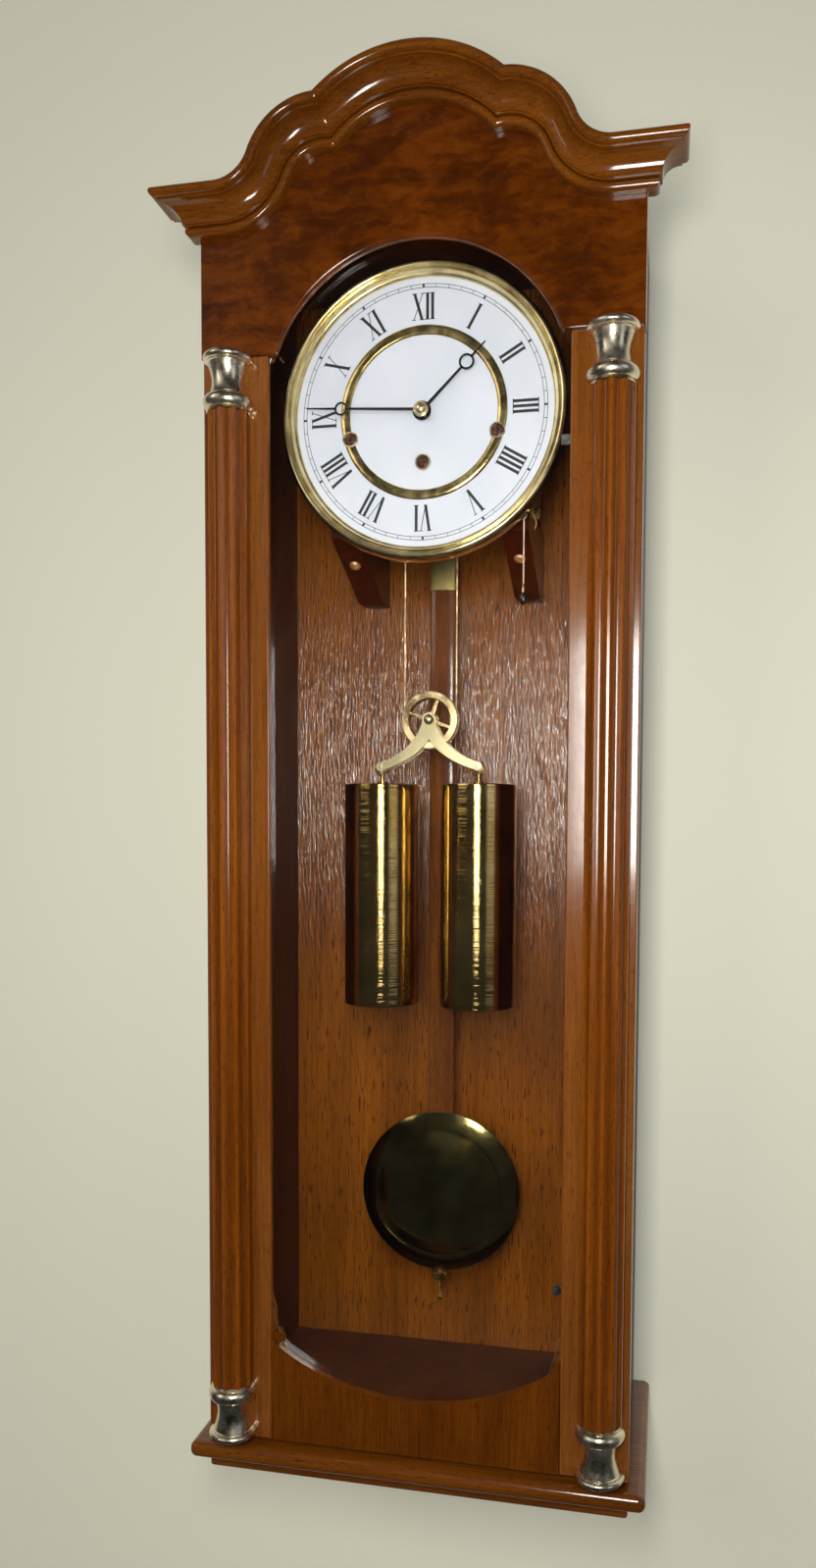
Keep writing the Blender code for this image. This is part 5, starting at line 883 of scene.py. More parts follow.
# Columns: turned and fluted mahogany, half let into the stiles, with ten hollow flutes between
# narrow ridges. Each stands between two turned and polished caps.
COLUMN_FLUTES = 10
FLUTE_DEPTH = 2.1 * MM
RIDGE_SHARE = 0.16
FLUTE_STEPS = 12
RIDGE_ROUND = 0.2 * MM
CAP_REACH = 1.8 * MM
top_low, top_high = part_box("capital_right")
rim_radius = (top_high.x - top_low.x) / 2
column_radius = rim_radius - CAP_REACH
# Columns: warm brown, with painted shade darkening the flutes and a soft line of painted light on each ridge.
column_gloss = veneer("fluted_mahogany_painted_shade", ("#643104", "#844406", "#98550a"), "#492102", "Z",
                      {"figure": (18 * MM, 260 * MM, 3.0), "grain": (1.4 * MM, 50 * MM, 4.0),
                       "pores": (0.5 * MM, 9 * MM, 2.0)}, 0.45, 1.0, 0.17, GLOSSY_PORE,
                      flute_shading=((top_low.x + top_high.x) / 2, top_low.y + rim_radius,
                               column_radius - FLUTE_DEPTH, column_radius - RIDGE_ROUND))


def fluted_outline(centre, radius, flat):
    """A fluted column's section as (across, out) points, cut flat where it meets the stile."""
    points = []
    for flute in range(COLUMN_FLUTES):
        start = ROUND * (flute + RIDGE_SHARE / 2) / COLUMN_FLUTES
        sweep = ROUND * (1 - RIDGE_SHARE) / COLUMN_FLUTES
        for step in range(FLUTE_STEPS + 1):
            share = step / FLUTE_STEPS
            reach = radius - FLUTE_DEPTH * math.sin(math.pi * share)
            angle = start + sweep * share - math.pi / 2
            points.append((reach * math.cos(angle), reach * math.sin(angle)))
    front = [point for point in points if centre[1] + point[1] < flat]
    first = min(range(len(front)), key=lambda index: (front[index][0] > 0, -front[index][1]))
    front = front[first:] + front[:first]
    ends = [(front[-1][0], flat - centre[1]), (front[0][0], flat - centre[1])]
    return [(centre[0] + across, centre[1] + out) for across, out in front + ends]


def standing(outline, low, high):
    """Fill a level outline and raise it."""
    bm = bmesh.new()
    verts = [bm.verts.new((x, y, low)) for x, y in outline]
    edges = [bm.edges.new(pair) for pair in zip(verts, verts[1:] + verts[:1])]
    filled = bmesh.ops.contextual_create(bm, geom=edges)["faces"]
    pushed = bmesh.ops.extrude_face_region(bm, geom=filled)["geom"]
    moved = [item for item in pushed if isinstance(item, bmesh.types.BMVert)]
    bmesh.ops.translate(bm, verts=moved, vec=(0.0, 0.0, high - low))
    return bm


# Caps of the columns: spun and polished brass under a pale, silvery plating. From the board they
# stand against come a rounded rim, a drawn-in neck, a fat ring and a thin collar on the shaft.
CAP_RIM = 5.5 * MM
CAP_FILLET = 1.2 * MM
CAP_NECK_TOP = 10.5 * MM
CAP_NECK_FOOT = 28.5 * MM
CAP_RING = 5.6 * MM
CAP_RING_DROP = 34.6 * MM
CAP_WAIST = 12.0 * MM
CAP_WAIST_POWER = 1.8
CAP_RIM_STEPS = 12
CAP_NECK_STEPS = 18
CAP_RING_STEPS = 16
CAP_STEPS = 96
# Pale plating: silvery with a yellow cast, and soft broad reflections.
pale_plate = polished_metal("silvery_plated_brass", "#f8efdb", "#d8ceb2", 0.27, 9.0 * MM)


def cap_profile(rim_radius, height, shaft_radius):
    """A cap as (radius, height) from its rim, at zero, down to the shaft."""
    rim_half = CAP_RIM / 2
    rim = arc((rim_radius - rim_half, rim_half), rim_half, -math.pi / 2, math.pi / 2, CAP_RIM_STEPS)
    points = [(0.0, 0.0)] + [(radius, -depth) for radius, depth in rim]
    neck = rim_radius - 3 * CAP_FILLET
    points += [(neck + CAP_FILLET, -CAP_RIM - CAP_FILLET * 0.5), (neck, -CAP_RIM - CAP_FILLET)]
    for step in range(CAP_NECK_STEPS + 1):
        share = step / CAP_NECK_STEPS
        radius = CAP_WAIST + (neck - CAP_FILLET - CAP_WAIST) * abs(2 * share - 1) ** CAP_WAIST_POWER
        points.append((radius, -(CAP_NECK_TOP + (CAP_NECK_FOOT - CAP_NECK_TOP) * share)))
    core = rim_radius - CAP_RING
    ring = arc((core, CAP_RING_DROP), CAP_RING, -math.pi / 2, math.pi / 2, CAP_RING_STEPS)
    points += [(radius, -depth) for radius, depth in ring]
    points += [(core, -height + CAP_FILLET), (shaft_radius - CAP_FILLET * 0.4, -height + CAP_FILLET * 0.6),
               (shaft_radius - CAP_FILLET, -height), (0.0, -height)]
    return points


def trimmed(bm, y):
    """Cut a turned shape off behind an upright plane and close it."""
    everything = bm.verts[:] + bm.edges[:] + bm.faces[:]
    bmesh.ops.bisect_plane(bm, geom=everything, plane_co=(0.0, y, 0.0), plane_no=(0.0, 1.0, 0.0),
                           clear_outer=True)
    bmesh.ops.holes_fill(bm, edges=[edge for edge in bm.edges if edge.is_boundary])
    return bm


for side, hand in ((-1, "left"), (1, "right")):
    low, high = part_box(f"column_{hand}")
    top_low, top_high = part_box(f"capital_{hand}")
    foot_low, foot_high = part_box(f"column_base_{hand}")
    centre_x = (top_low.x + top_high.x) / 2
    centre_y = top_low.y + rim_radius
    shaft = standing(fluted_outline((centre_x, centre_y), column_radius, high.y), low.z, high.z)
    add_piece(f"fluted_shaft_{hand}", [shaft], "door", column_gloss, [f"column_{hand}"],
              crease=24.0)
    cap_height = top_high.z - top_low.z
    points = cap_profile(rim_radius, cap_height, column_radius)
    cap = trimmed(turned(points, upright(centre_x, centre_y, top_high.z), CAP_STEPS), top_high.y)
    add_piece(f"cap_{hand}", [cap], "door", pale_plate, [f"capital_{hand}"], flats=False)
    over = [(radius, -cap_height - height) for radius, height in reversed(points)]
    foot = trimmed(turned(over, upright(centre_x, centre_y, foot_high.z), CAP_STEPS), foot_high.y)
    add_piece(f"foot_cap_{hand}", [foot], "door", pale_plate, [f"column_base_{hand}"],
              flats=False)

# Hinges: two brass butt hinges on the left, their leaves let in between the case and the door. They
# are lacquered like the pendulum's screw.
# Lacquered brass: ordinary yellow, half polished.
plain_brass = polished_metal("lacquered_brass", "#c9a45c", "#8f6f35", 0.24, 8.0 * MM)
for height in ("upper", "lower"):
    for leaf in ("case", "door"):
        dress(f"hinge_{height}_{leaf}_leaf", plain_brass)

# Dial: a flat metal disc with smooth white enamel paint, a hole in the middle for the hands and
# three for the key. Each key hole has a pale collar round a dark bush, and a square end inside it.
DIAL_HOLE = 5.5 * MM
KEY_HOLE = 4.8 * MM
COLLAR_RADIUS = 5.9 * MM
COLLAR_HEIGHT = 2.1 * MM
COLLAR_DEPTH_SHARE = 0.4
COLLAR_SEAT = 0.02 * MM
COLLAR_LINING = 0.01 * MM
BUSH_STEPS = 14
BUSH_BORE = 2.5 * MM
SQUARE_HALF = 2.0 * MM
SQUARE_LENGTH = 1.6 * MM
SQUARE_SHOULDER = 0.3 * MM
SQUARE_FOOT = -0.25 * MM
SQUARE_PLAY = 0.1 * MM
SIDE_ARBOR_X = 55.8 * MM
SIDE_ARBOR_DROP = 16.5 * MM
DRUM_DROP = 36.0 * MM
key_places = {"strike_barrel": (-SIDE_ARBOR_X, DIAL_Z - SIDE_ARBOR_DROP),
              "chime_barrel": (SIDE_ARBOR_X, DIAL_Z - SIDE_ARBOR_DROP), "drum": (0.0, DIAL_Z - DRUM_DROP)}


def facing(x, y, z):
    """A place whose Z axis points at the room, for pieces turned about the line of sight."""
    return Matrix.Translation((x, y, z)) @ Matrix.Rotation(math.pi / 2, 4, "X")


def circle(centre, radius, steps):
    """Points of a whole circle."""
    return arc(centre, radius, 0.0, ROUND, steps)[:-1]


def enamel():
    """White dial paint: faintly cool, almost even, with a soft gloss and the least orange peel."""
    material, tree = new_material("white_dial_enamel")
    on_piece = {"Vector": add_node(tree, "TexCoord").outputs["Object"]}
    age_width = 45 * MM
    peel_width = 1.2 * MM
    age = add_node(tree, "TexNoise", {"Scale": 1 / age_width, "Detail": 3.0}, on_piece)
    tone = add_node(tree, "ValToRGB", links={"Fac": age.outputs["Fac"]},
                    stops=((0.3, linear("#bdc3d1")), (0.7, linear("#c6cbd9"))))
    peel = add_node(tree, "TexNoise", {"Scale": 1 / peel_width, "Detail": 1.0}, on_piece)
    bump = add_node(tree, "Bump", {"Strength": 0.1, "Distance": 0.03 * MM}, {"Height": peel.outputs["Fac"]})
    shader = add_node(tree, "BsdfPrincipled", {"Roughness": 0.35},
                      {"Base Color": tone.outputs["Color"], "Normal": bump.outputs["Normal"]})
    add_node(tree, "OutputMaterial", links={"Surface": shader.outputs["BSDF"]})
    return material


plate_low, plate_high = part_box("dial_plate")
dial_front = plate_low.y
dial_outlines = [circle((0.0, DIAL_Z), plate_high.x, 144), circle((0.0, DIAL_Z), DIAL_HOLE, 48)]
dial_outlines += [circle(place, KEY_HOLE, 48) for place in key_places.values()]
# Enamel: a cool, even white that the black print stands on.
white_enamel = enamel()
add_piece("dial_disc", [slab(dial_outlines, dial_front, plate_high.y)], "case", white_enamel,
          ["dial_plate"], flats=False)
collar_foot = -COLLAR_HEIGHT * COLLAR_DEPTH_SHARE
collar_profile = [(KEY_HOLE, collar_foot), (KEY_HOLE, COLLAR_HEIGHT * 0.9),
                  (KEY_HOLE + COLLAR_HEIGHT * 0.1, COLLAR_HEIGHT),
                  (COLLAR_RADIUS - COLLAR_HEIGHT * 0.2, COLLAR_HEIGHT),
                  (COLLAR_RADIUS, COLLAR_HEIGHT * 0.8), (COLLAR_RADIUS, COLLAR_SEAT),
                  (KEY_HOLE - COLLAR_LINING, COLLAR_SEAT), (KEY_HOLE - COLLAR_LINING, collar_foot)]
collars = [turned(collar_profile, facing(x, dial_front, z), 48, closed=True) for x, z in key_places.values()]
# Pale brass: a thin light ring about each dark key hole.
pale_brass = polished_metal("pale_collar_brass", "#e6dcc0", "#bfb190", 0.3, 4.0 * MM)
add_piece("key_hole_collars", collars, "case", pale_brass)
bush_middle = (KEY_HOLE + BUSH_BORE) / 2
bush_profile = [(bush_middle + (KEY_HOLE - bush_middle) * math.cos(angle),
                 COLLAR_HEIGHT * 0.5 + (KEY_HOLE - bush_middle) * math.sin(angle))
                for angle in (math.pi * step / BUSH_STEPS for step in range(BUSH_STEPS + 1))]
bush_profile += [(BUSH_BORE, -COLLAR_HEIGHT * 0.5), (KEY_HOLE, -COLLAR_HEIGHT * 0.5)]
bushes = [turned(bush_profile, facing(x, dial_front, z), 48, closed=True) for x, z in key_places.values()]
# Dark bronze: near-black red-brown, glossy with oil.
bronze = dark_lacquer("oiled_dark_bronze", "#5a2a1c")
add_piece("key_hole_bushes", bushes, "case", bronze)
for turning_body, (x, z) in key_places.items():
    square_profile = [(0.0, SQUARE_LENGTH), (SQUARE_HALF * 0.7, SQUARE_LENGTH),
                      (SQUARE_HALF, SQUARE_LENGTH * 0.8), (SQUARE_HALF, SQUARE_SHOULDER),
                      (BUSH_BORE - SQUARE_PLAY, SQUARE_SHOULDER), (BUSH_BORE - SQUARE_PLAY, SQUARE_FOOT),
                      (0.0, SQUARE_FOOT)]
    square = turned(square_profile, facing(x, dial_front, z), 4)
    add_piece(f"key_square_{turning_body}", [square], turning_body, bronze)

# Print: black roman numerals that stand with their feet to the centre, and a minute track between
# two thin grey circles, printed on the enamel.
PRINT_HEIGHT = 0.06 * MM
NUMERAL_FOOT = 66.9 * MM
NUMERAL_TOP = 86.2 * MM
STROKE = 2.20 * MM
HAIRLINE = 0.6 * MM
STROKE_PITCH = 3.8 * MM
SERIF_OVERHANG = 0.75 * MM
V_WIDTH = 8.2 * MM
X_WIDTH = 8.0 * MM
LETTER_GAP = 1.1 * MM
TRACK_INNER = 89.9 * MM
TRACK_OUTER = 92.4 * MM
TRACK_LINE = 0.42 * MM
FIVE_MINUTE_WIDTH = 1.6 * MM
NUMERALS = ("XII", "I", "II", "III", "IIII", "V", "VI", "VII", "VIII", "IX", "X", "XI")


def letter_width(letter):
    """The width of one numeral letter without its serifs."""
    return {"I": STROKE, "V": V_WIDTH, "X": X_WIDTH}[letter]


def letter_bars(letter, left):
    """A letter's strokes as (x at foot, x at top, width, foot height, top height), from the numeral's
    left end; heights are shares of the numeral's height."""
    if letter == "I":
        middle = left + STROKE / 2
        return [(middle, middle, STROKE, 0.0, 1.0)]
    if letter == "V":
        foot = left + V_WIDTH / 2
        return [(foot, left + STROKE / 2, STROKE, 0.0, 1.0),
                (foot, left + V_WIDTH - HAIRLINE, HAIRLINE, 0.0, 1.0)]
    return [(left + X_WIDTH - STROKE / 2, left + STROKE / 2, STROKE, 0.0, 1.0),
            (left + HAIRLINE, left + X_WIDTH - HAIRLINE, HAIRLINE, 0.0, 1.0)]


def serif_spans(letter, left):
    """Spans of a letter's hairline serifs at its top and foot, as (left, right, at the top)."""
    width = letter_width(letter)
    whole = (left - SERIF_OVERHANG, left + width + SERIF_OVERHANG)
    reach = STROKE + 2 * SERIF_OVERHANG
    if letter == "I":
        return [(*whole, True), (*whole, False)]
    tops = [(whole[0], whole[0] + reach, True), (whole[1] - reach * 0.8, whole[1], True)]
    if letter == "V":
        return tops
    return tops + [(whole[1] - reach, whole[1], False), (whole[0], whole[0] + reach * 0.8, False)]


def numeral_quads(word):
    """Every bar of a numeral as four (across, out) corners about its middle."""
    spacing = {"II": STROKE_PITCH - STROKE}
    left = 0.0
    places = []
    for index, letter in enumerate(word):
        if index:
            left += spacing.get(word[index - 1:index + 1], LETTER_GAP + SERIF_OVERHANG)
        places.append((letter, left))
        left += letter_width(letter)
    middle = left / 2
    height = NUMERAL_TOP - NUMERAL_FOOT
    quads = []
    for letter, start in places:
        for foot, top, width, low, high in letter_bars(letter, start):
            quads.append([(foot - width / 2 - middle, NUMERAL_FOOT + height * low),
                          (foot + width / 2 - middle, NUMERAL_FOOT + height * low),
                          (top + width / 2 - middle, NUMERAL_FOOT + height * high),
                          (top - width / 2 - middle, NUMERAL_FOOT + height * high)])
        for low_x, high_x, at_top in serif_spans(letter, start):
            edge = NUMERAL_TOP if at_top else NUMERAL_FOOT + HAIRLINE
            quads.append([(low_x - middle, edge - HAIRLINE), (high_x - middle, edge - HAIRLINE),
                          (high_x - middle, edge), (low_x - middle, edge)])
    return quads


def printed(quads, angle):
    """Bars on the dial, given about its centre with the top outwards, turned clockwise."""
    bars = []
    for quad in quads:
        bar = slab([quad], 0.0, -PRINT_HEIGHT)
        turn = Matrix.Translation((0.0, dial_front, DIAL_Z)) @ Matrix.Rotation(angle, 4, "Y")
        bmesh.ops.transform(bar, matrix=turn, verts=bar.verts)
        bars.append(bar)
    return bars


def oblong(width, low, high):
    """The corners of an upright bar about x = 0."""
    return [(-width / 2, low), (width / 2, low), (width / 2, high), (-width / 2, high)]


def printing_ink(name, code, roughness):
    """Printing ink: flat and even, a shade less glossy than the enamel under it."""
    material, tree = new_material(name)
    on_piece = {"Vector": add_node(tree, "TexCoord").outputs["Object"]}
    film_width = 0.8 * MM
    body = add_node(tree, "TexNoise", {"Scale": 1 / film_width, "Detail": 2.0}, on_piece)
    thin = tuple(1.25 * c for c in linear(code)[:3]) + (1.0,)
    tone = add_node(tree, "ValToRGB", links={"Fac": body.outputs["Fac"]},
                    stops=((0.3, linear(code)), (0.7, thin)))
    shader = add_node(tree, "BsdfPrincipled", {"Roughness": roughness}, {"Base Color": tone.outputs["Color"]})
    add_node(tree, "OutputMaterial", links={"Surface": shader.outputs["BSDF"]})
    return material


numeral_bars = []
track_bars = []
for hour, word in enumerate(NUMERALS):
    numeral_bars += printed(numeral_quads(word), ROUND * hour / 12)
    numeral_bars += printed([oblong(FIVE_MINUTE_WIDTH, TRACK_INNER, TRACK_OUTER)], ROUND * hour / 12)
for minute in range(60):
    if minute % 5:
        track_bars += printed([oblong(TRACK_LINE, TRACK_INNER, TRACK_OUTER)], ROUND * minute / 60)
for radius in (TRACK_INNER, TRACK_OUTER):
    line_profile = [(radius, 0.0), (radius + TRACK_LINE, 0.0), (radius + TRACK_LINE, PRINT_HEIGHT * 0.8),
                    (radius, PRINT_HEIGHT * 0.8)]
    track_bars.append(turned(line_profile, facing(0.0, dial_front, DIAL_Z), 240, closed=True))
add_piece("printed_numerals", numeral_bars, "case", printing_ink("black_dial_ink", "#08060c", 0.5),
          flats=False)
add_piece("printed_minute_track", track_bars, "case", printing_ink("grey_dial_ink", "#1c1a20", 0.5),
          flats=False)

# Bezel and inner ring: spun and polished brass. The bezel has a fine inner bead, a step and a fat
# outer round; the ring is gently domed and makes way for the side key holes.
BEZEL_WIDTH = 11.2 * MM
BEZEL_SKIRT = 4.0 * MM
BEZEL_STEPS = 160
BEZEL_WIDTH_SHARES = (0.0, 0.05, 0.12, 0.17, 0.3, 0.38, 0.45, 0.54, 0.66, 0.78, 0.9, 0.97, 1.0)
BEZEL_HEIGHT_SHARES = (0.04, 0.2, 0.3, 0.34, 0.78, 0.8, 0.72, 0.93, 1.0, 0.95, 0.75, 0.5, 0.3)
RING_INNER = 56.0 * MM
RING_OUTER = 63.2 * MM
RING_EDGE = 0.4 * MM
RING_STEPS = 60
RING_DOME_STEPS = 12
BITE_STEPS = 24


def smooth_line(points, steps):
    """A flowing line through points, by Catmull-Rom."""
    points = [Vector(point) for point in points]
    line = []
    for index in range(len(points) - 1):
        before = points[max(index - 1, 0)]
        start = points[index]
        end = points[index + 1]
        after = points[min(index + 2, len(points) - 1)]
        for step in range(steps):
            t = step / steps
            place = 2 * start + (end - before) * t + (2 * before - 5 * start + 4 * end - after) * t ** 2
            place += (3 * start - before - 3 * end + after) * t ** 3
            line.append(tuple(place / 2))
    return line + [tuple(points[-1])]


bezel_low, bezel_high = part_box("dial_bezel")
bezel_radius = bezel_high.x
bezel_base = dial_front - GAP
bezel_height = bezel_base - bezel_low.y
bezel_inner = bezel_radius - BEZEL_WIDTH
bezel_crest = [(bezel_inner + BEZEL_WIDTH * across, bezel_height * up)
               for across, up in zip(BEZEL_WIDTH_SHARES, BEZEL_HEIGHT_SHARES)]
bezel_line = smooth_line(bezel_crest[:4], 4)[:-1] + smooth_line(bezel_crest[3:7], 6)[:-1]
bezel_line += smooth_line(bezel_crest[6:], 6)
bezel_line = [(min(radius, bezel_radius), min(height, bezel_height)) for radius, height in bezel_line]
bezel_line += [(bezel_radius, -BEZEL_SKIRT), (plate_high.x + GAP, -BEZEL_SKIRT), (plate_high.x + GAP, 0.0),
               (bezel_inner, 0.0)]
# Bezel brass: pale gold with sharp rings of light.
bezel_brass = polished_metal("polished_bezel_brass", "#f6e6b6", "#dbc68c", 0.2, 24.0 * MM)
bezel_shape = turned(bezel_line, facing(0.0, bezel_base, DIAL_Z), BEZEL_STEPS, closed=True)
add_piece("bezel_ring", [bezel_shape], "case", bezel_brass, ["dial_bezel"], flats=False)


def bitten_circle(radius, bites, bite_radius, steps):
    """A circle about the dial's centre, with round bites pushed outwards from it."""
    outline = []
    spans = []
    for x, z in bites:
        away = math.hypot(x, z - DIAL_Z)
        along = (radius ** 2 - bite_radius ** 2 + away ** 2) / (2 * away)
        beside = math.sqrt(radius ** 2 - along ** 2)
        facing_angle = math.atan2(z - DIAL_Z, x)
        half = math.atan2(beside, along)
        turn = math.atan2(beside, along - away)
        spans.append((facing_angle, half, turn, (x, z)))
    spans.sort()
    for index, (facing_angle, half, turn, place) in enumerate(spans):
        outline += arc(place, bite_radius, facing_angle - turn, facing_angle + turn, BITE_STEPS)
        following = spans[(index + 1) % len(spans)]
        end = following[0] - following[1]
        if end < facing_angle:
            end += ROUND
        outline += arc((0.0, DIAL_Z), radius, facing_angle + half, end, steps)[1:-1]
    return outline


ring_low, ring_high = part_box("dial_ring")
ring_front = ring_low.y
ring_back = dial_front - GAP
ring_edge_y = ring_back - RING_EDGE
ring_rise = ring_edge_y - ring_front
side_keys = [key_places["strike_barrel"], key_places["chime_barrel"]]
ring_middle = (RING_INNER + RING_OUTER) / 2
ring_half = (RING_OUTER - RING_INNER) / 2
ring_sections = []
for x, z in bitten_circle(RING_INNER, side_keys, KEY_HOLE - 2 * GAP, RING_STEPS):
    reach = math.hypot(x, z - DIAL_Z)
    ways = (x / reach, (z - DIAL_Z) / reach)
    domed = []
    for step in range(RING_DOME_STEPS + 1):
        radius = RING_OUTER + (reach - RING_OUTER) * step / RING_DOME_STEPS
        share = math.sqrt(max(0.0, 1 - ((radius - ring_middle) / ring_half) ** 2))
        domed.append((radius, ring_edge_y - ring_rise * share))
    ring_sections.append([(radius * ways[0], y, DIAL_Z + radius * ways[1])
                          for radius, y in domed + [(reach, ring_back), (RING_OUTER, ring_back)]])
# Ring brass: a deeper gold, mirrored along its dome.
ring_brass = polished_metal("polished_ring_brass", "#d8c088", "#a8925a", 0.2, 10.0 * MM)
add_piece("inner_ring", [bridged(ring_sections, ringed=True)], "case", ring_brass, ["dial_ring"])

# Hands: stamped and blackened steel, each with a pierced ring near its tip and a thin blade, held
# by a domed brass nut. They are built pointing up and turned to about a quarter to two.
HAND_THICK = 0.8 * MM
HAND_EDGE = 0.16 * MM
MINUTE_ANGLE = math.radians(274.0)
HOUR_ANGLE = math.radians(45.5)
HOUR_LIFT = 4.6 * MM
MINUTE_LIFT = 7.4 * MM
HOUR_HUB = 7.0 * MM
HOUR_RING_PLACE = 46.7 * MM
HOUR_RING_RADIUS = 5.8 * MM
HOUR_RING_HOLE = 4.2 * MM
HOUR_TIP = 66.3 * MM
HOUR_ROOT_HALF = 1.25 * MM
HOUR_END_HALF = 0.85 * MM
MINUTE_HUB = 5.6 * MM
MINUTE_RING_PLACE = 61.3 * MM
MINUTE_RING_RADIUS = 5.0 * MM
MINUTE_RING_HOLE = 3.6 * MM
MINUTE_TIP = 88.4 * MM
MINUTE_ROOT_HALF = 1.05 * MM
MINUTE_END_HALF = 0.8 * MM
HOUR_PIPE_RADIUS = 3.4 * MM
HOUR_PIPE_BORE = 2.4 * MM
MINUTE_ARBOR_RADIUS = 2.1 * MM
NUT_RADIUS = 6.6 * MM
NUT_HEIGHT = 4.2 * MM
NUT_DOME_SHARE = 0.74
NUT_WASHER_SHARES = ((0.74, 0.2), (0.83, 0.14), (0.85, 0.0), (0.0, 0.0))


def hand_outline(hub, ring_at, ring_radius, tip, root_half, end_half):
    """A hand pointing up from the centre: round hub, tapering blade, ring and pointed tip."""
    blade_start = math.sqrt(hub ** 2 - root_half ** 2)
    reach = math.sqrt(ring_radius ** 2 - end_half ** 2)
    lower = math.atan2(-reach, end_half)
    right = [(root_half, blade_start)] + arc((0.0, ring_at), ring_radius, lower, -lower, 28)
    right += [(end_half * 0.6, tip - end_half), (0.0, tip)]
    left = [(-x, z) for x, z in reversed(right[:-1])]
    around = arc((0.0, 0.0), hub, math.atan2(blade_start, -root_half),
                 ROUND + math.atan2(blade_start, root_half), 40)
    return right + left + around[1:-1]


def hand_shape(outlines, lift, angle):
    """A hand stamped from sheet, its front edges softened, at its height over the dial and its angle."""
    front = dial_front - lift
    shape = soften(slab(outlines, front, front + HAND_THICK), HAND_EDGE, 2,
                   lambda edge: all(abs(vert.co.y - front) < HAND_EDGE / 2 for vert in edge.verts))
    turn = Matrix.Translation((0.0, 0.0, DIAL_Z)) @ Matrix.Rotation(angle, 4, "Y")
    bmesh.ops.transform(shape, matrix=turn, verts=shape.verts)
    return shape


# Blackened steel: glossy black against the white dial.
hand_black = dark_lacquer("blackened_steel", "#1b191c")
hour_outlines = [hand_outline(HOUR_HUB, HOUR_RING_PLACE, HOUR_RING_RADIUS, HOUR_TIP, HOUR_ROOT_HALF,
                              HOUR_END_HALF),
                 circle((0.0, HOUR_RING_PLACE), HOUR_RING_HOLE, 40),
                 circle((0.0, 0.0), HOUR_PIPE_BORE, 32)]
hour_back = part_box("hour_hand")[1].y
pipe_front = dial_front - HOUR_LIFT + HAND_THICK / 2
pipe_profile = [(HOUR_PIPE_RADIUS, -pipe_front), (HOUR_PIPE_RADIUS, -hour_back), (HOUR_PIPE_BORE, -hour_back),
                (HOUR_PIPE_BORE, -pipe_front)]
add_piece("hour_pointer", [hand_shape(hour_outlines, HOUR_LIFT, HOUR_ANGLE),
                           turned(pipe_profile, facing(0.0, 0.0, DIAL_Z), 32, closed=True)],
          "hour", hand_black, ["hour_hand"])
minute_outlines = [hand_outline(MINUTE_HUB, MINUTE_RING_PLACE, MINUTE_RING_RADIUS, MINUTE_TIP,
                                MINUTE_ROOT_HALF, MINUTE_END_HALF),
                   circle((0.0, MINUTE_RING_PLACE), MINUTE_RING_HOLE, 40)]
minute_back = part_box("minute_hand")[1].y
arbor_front = dial_front - MINUTE_LIFT + HAND_THICK / 2
arbor_profile = [(0.0, -arbor_front), (MINUTE_ARBOR_RADIUS, -arbor_front),
                 (MINUTE_ARBOR_RADIUS, -minute_back), (0.0, -minute_back)]
add_piece("minute_pointer", [hand_shape(minute_outlines, MINUTE_LIFT, MINUTE_ANGLE),
                             turned(arbor_profile, facing(0.0, 0.0, DIAL_Z), 32)],
          "minute", hand_black, ["minute_hand"])


def dome(radius, height, steps):
    """A quarter of an ellipse as (radius, height) from its top to its rim, for a turned dome."""
    angles = [math.pi / 2 * step / steps for step in range(steps + 1)]
    return [(radius * math.sin(angle), height * math.cos(angle)) for angle in angles]


nut_profile = dome(NUT_RADIUS * NUT_DOME_SHARE, NUT_HEIGHT, 14)[:-1]
nut_profile += [(NUT_RADIUS * across, NUT_HEIGHT * up) for across, up in NUT_WASHER_SHARES]
nut_place = facing(0.0, dial_front - MINUTE_LIFT - GAP, DIAL_Z)
add_piece("domed_hand_nut", [turned(nut_profile, nut_place, 64)], "minute", bezel_brass,
          ["hand_nut"], flats=False)

# Movement: brass plates, wheels and barrels, and a steel anchor, all fine grained and lacquered but
# not polished. It is screwed to the two brackets.
# Movement brass: yellow-brown with fine level lines.
movement_brass = polished_metal("grained_movement_brass", "#b4935a", "#86693a", 0.32, 9.0 * MM,
                                brushed=(1 / (22.0 * MM), 1 / (22.0 * MM), 1 / (0.3 * MM)))
for node in ("movement_back_plate", "movement_front_plate", "escape_wheel", "winding_drum", "strike_arbor",
             "chime_arbor"):
    dress(node, movement_brass)
dress("anchor", satin_steel)

# Brackets: dark stained hardwood wedges under the movement, glued to the back panel, each with a
# copper-plated screw in its sloping front.
BRACKET_HEEL_Y = -34.0 * MM
BRACKET_NOSE_Z = -196.0 * MM
BRACKET_SCREW_SHARE = 0.6
BRACKET_SCREW_TURNS = {"left": 0.6, "right": -0.9}
BRACKET_ARRIS = 1.0 * MM
SCREW_RADIUS = 4.6 * MM
SCREW_HEIGHT = 2.2 * MM
# Bracket wood: very dark red-brown, half glossy.
bracket_wood = veneer("stained_bracket_hardwood", ("#2a0901", "#3b0f02", "#4b1603"), "#1c0601", "Z",
                      {"figure": (14 * MM, 90 * MM, 3.0), "grain": (1.6 * MM, 40 * MM, 4.0),
                       "pores": (0.5 * MM, 7 * MM, 2.0)}, 0.3, 0.7, 0.14)
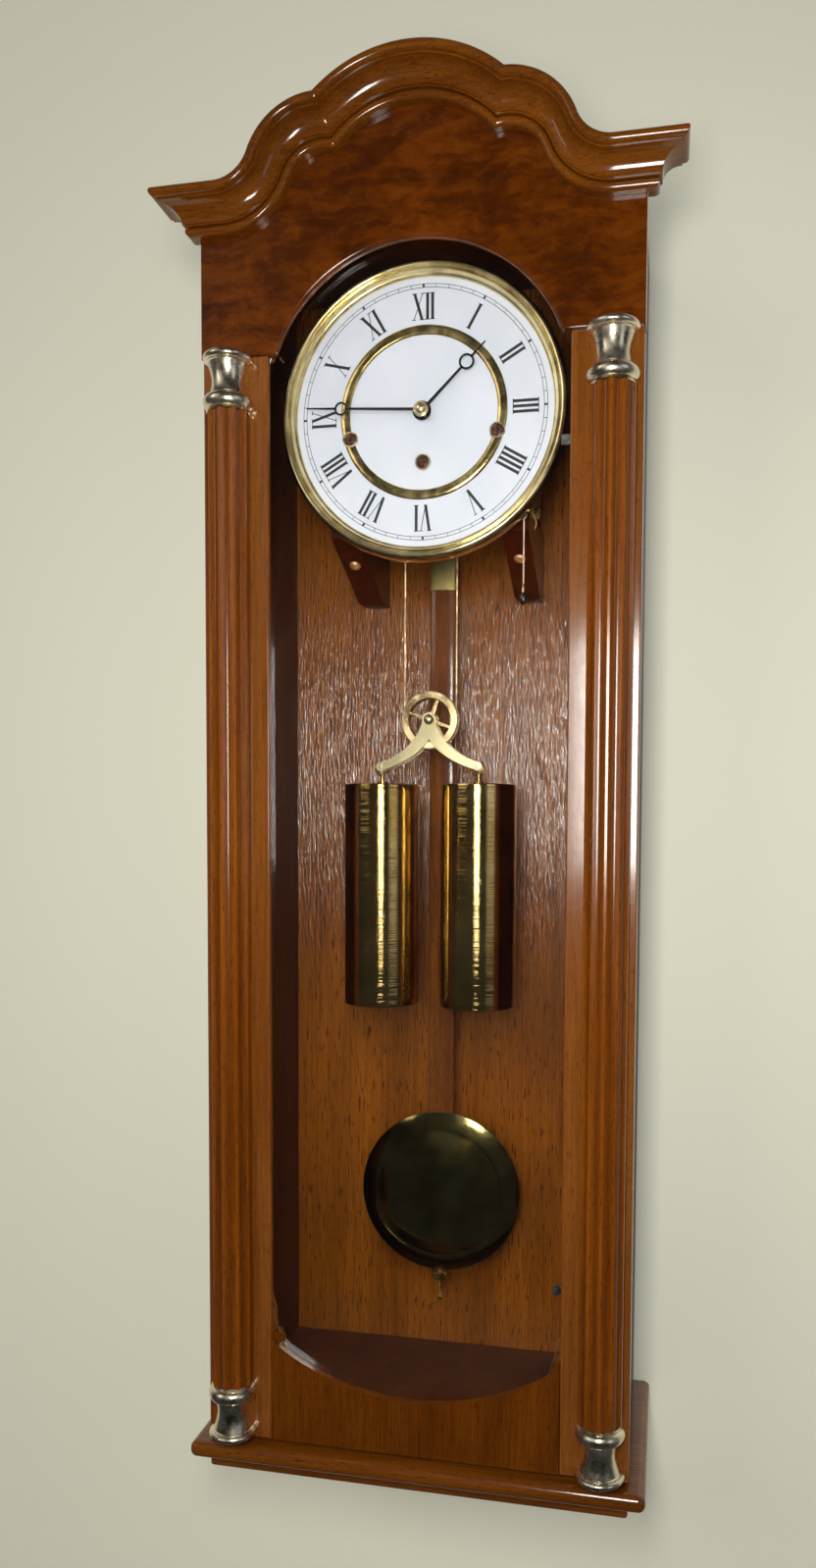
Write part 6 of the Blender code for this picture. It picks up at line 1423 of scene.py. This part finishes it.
# Copper plate with a satin sheen: a warm pale spot in the dark wood.
screw_copper = polished_metal("satin_copper_plate", "#fccf9c", "#e0ab78", 0.5, 3.0 * MM)
for hand, screw_turn in BRACKET_SCREW_TURNS.items():
    low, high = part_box(f"bracket_{hand}")
    side_view = [(high.y, low.z), (BRACKET_HEEL_Y, low.z), (low.y, BRACKET_NOSE_Z), (low.y, high.z),
                 (high.y, high.z)]
    ends = [[(x, y, z) for y, z in side_view] for x in (low.x, high.x)]
    wedge = soften(bridged(ends), BRACKET_ARRIS, 4,
                   lambda edge: edge_middle(edge).y < high.y - BRACKET_ARRIS
                   and edge_middle(edge).z < high.z - BRACKET_ARRIS)
    add_piece(f"bracket_wedge_{hand}", [wedge], "case", bracket_wood, [f"bracket_{hand}"])
    slope = Vector((0.0, low.y - BRACKET_HEEL_Y, BRACKET_NOSE_Z - low.z))
    normal = Vector((0.0, -slope.z, slope.y)).normalized()
    seat = Vector(((low.x + high.x) / 2, BRACKET_HEEL_Y, low.z)) + slope * BRACKET_SCREW_SHARE + normal * GAP
    place = Matrix.Translation(seat) @ normal.to_track_quat("Z", "Y").to_matrix().to_4x4()
    place = place @ Matrix.Rotation(screw_turn, 4, "Z")
    head = slotted_head(SCREW_RADIUS, SCREW_HEIGHT, place)
    add_piece(f"slotted_screw_{hand}", [head], "case", screw_copper, [f"bracket_screw_{hand}"],
              flats=False)

# Pulley: a cast and turned brass wheel with a round groove, a hub and four straight tapering
# spokes, free on the axle of the yoke.
PULLEY_RIM = 17.0 * MM
PULLEY_HUB = 5.0 * MM
PULLEY_TILT = math.radians(-20.0)
AXLE_RADIUS = 2.0 * MM
SPOKE_ROOT = 1.8 * MM
SPOKE_TIP = 1.1 * MM
SPOKE_HALF = 1.3 * MM
SPOKE_ARRIS = 0.5 * MM
GROOVE_SHARE = 0.62
GROOVE_STEPS = 5
WEB_SHARE = 0.6
PULLEY_LIP = 0.6 * MM
RUNNING_PLAY = 0.1 * MM
drive_y = cable_y
pulley_radius = pulley_high.x
pulley_half = (pulley_high.y - pulley_low.y) / 2
groove_radius = cable_offset - cable_radius - GAP
groove = []
for step in range(GROOVE_STEPS, -GROOVE_STEPS - 1, -1):
    share = step / GROOVE_STEPS
    groove.append((pulley_radius - (pulley_radius - groove_radius) * math.cos(math.pi / 2 * share),
                   pulley_half * GROOVE_SHARE * share))
lip = PULLEY_LIP
rim_profile = [(PULLEY_RIM, pulley_half), (pulley_radius - lip, pulley_half),
               (pulley_radius, pulley_half - lip)]
rim_profile += groove
rim_profile += [(pulley_radius, lip - pulley_half), (pulley_radius - lip, -pulley_half),
                (PULLEY_RIM, -pulley_half), (PULLEY_RIM - lip, -pulley_half * WEB_SHARE),
                (PULLEY_RIM - lip, pulley_half * WEB_SHARE)]
pulley_place = facing(0.0, drive_y, pulley_z)
hub_profile = [(AXLE_RADIUS + RUNNING_PLAY, pulley_half), (PULLEY_HUB - lip, pulley_half),
               (PULLEY_HUB, pulley_half - lip), (PULLEY_HUB, lip - pulley_half),
               (PULLEY_HUB - lip, -pulley_half), (AXLE_RADIUS + RUNNING_PLAY, -pulley_half)]
pulley_shapes = [turned(rim_profile, pulley_place, 96, closed=True),
                 turned(hub_profile, pulley_place, 48, closed=True)]
spoke_middle = (PULLEY_HUB + PULLEY_RIM) / 2
for quarter in range(4):
    spoke = slab([[(PULLEY_HUB - lip, -SPOKE_ROOT), (PULLEY_RIM, -SPOKE_TIP), (PULLEY_RIM, SPOKE_TIP),
                   (PULLEY_HUB - lip, SPOKE_ROOT)]], -SPOKE_HALF, SPOKE_HALF)
    soften(spoke, SPOKE_ARRIS, 3, lambda edge: abs(edge_middle(edge).x - spoke_middle) < PULLEY_HUB)
    turn = Matrix.Rotation(-PULLEY_TILT + quarter * math.pi / 2, 4, "Y")
    bmesh.ops.transform(spoke, matrix=Matrix.Translation((0.0, drive_y, pulley_z)) @ turn, verts=spoke.verts)
    pulley_shapes.append(spoke)
# Yoke brass: pale, greyish and satin.
drive_brass = polished_metal("satin_pale_brass", "#bfb492", "#aca07b", 0.38, 30.0 * MM)
# Wheel brass: light, warm and brighter than the yoke.
wheel_brass = polished_metal("bright_wheel_brass", "#ecd3a4", "#cbb083", 0.3, 12.0 * MM)
add_piece("spoked_pulley", pulley_shapes, "pulley", wheel_brass, ["pulley"])

# Yoke: two wishbone plates sawn from sheet brass astride the pulley, joined by its axle and by a
# pin for each weight. A dome nut closes the axle.
YOKE_THICK = 1.5 * MM
YOKE_PIN_X = 38.5 * MM
YOKE_PIN_Z = -371.0 * MM
YOKE_PIN_RADIUS = 1.5 * MM
YOKE_APEX_Z = -350.0 * MM
YOKE_HEAD = 5.5 * MM
YOKE_END = 3.4 * MM
YOKE_NUT = 4.0 * MM
YOKE_OFFSET = 5.2 * MM
YOKE_ARRIS = 0.28 * MM
OUTER_BEND_SHARES = (-0.66, 0.53)
INNER_BEND_SHARES = (-0.77, 0.29)
PIN_END_SHARE = 0.9
PIN_EDGE_SHARE = 0.75
HEAD_OPENING = math.radians(20)
UNDERSIDE = math.radians(140)


def bend(start, middle, end, steps=22):
    """A quadratic bend between two points, pulled towards a third."""
    points = []
    for step in range(steps + 1):
        share = step / steps
        point = start * (1 - share) ** 2 + middle * 2 * share * (1 - share) + end * share ** 2
        points.append((point.x, point.y))
    return points


def yoke_outline():
    """The wishbone plate's outline: round head, two bent arms and a round end about each pin."""
    pin = Vector((YOKE_PIN_X, YOKE_PIN_Z))
    arm_drop = YOKE_APEX_Z - YOKE_PIN_Z
    shoulder_point = Vector((YOKE_HEAD * math.cos(HEAD_OPENING),
                             pulley_z - YOKE_HEAD * math.sin(HEAD_OPENING)))
    outer_pull = Vector((OUTER_BEND_SHARES[0] * YOKE_PIN_X, OUTER_BEND_SHARES[1] * arm_drop))
    inner_pull = Vector((INNER_BEND_SHARES[0] * YOKE_PIN_X, INNER_BEND_SHARES[1] * arm_drop))
    outer = bend(shoulder_point, pin + outer_pull, pin + Vector((0.0, YOKE_END)))
    around = arc(tuple(pin), YOKE_END, math.pi / 2, math.pi / 2 + UNDERSIDE - ROUND, 24)
    inner_end = pin + Vector((-math.sin(UNDERSIDE), math.cos(UNDERSIDE))) * YOKE_END
    inner = bend(inner_end, pin + inner_pull, Vector((0.0, YOKE_APEX_Z)))
    right = outer + around[1:] + inner[1:]
    head = arc((0.0, pulley_z), YOKE_HEAD, math.pi + HEAD_OPENING, -HEAD_OPENING, 30)
    return head[1:-1] + right + [(-x, z) for x, z in reversed(right[:-1])]


yoke_shapes = []
for side in (-1, 1):
    middle_y = drive_y + side * YOKE_OFFSET
    plate = slab([yoke_outline()], middle_y - YOKE_THICK / 2, middle_y + YOKE_THICK / 2)
    yoke_shapes.append(soften(plate, YOKE_ARRIS, 2))
for side in (-1, 1):
    pin_end = YOKE_OFFSET + YOKE_THICK * PIN_END_SHARE
    pin_edge = YOKE_OFFSET + YOKE_THICK * PIN_EDGE_SHARE
    pin_profile = [(0.0, pin_end), (YOKE_PIN_RADIUS, pin_edge), (YOKE_PIN_RADIUS, -pin_edge), (0.0, -pin_end)]
    yoke_shapes.append(turned(pin_profile, facing(side * YOKE_PIN_X, drive_y, YOKE_PIN_Z), 24))
axle_front = YOKE_OFFSET + YOKE_THICK / 2
axle_profile = [(radius, axle_front + height) for radius, height in dome(YOKE_NUT, YOKE_NUT * 0.75, 10)]
axle_profile += [(YOKE_NUT, axle_front - RUNNING_PLAY), (AXLE_RADIUS, axle_front - RUNNING_PLAY),
                 (AXLE_RADIUS, -axle_front - GAP), (0.0, -axle_front - GAP)]
yoke_shapes.append(turned(axle_profile, pulley_place, 40))
add_piece("wishbone_yoke", yoke_shapes, "carrier", drive_brass, ["yoke"])

# Weights: two brass shells, drawn, filled and polished round and round, closed by flat caps with a
# beaded edge. A wire eye on top hangs from the yoke, and a nut below holds the filling.
WEIGHT_TOP_Z = -385.0 * MM
WEIGHT_FOOT_Z = -556.5 * MM
EYE_RADIUS = 4.5 * MM
EYE_WIRE = 0.9 * MM
WEIGHT_EDGE = 0.9 * MM
WEIGHT_EDGE_STEPS = 6
WEIGHT_LIP = 2.6 * MM
WEIGHT_LINE = 0.5 * MM
WEIGHT_WAIST = 0.08 * MM
TOP_NUT = ((1.6 * MM, 2.5 * MM), (3.6 * MM, 2.5 * MM), (4.0 * MM, 2.1 * MM), (4.0 * MM, 0.0))
FOOT_NUT = ((4.2 * MM, 0.0), (4.2 * MM, 3.4 * MM), (3.6 * MM, 4.0 * MM), (2.1 * MM, 4.1 * MM),
            (2.1 * MM, 4.6 * MM), (0.0, 4.6 * MM))


def weight_line(radius, top, foot, stem_top):
    """A weight's section as (radius, height), from its stem's top down."""
    edge = WEIGHT_EDGE
    line = WEIGHT_LINE
    upper = top - WEIGHT_LIP
    lower = foot + WEIGHT_LIP
    angles = [math.pi / 2 * step / WEIGHT_EDGE_STEPS for step in range(WEIGHT_EDGE_STEPS + 1)]
    points = [(0.0, stem_top), (TOP_NUT[0][0], stem_top)]
    points += [(nut_radius, top + height) for nut_radius, height in TOP_NUT]
    points += [(radius - edge + edge * math.sin(angle), top - edge + edge * math.cos(angle))
               for angle in angles]
    points += [(radius, upper), (radius - line, upper - line * 0.6), (radius - line, upper - line * 1.4),
               (radius - WEIGHT_WAIST, upper - line * 2), (radius - WEIGHT_WAIST, lower + line * 2),
               (radius - line, lower + line * 1.4), (radius - line, lower + line * 0.6), (radius, lower)]
    points += [(radius - edge + edge * math.cos(angle), foot + edge - edge * math.sin(angle))
               for angle in angles]
    return points + [(nut_radius, foot - depth) for nut_radius, depth in FOOT_NUT]


# Weight brass: almost a mirror, with fine lines round the shell that spread the light.
weight_brass = polished_metal("polished_weight_brass", "#dcbf80", "#c0a05a", 0.055, 40.0 * MM,
                              brushed=(1 / (60.0 * MM), 1 / (60.0 * MM), 1 / (0.6 * MM)))
for side, hand in ((-1, "left"), (1, "right")):
    low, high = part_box(f"weight_{hand}")
    centre_x = (low.x + high.x) / 2
    radius = (high.x - low.x) / 2
    eye_z = YOKE_PIN_Z + YOKE_PIN_RADIUS + GAP - (EYE_RADIUS - EYE_WIRE)
    section = weight_line(radius, WEIGHT_TOP_Z, WEIGHT_FOOT_Z, eye_z - EYE_RADIUS + EYE_WIRE / 2)
    eye = turned([(EYE_RADIUS + EYE_WIRE * x, EYE_WIRE * z) for x, z in circle((0.0, 0.0), 1.0, 16)],
                 facing(centre_x, drive_y, eye_z), 40, closed=True)
    add_piece(f"brass_weight_{hand}", [turned(section, upright(centre_x, drive_y, 0.0), 128), eye],
              f"{hand}_weight", weight_brass, [f"weight_{hand}"], flats=False)

# Pendulum: a thin steel spring in a tapering brass head, a flat varnished wooden rod, a polished
# brass bob made of two dished shells, and a rating screw with a milled nut below it.
PENDULUM_Y = -50.0 * MM
SPRING_FOOT_Z = -150.0 * MM
SPRING_HALF = 4.0 * MM
SPRING_THICK = 0.5 * MM
SPRING_SEAT = 2 * MM
SPRING_BLOCK_MARGIN = 1.0 * MM
SPRING_BLOCK_HALF = 2 * MM
SPRING_BLOCK_HEIGHT = 9 * MM
SPRING_BLOCK_ARRIS = 0.4 * MM
HEAD_PLATE_Z = -188.0 * MM
HEAD_PLATE_DROP = 2 * MM
HEAD_PLATE_ARRIS = 0.5 * MM
NECK_MARGIN = 1.2 * MM
NECK_HEIGHT = 6 * MM
SLEEVE_ARRIS = 0.3 * MM
BOW_EDGE_OUT = 1.2 * MM
BOW_STEPS = 24
ROD_ARRIS = 0.8 * MM
BOB_Z = -722.0 * MM
BOB_STEP_SHARE = 0.78
BOB_STEP_TOP = 5.4 * MM
BOB_STEP_FOOT = 4.6 * MM
BOB_EDGE_HALF = 1.4 * MM
BOB_RIM_POWER = 1.6
BOB_DISH_STEPS = 28
BOB_RIM_STEPS = 12
ROD_BEHIND_HALF = 1.0 * MM
NUT_TEETH = 44
NUT_TOOTH = 0.3 * MM
NUT_EDGE = 0.9 * MM
NUT_FACE = 1.4 * MM
THREAD_PITCH = 0.7 * MM
head_box_low, head_box_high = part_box("pendulum_top")
rod_low, rod_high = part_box("pendulum_rod")
rod_half = rod_high.x
neck_half = SPRING_HALF + NECK_MARGIN
head_points = [(-rod_half, head_box_low.z), (rod_half, head_box_low.z), (rod_half, HEAD_PLATE_Z),
               (neck_half, SPRING_FOOT_Z - NECK_HEIGHT), (neck_half, SPRING_FOOT_Z),
               (-neck_half, SPRING_FOOT_Z),
               (-neck_half, SPRING_FOOT_Z - NECK_HEIGHT), (-rod_half, HEAD_PLATE_Z)]
head_points = [(x, max(z, HEAD_PLATE_Z - HEAD_PLATE_DROP)) for x, z in head_points]
head_plate = soften(slab([head_points], head_box_low.y, head_box_high.y), HEAD_PLATE_ARRIS, 3)


def bowed(half, low_z, high_z, front_y, edge_y, back_y):
    """A flat bar whose front is gently rounded from side to side."""
    outline = [(half * math.cos(angle), edge_y + (front_y - edge_y) * math.sin(angle))
               for angle in (math.pi * step / BOW_STEPS for step in range(BOW_STEPS + 1))]
    return standing(outline + [(-half, back_y), (half, back_y)], low_z, high_z)


bow_edge_y = PENDULUM_Y - BOW_EDGE_OUT
sleeve = bowed(rod_half, head_box_low.z, HEAD_PLATE_Z, head_box_low.y, bow_edge_y, head_box_high.y)
soften(sleeve, SLEEVE_ARRIS, 2, lambda edge: abs(edge.verts[0].co.z - edge.verts[1].co.z) < GAP)
spring = block((-SPRING_HALF, PENDULUM_Y - SPRING_THICK / 2, SPRING_FOOT_Z - SPRING_SEAT),
               (SPRING_HALF, PENDULUM_Y + SPRING_THICK / 2, head_box_high.z))
block_half = SPRING_HALF + SPRING_BLOCK_MARGIN
spring_block = block((-block_half, PENDULUM_Y - SPRING_BLOCK_HALF, head_box_high.z - SPRING_BLOCK_HEIGHT),
                     (block_half, PENDULUM_Y + SPRING_BLOCK_HALF, head_box_high.z))
soften(spring_block, SPRING_BLOCK_ARRIS, 2)
# Dull brass with an olive cast: a flat, quiet patch above the rod.
olive_brass = polished_metal("dull_olive_brass", "#8d7f52", "#766940", 0.4, 20.0 * MM)
add_piece("pendulum_head", [head_plate, sleeve, spring, spring_block], "pendulum", olive_brass,
          ["pendulum_top"])
# Rod: dark brown wood with a thin gloss.
rod_gloss = veneer("varnished_rod_wood", ("#41200a", "#582d0f", "#6b4017"), "#2d1609", "Z",
                   {"figure": (9 * MM, 200 * MM, 3.0), "grain": (1.2 * MM, 50 * MM, 4.0),
                    "pores": (0.5 * MM, 8 * MM, 2.0)}, 0.32, 1.0, 0.1, GLOSSY_PORE)
bob_low, bob_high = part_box("pendulum_bob")
bob_radius = (bob_high.z - bob_low.z) / 2
bob_half = (bob_high.y - bob_low.y) / 2
rod_shape = bowed(rod_half, bob_high.z + GAP, rod_high.z, rod_low.y, bow_edge_y, rod_high.y)
rod_inside = block((-rod_half, PENDULUM_Y - ROD_BEHIND_HALF, rod_low.z),
                   (rod_half, rod_high.y, bob_high.z + ROD_ARRIS))
add_piece("wooden_rod", [rod_shape, rod_inside], "pendulum", rod_gloss, ["pendulum_rod"])
step_radius = bob_radius * BOB_STEP_SHARE
bob_front = []
for step in range(BOB_DISH_STEPS + 1):
    share = step / BOB_DISH_STEPS
    bob_front.append((step_radius * share, bob_half - (bob_half - BOB_STEP_TOP) * share ** 2))
for step in range(BOB_RIM_STEPS + 1):
    share = step / BOB_RIM_STEPS
    bob_front.append((step_radius + GAP + (bob_radius - step_radius - GAP) * share,
                      BOB_STEP_FOOT - (BOB_STEP_FOOT - BOB_EDGE_HALF) * share ** BOB_RIM_POWER))
bob_line = bob_front + [(radius, -height) for radius, height in reversed(bob_front)]
# Bob brass: a dark olive mirror with a bright rim.
bob_brass = polished_metal("polished_bob_brass", "#9b8e5a", "#75693c", 0.1, 30.0 * MM)
add_piece("lens_bob", [turned(bob_line, facing(0.0, PENDULUM_Y, BOB_Z), 128)], "pendulum", bob_brass,
          ["pendulum_bob"], crease=20.0, flats=False)
screw_low, screw_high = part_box("rating_screw")
screw_radius = (screw_high.x - screw_low.x) / 2
thread = [(0.0, screw_high.z)]
turns = int((screw_high.z - screw_low.z) / THREAD_PITCH)
for turn in range(turns):
    thread.append((screw_radius * 0.82, screw_high.z - THREAD_PITCH * (turn + 0.1)))
    thread.append((screw_radius, screw_high.z - THREAD_PITCH * (turn + 0.5)))
thread += [(screw_radius * 0.8, screw_low.z), (0.0, screw_low.z)]
add_piece("threaded_stud", [turned(thread, upright(0.0, PENDULUM_Y, 0.0), 32)], "pendulum", plain_brass,
          ["rating_screw"], crease=60.0, flats=False)
nut_low, nut_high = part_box("rating_nut")
nut_radius = (nut_high.x - nut_low.x) / 2
milled = []
for tooth in range(NUT_TEETH):
    for share, reach in ((0.0, nut_radius - NUT_TOOTH), (0.35, nut_radius), (0.65, nut_radius)):
        angle = ROUND * (tooth + share) / NUT_TEETH
        milled.append((reach * math.cos(angle), PENDULUM_Y + reach * math.sin(angle)))
milled_band = standing(milled, nut_low.z + NUT_EDGE, nut_high.z - NUT_EDGE)
nut_bore = screw_radius + RUNNING_PLAY
nut_core = [(nut_bore, nut_high.z), (nut_radius - NUT_FACE, nut_high.z),
            (nut_radius - NUT_TOOTH, nut_high.z - NUT_EDGE), (nut_radius - NUT_TOOTH, nut_low.z + NUT_EDGE),
            (nut_radius - NUT_FACE, nut_low.z), (nut_bore, nut_low.z)]
core = turned(nut_core, upright(0.0, PENDULUM_Y, 0.0), 64, closed=True)
add_piece("milled_rating_nut", [milled_band, core], "rating_nut", plain_brass, ["rating_nut"])

# Repeat lever: bent and plated brass wire on a small turned boss, with a hook at its end for the
# pull cord.
LEVER_X = 40.0 * MM
LEVER_Z = -170.0 * MM
LEVER_BOSS = 3.2 * MM
LEVER_BOSS_ARRIS = 0.4 * MM
LEVER_WIRE = 0.8 * MM
STUD_BORE = 1.6 * MM
lever_low, lever_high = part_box("repeat_lever")
boss_half = (lever_high.y - lever_low.y) / 2
hook_z = cord_high.z + LEVER_WIRE + GAP
arm = Vector((cord_x - LEVER_X, hook_z - LEVER_Z))
start = Vector((LEVER_X, LEVER_Z)) + arm.normalized() * (LEVER_BOSS - LEVER_WIRE)
middle = Vector((LEVER_X, LEVER_Z)) + arm * 0.5 + Vector((LEVER_WIRE, LEVER_WIRE))
hook = 4 * LEVER_WIRE
lever_route = smooth_line([tuple(start), tuple(middle), (cord_x - hook, hook_z + hook * 0.8),
                           (cord_x - hook / 4, hook_z + GAP), (cord_x, hook_z),
                           (cord_x + hook / 4, hook_z + GAP),
                           (cord_x + hook / 2, hook_z + hook / 2), (cord_x + hook / 2, hook_z + hook)], 6)
boss_edge = boss_half - LEVER_BOSS_ARRIS
boss_profile = [(STUD_BORE, boss_half), (LEVER_BOSS - LEVER_BOSS_ARRIS, boss_half), (LEVER_BOSS, boss_edge),
                (LEVER_BOSS, -boss_edge), (LEVER_BOSS - LEVER_BOSS_ARRIS, -boss_half),
                (STUD_BORE, -boss_half)]
lever_shapes = [wires([[(x, cord_y, z) for x, z in lever_route]], LEVER_WIRE, 4),
                turned(boss_profile, facing(LEVER_X, cord_y, LEVER_Z), 32, closed=True)]
add_piece("wire_lever", lever_shapes, "lever", pale_plate, ["repeat_lever"], flats=False)

# Room: a plain wall close behind the case and a pale floor far below, neither part of the clock.
# Seen from behind, both let the view through.
WALL_Y = 1.0 * MM
FLOOR_Z = -1.25
ROOM_HALF = 3.0


def plain_paint(name, code, one_sided=False, glow=0.0):
    """Matt paint; one-sided, it hides nothing from behind. A glow lifts what the lens sees of it."""
    material, tree = new_material(name)
    shader = add_node(tree, "BsdfPrincipled", {"Base Color": linear(code), "Roughness": 0.9})
    surface = shader.outputs["BSDF"]
    if glow:
        path = add_node(tree, "LightPath")
        seen = add_node(tree, "Math", operation="MAXIMUM",
                        links={0: path.outputs["Is Camera Ray"], 1: path.outputs["Is Glossy Ray"]})
        through = add_node(tree, "Math", operation="MAXIMUM",
                           links={0: seen.outputs["Value"], 1: path.outputs["Is Transmission Ray"]})
        light = add_node(tree, "Emission", {"Color": linear(code), "Strength": glow})
        both = add_node(tree, "AddShader", links={0: surface, 1: light.outputs["Emission"]})
        lifted = add_node(tree, "MixShader", links={0: through.outputs["Value"], 1: surface,
                                                    2: both.outputs["Shader"]})
        surface = lifted.outputs["Shader"]
    if one_sided:
        side = add_node(tree, "NewGeometry")
        path = add_node(tree, "LightPath")
        away = add_node(tree, "Math", links={0: side.outputs["Backfacing"], 1: path.outputs["Is Shadow Ray"]},
                        operation="MAXIMUM")
        clear = add_node(tree, "BsdfTransparent")
        mixed = add_node(tree, "MixShader", links={0: away.outputs["Value"], 1: surface,
                                                   2: clear.outputs["BSDF"]})
        surface = mixed.outputs["Shader"]
    add_node(tree, "OutputMaterial", links={"Surface": surface})
    return material


def stage_plane(name, corners, material):
    """A flat surface of the room, on no body of the clock."""
    bm = bmesh.new()
    bm.faces.new([bm.verts.new(corner) for corner in corners])
    mesh = bpy.data.meshes.new(name)
    bm.to_mesh(mesh)
    bm.free()
    mesh.materials.append(material)
    plane = bpy.data.objects.new(name, mesh)
    bpy.context.scene.collection.objects.link(plane)
    return plane


stage_plane("wall", [(-ROOM_HALF, WALL_Y, FLOOR_Z), (ROOM_HALF, WALL_Y, FLOOR_Z),
                     (ROOM_HALF, WALL_Y, ROOM_HALF), (-ROOM_HALF, WALL_Y, ROOM_HALF)],
            plain_paint("wall_paint", "#e3e3d1", one_sided=True, glow=0.24))
floor = stage_plane("floor", [(-ROOM_HALF, -ROOM_HALF, FLOOR_Z), (ROOM_HALF, -ROOM_HALF, FLOOR_Z),
                              (ROOM_HALF, ROOM_HALF, FLOOR_Z), (-ROOM_HALF, ROOM_HALF, FLOOR_Z)],
                    plain_paint("floor_paint", "#cfccc0", one_sided=True, glow=0.15))
floor.visible_glossy = False
floor.visible_transmission = False

# Light: a small lamp beside the lens, a large soft one in front on the left, a weaker one on the
# right, and one behind the wall for views from the back, in a dim room. A dark card behind the lens
# is all that polished pieces see of the room.
CARD_HALF = 1.25
CARD_Y = -1.32
CARD_DROP = 0.4
CLOCK_MIDDLE = (0.0, -0.15, -0.42)


def add_lamp(name, place, target, size, power, colour):
    """A soft rectangular lamp that looks at a target."""
    data = bpy.data.lights.new(name, "AREA")
    data.shape = "RECTANGLE"
    data.size = size[0]
    data.size_y = size[1]
    data.energy = power
    data.color = linear(colour)[:3]
    lamp = bpy.data.objects.new(name, data)
    bpy.context.scene.collection.objects.link(lamp)
    aim = (Vector(target) - Vector(place)).to_track_quat("-Z", "Y").to_matrix().to_4x4()
    lamp.matrix_world = Matrix.Translation(place) @ aim


add_lamp("flash", CAMERA_PLACE + Vector((-0.06, 0.0, 0.1)), CLOCK_MIDDLE, (0.12, 0.32), 4.8, "#fffbf4")
add_lamp("soft_left", (-1.9, -2.3, 0.9), CLOCK_MIDDLE, (1.5, 1.5), 16.0, "#fff6ea")
add_lamp("soft_right", (2.2, -2.0, 0.2), CLOCK_MIDDLE, (1.4, 1.6), 6.0, "#f4f6ff")
add_lamp("soft_back", (0.6, 2.4, 0.6), CLOCK_MIDDLE, (1.5, 1.5), 14.0, "#ffffff")
card_foot = -CARD_HALF - CARD_DROP
card_top = CARD_HALF - CARD_DROP
card = stage_plane("dark_card", [(-CARD_HALF, CARD_Y, card_foot), (CARD_HALF, CARD_Y, card_foot),
                                 (CARD_HALF, CARD_Y, card_top), (-CARD_HALF, CARD_Y, card_top)],
                   plain_paint("dark_card_paint", "#0c0b0a"))
card.visible_camera = False
card.visible_diffuse = False
card.visible_transmission = False
card.visible_shadow = False
world = bpy.data.worlds.new("room")
world.use_nodes = True
world.node_tree.nodes.clear()
path = add_node(world.node_tree, "LightPath")
background = add_node(world.node_tree, "Background", {"Color": linear("#cfd2d6"), "Strength": 0.05})
backdrop = add_node(world.node_tree, "Background", {"Color": linear("#c8c8b4"), "Strength": 1.0})
seen = add_node(world.node_tree, "MixShader", links={0: path.outputs["Is Camera Ray"],
                                                     1: background.outputs["Background"],
                                                     2: backdrop.outputs["Background"]})
add_node(world.node_tree, "OutputWorld", links={"Surface": seen.outputs["Shader"]})
bpy.context.scene.world = world
bpy.context.scene.view_settings.view_transform = "Standard"
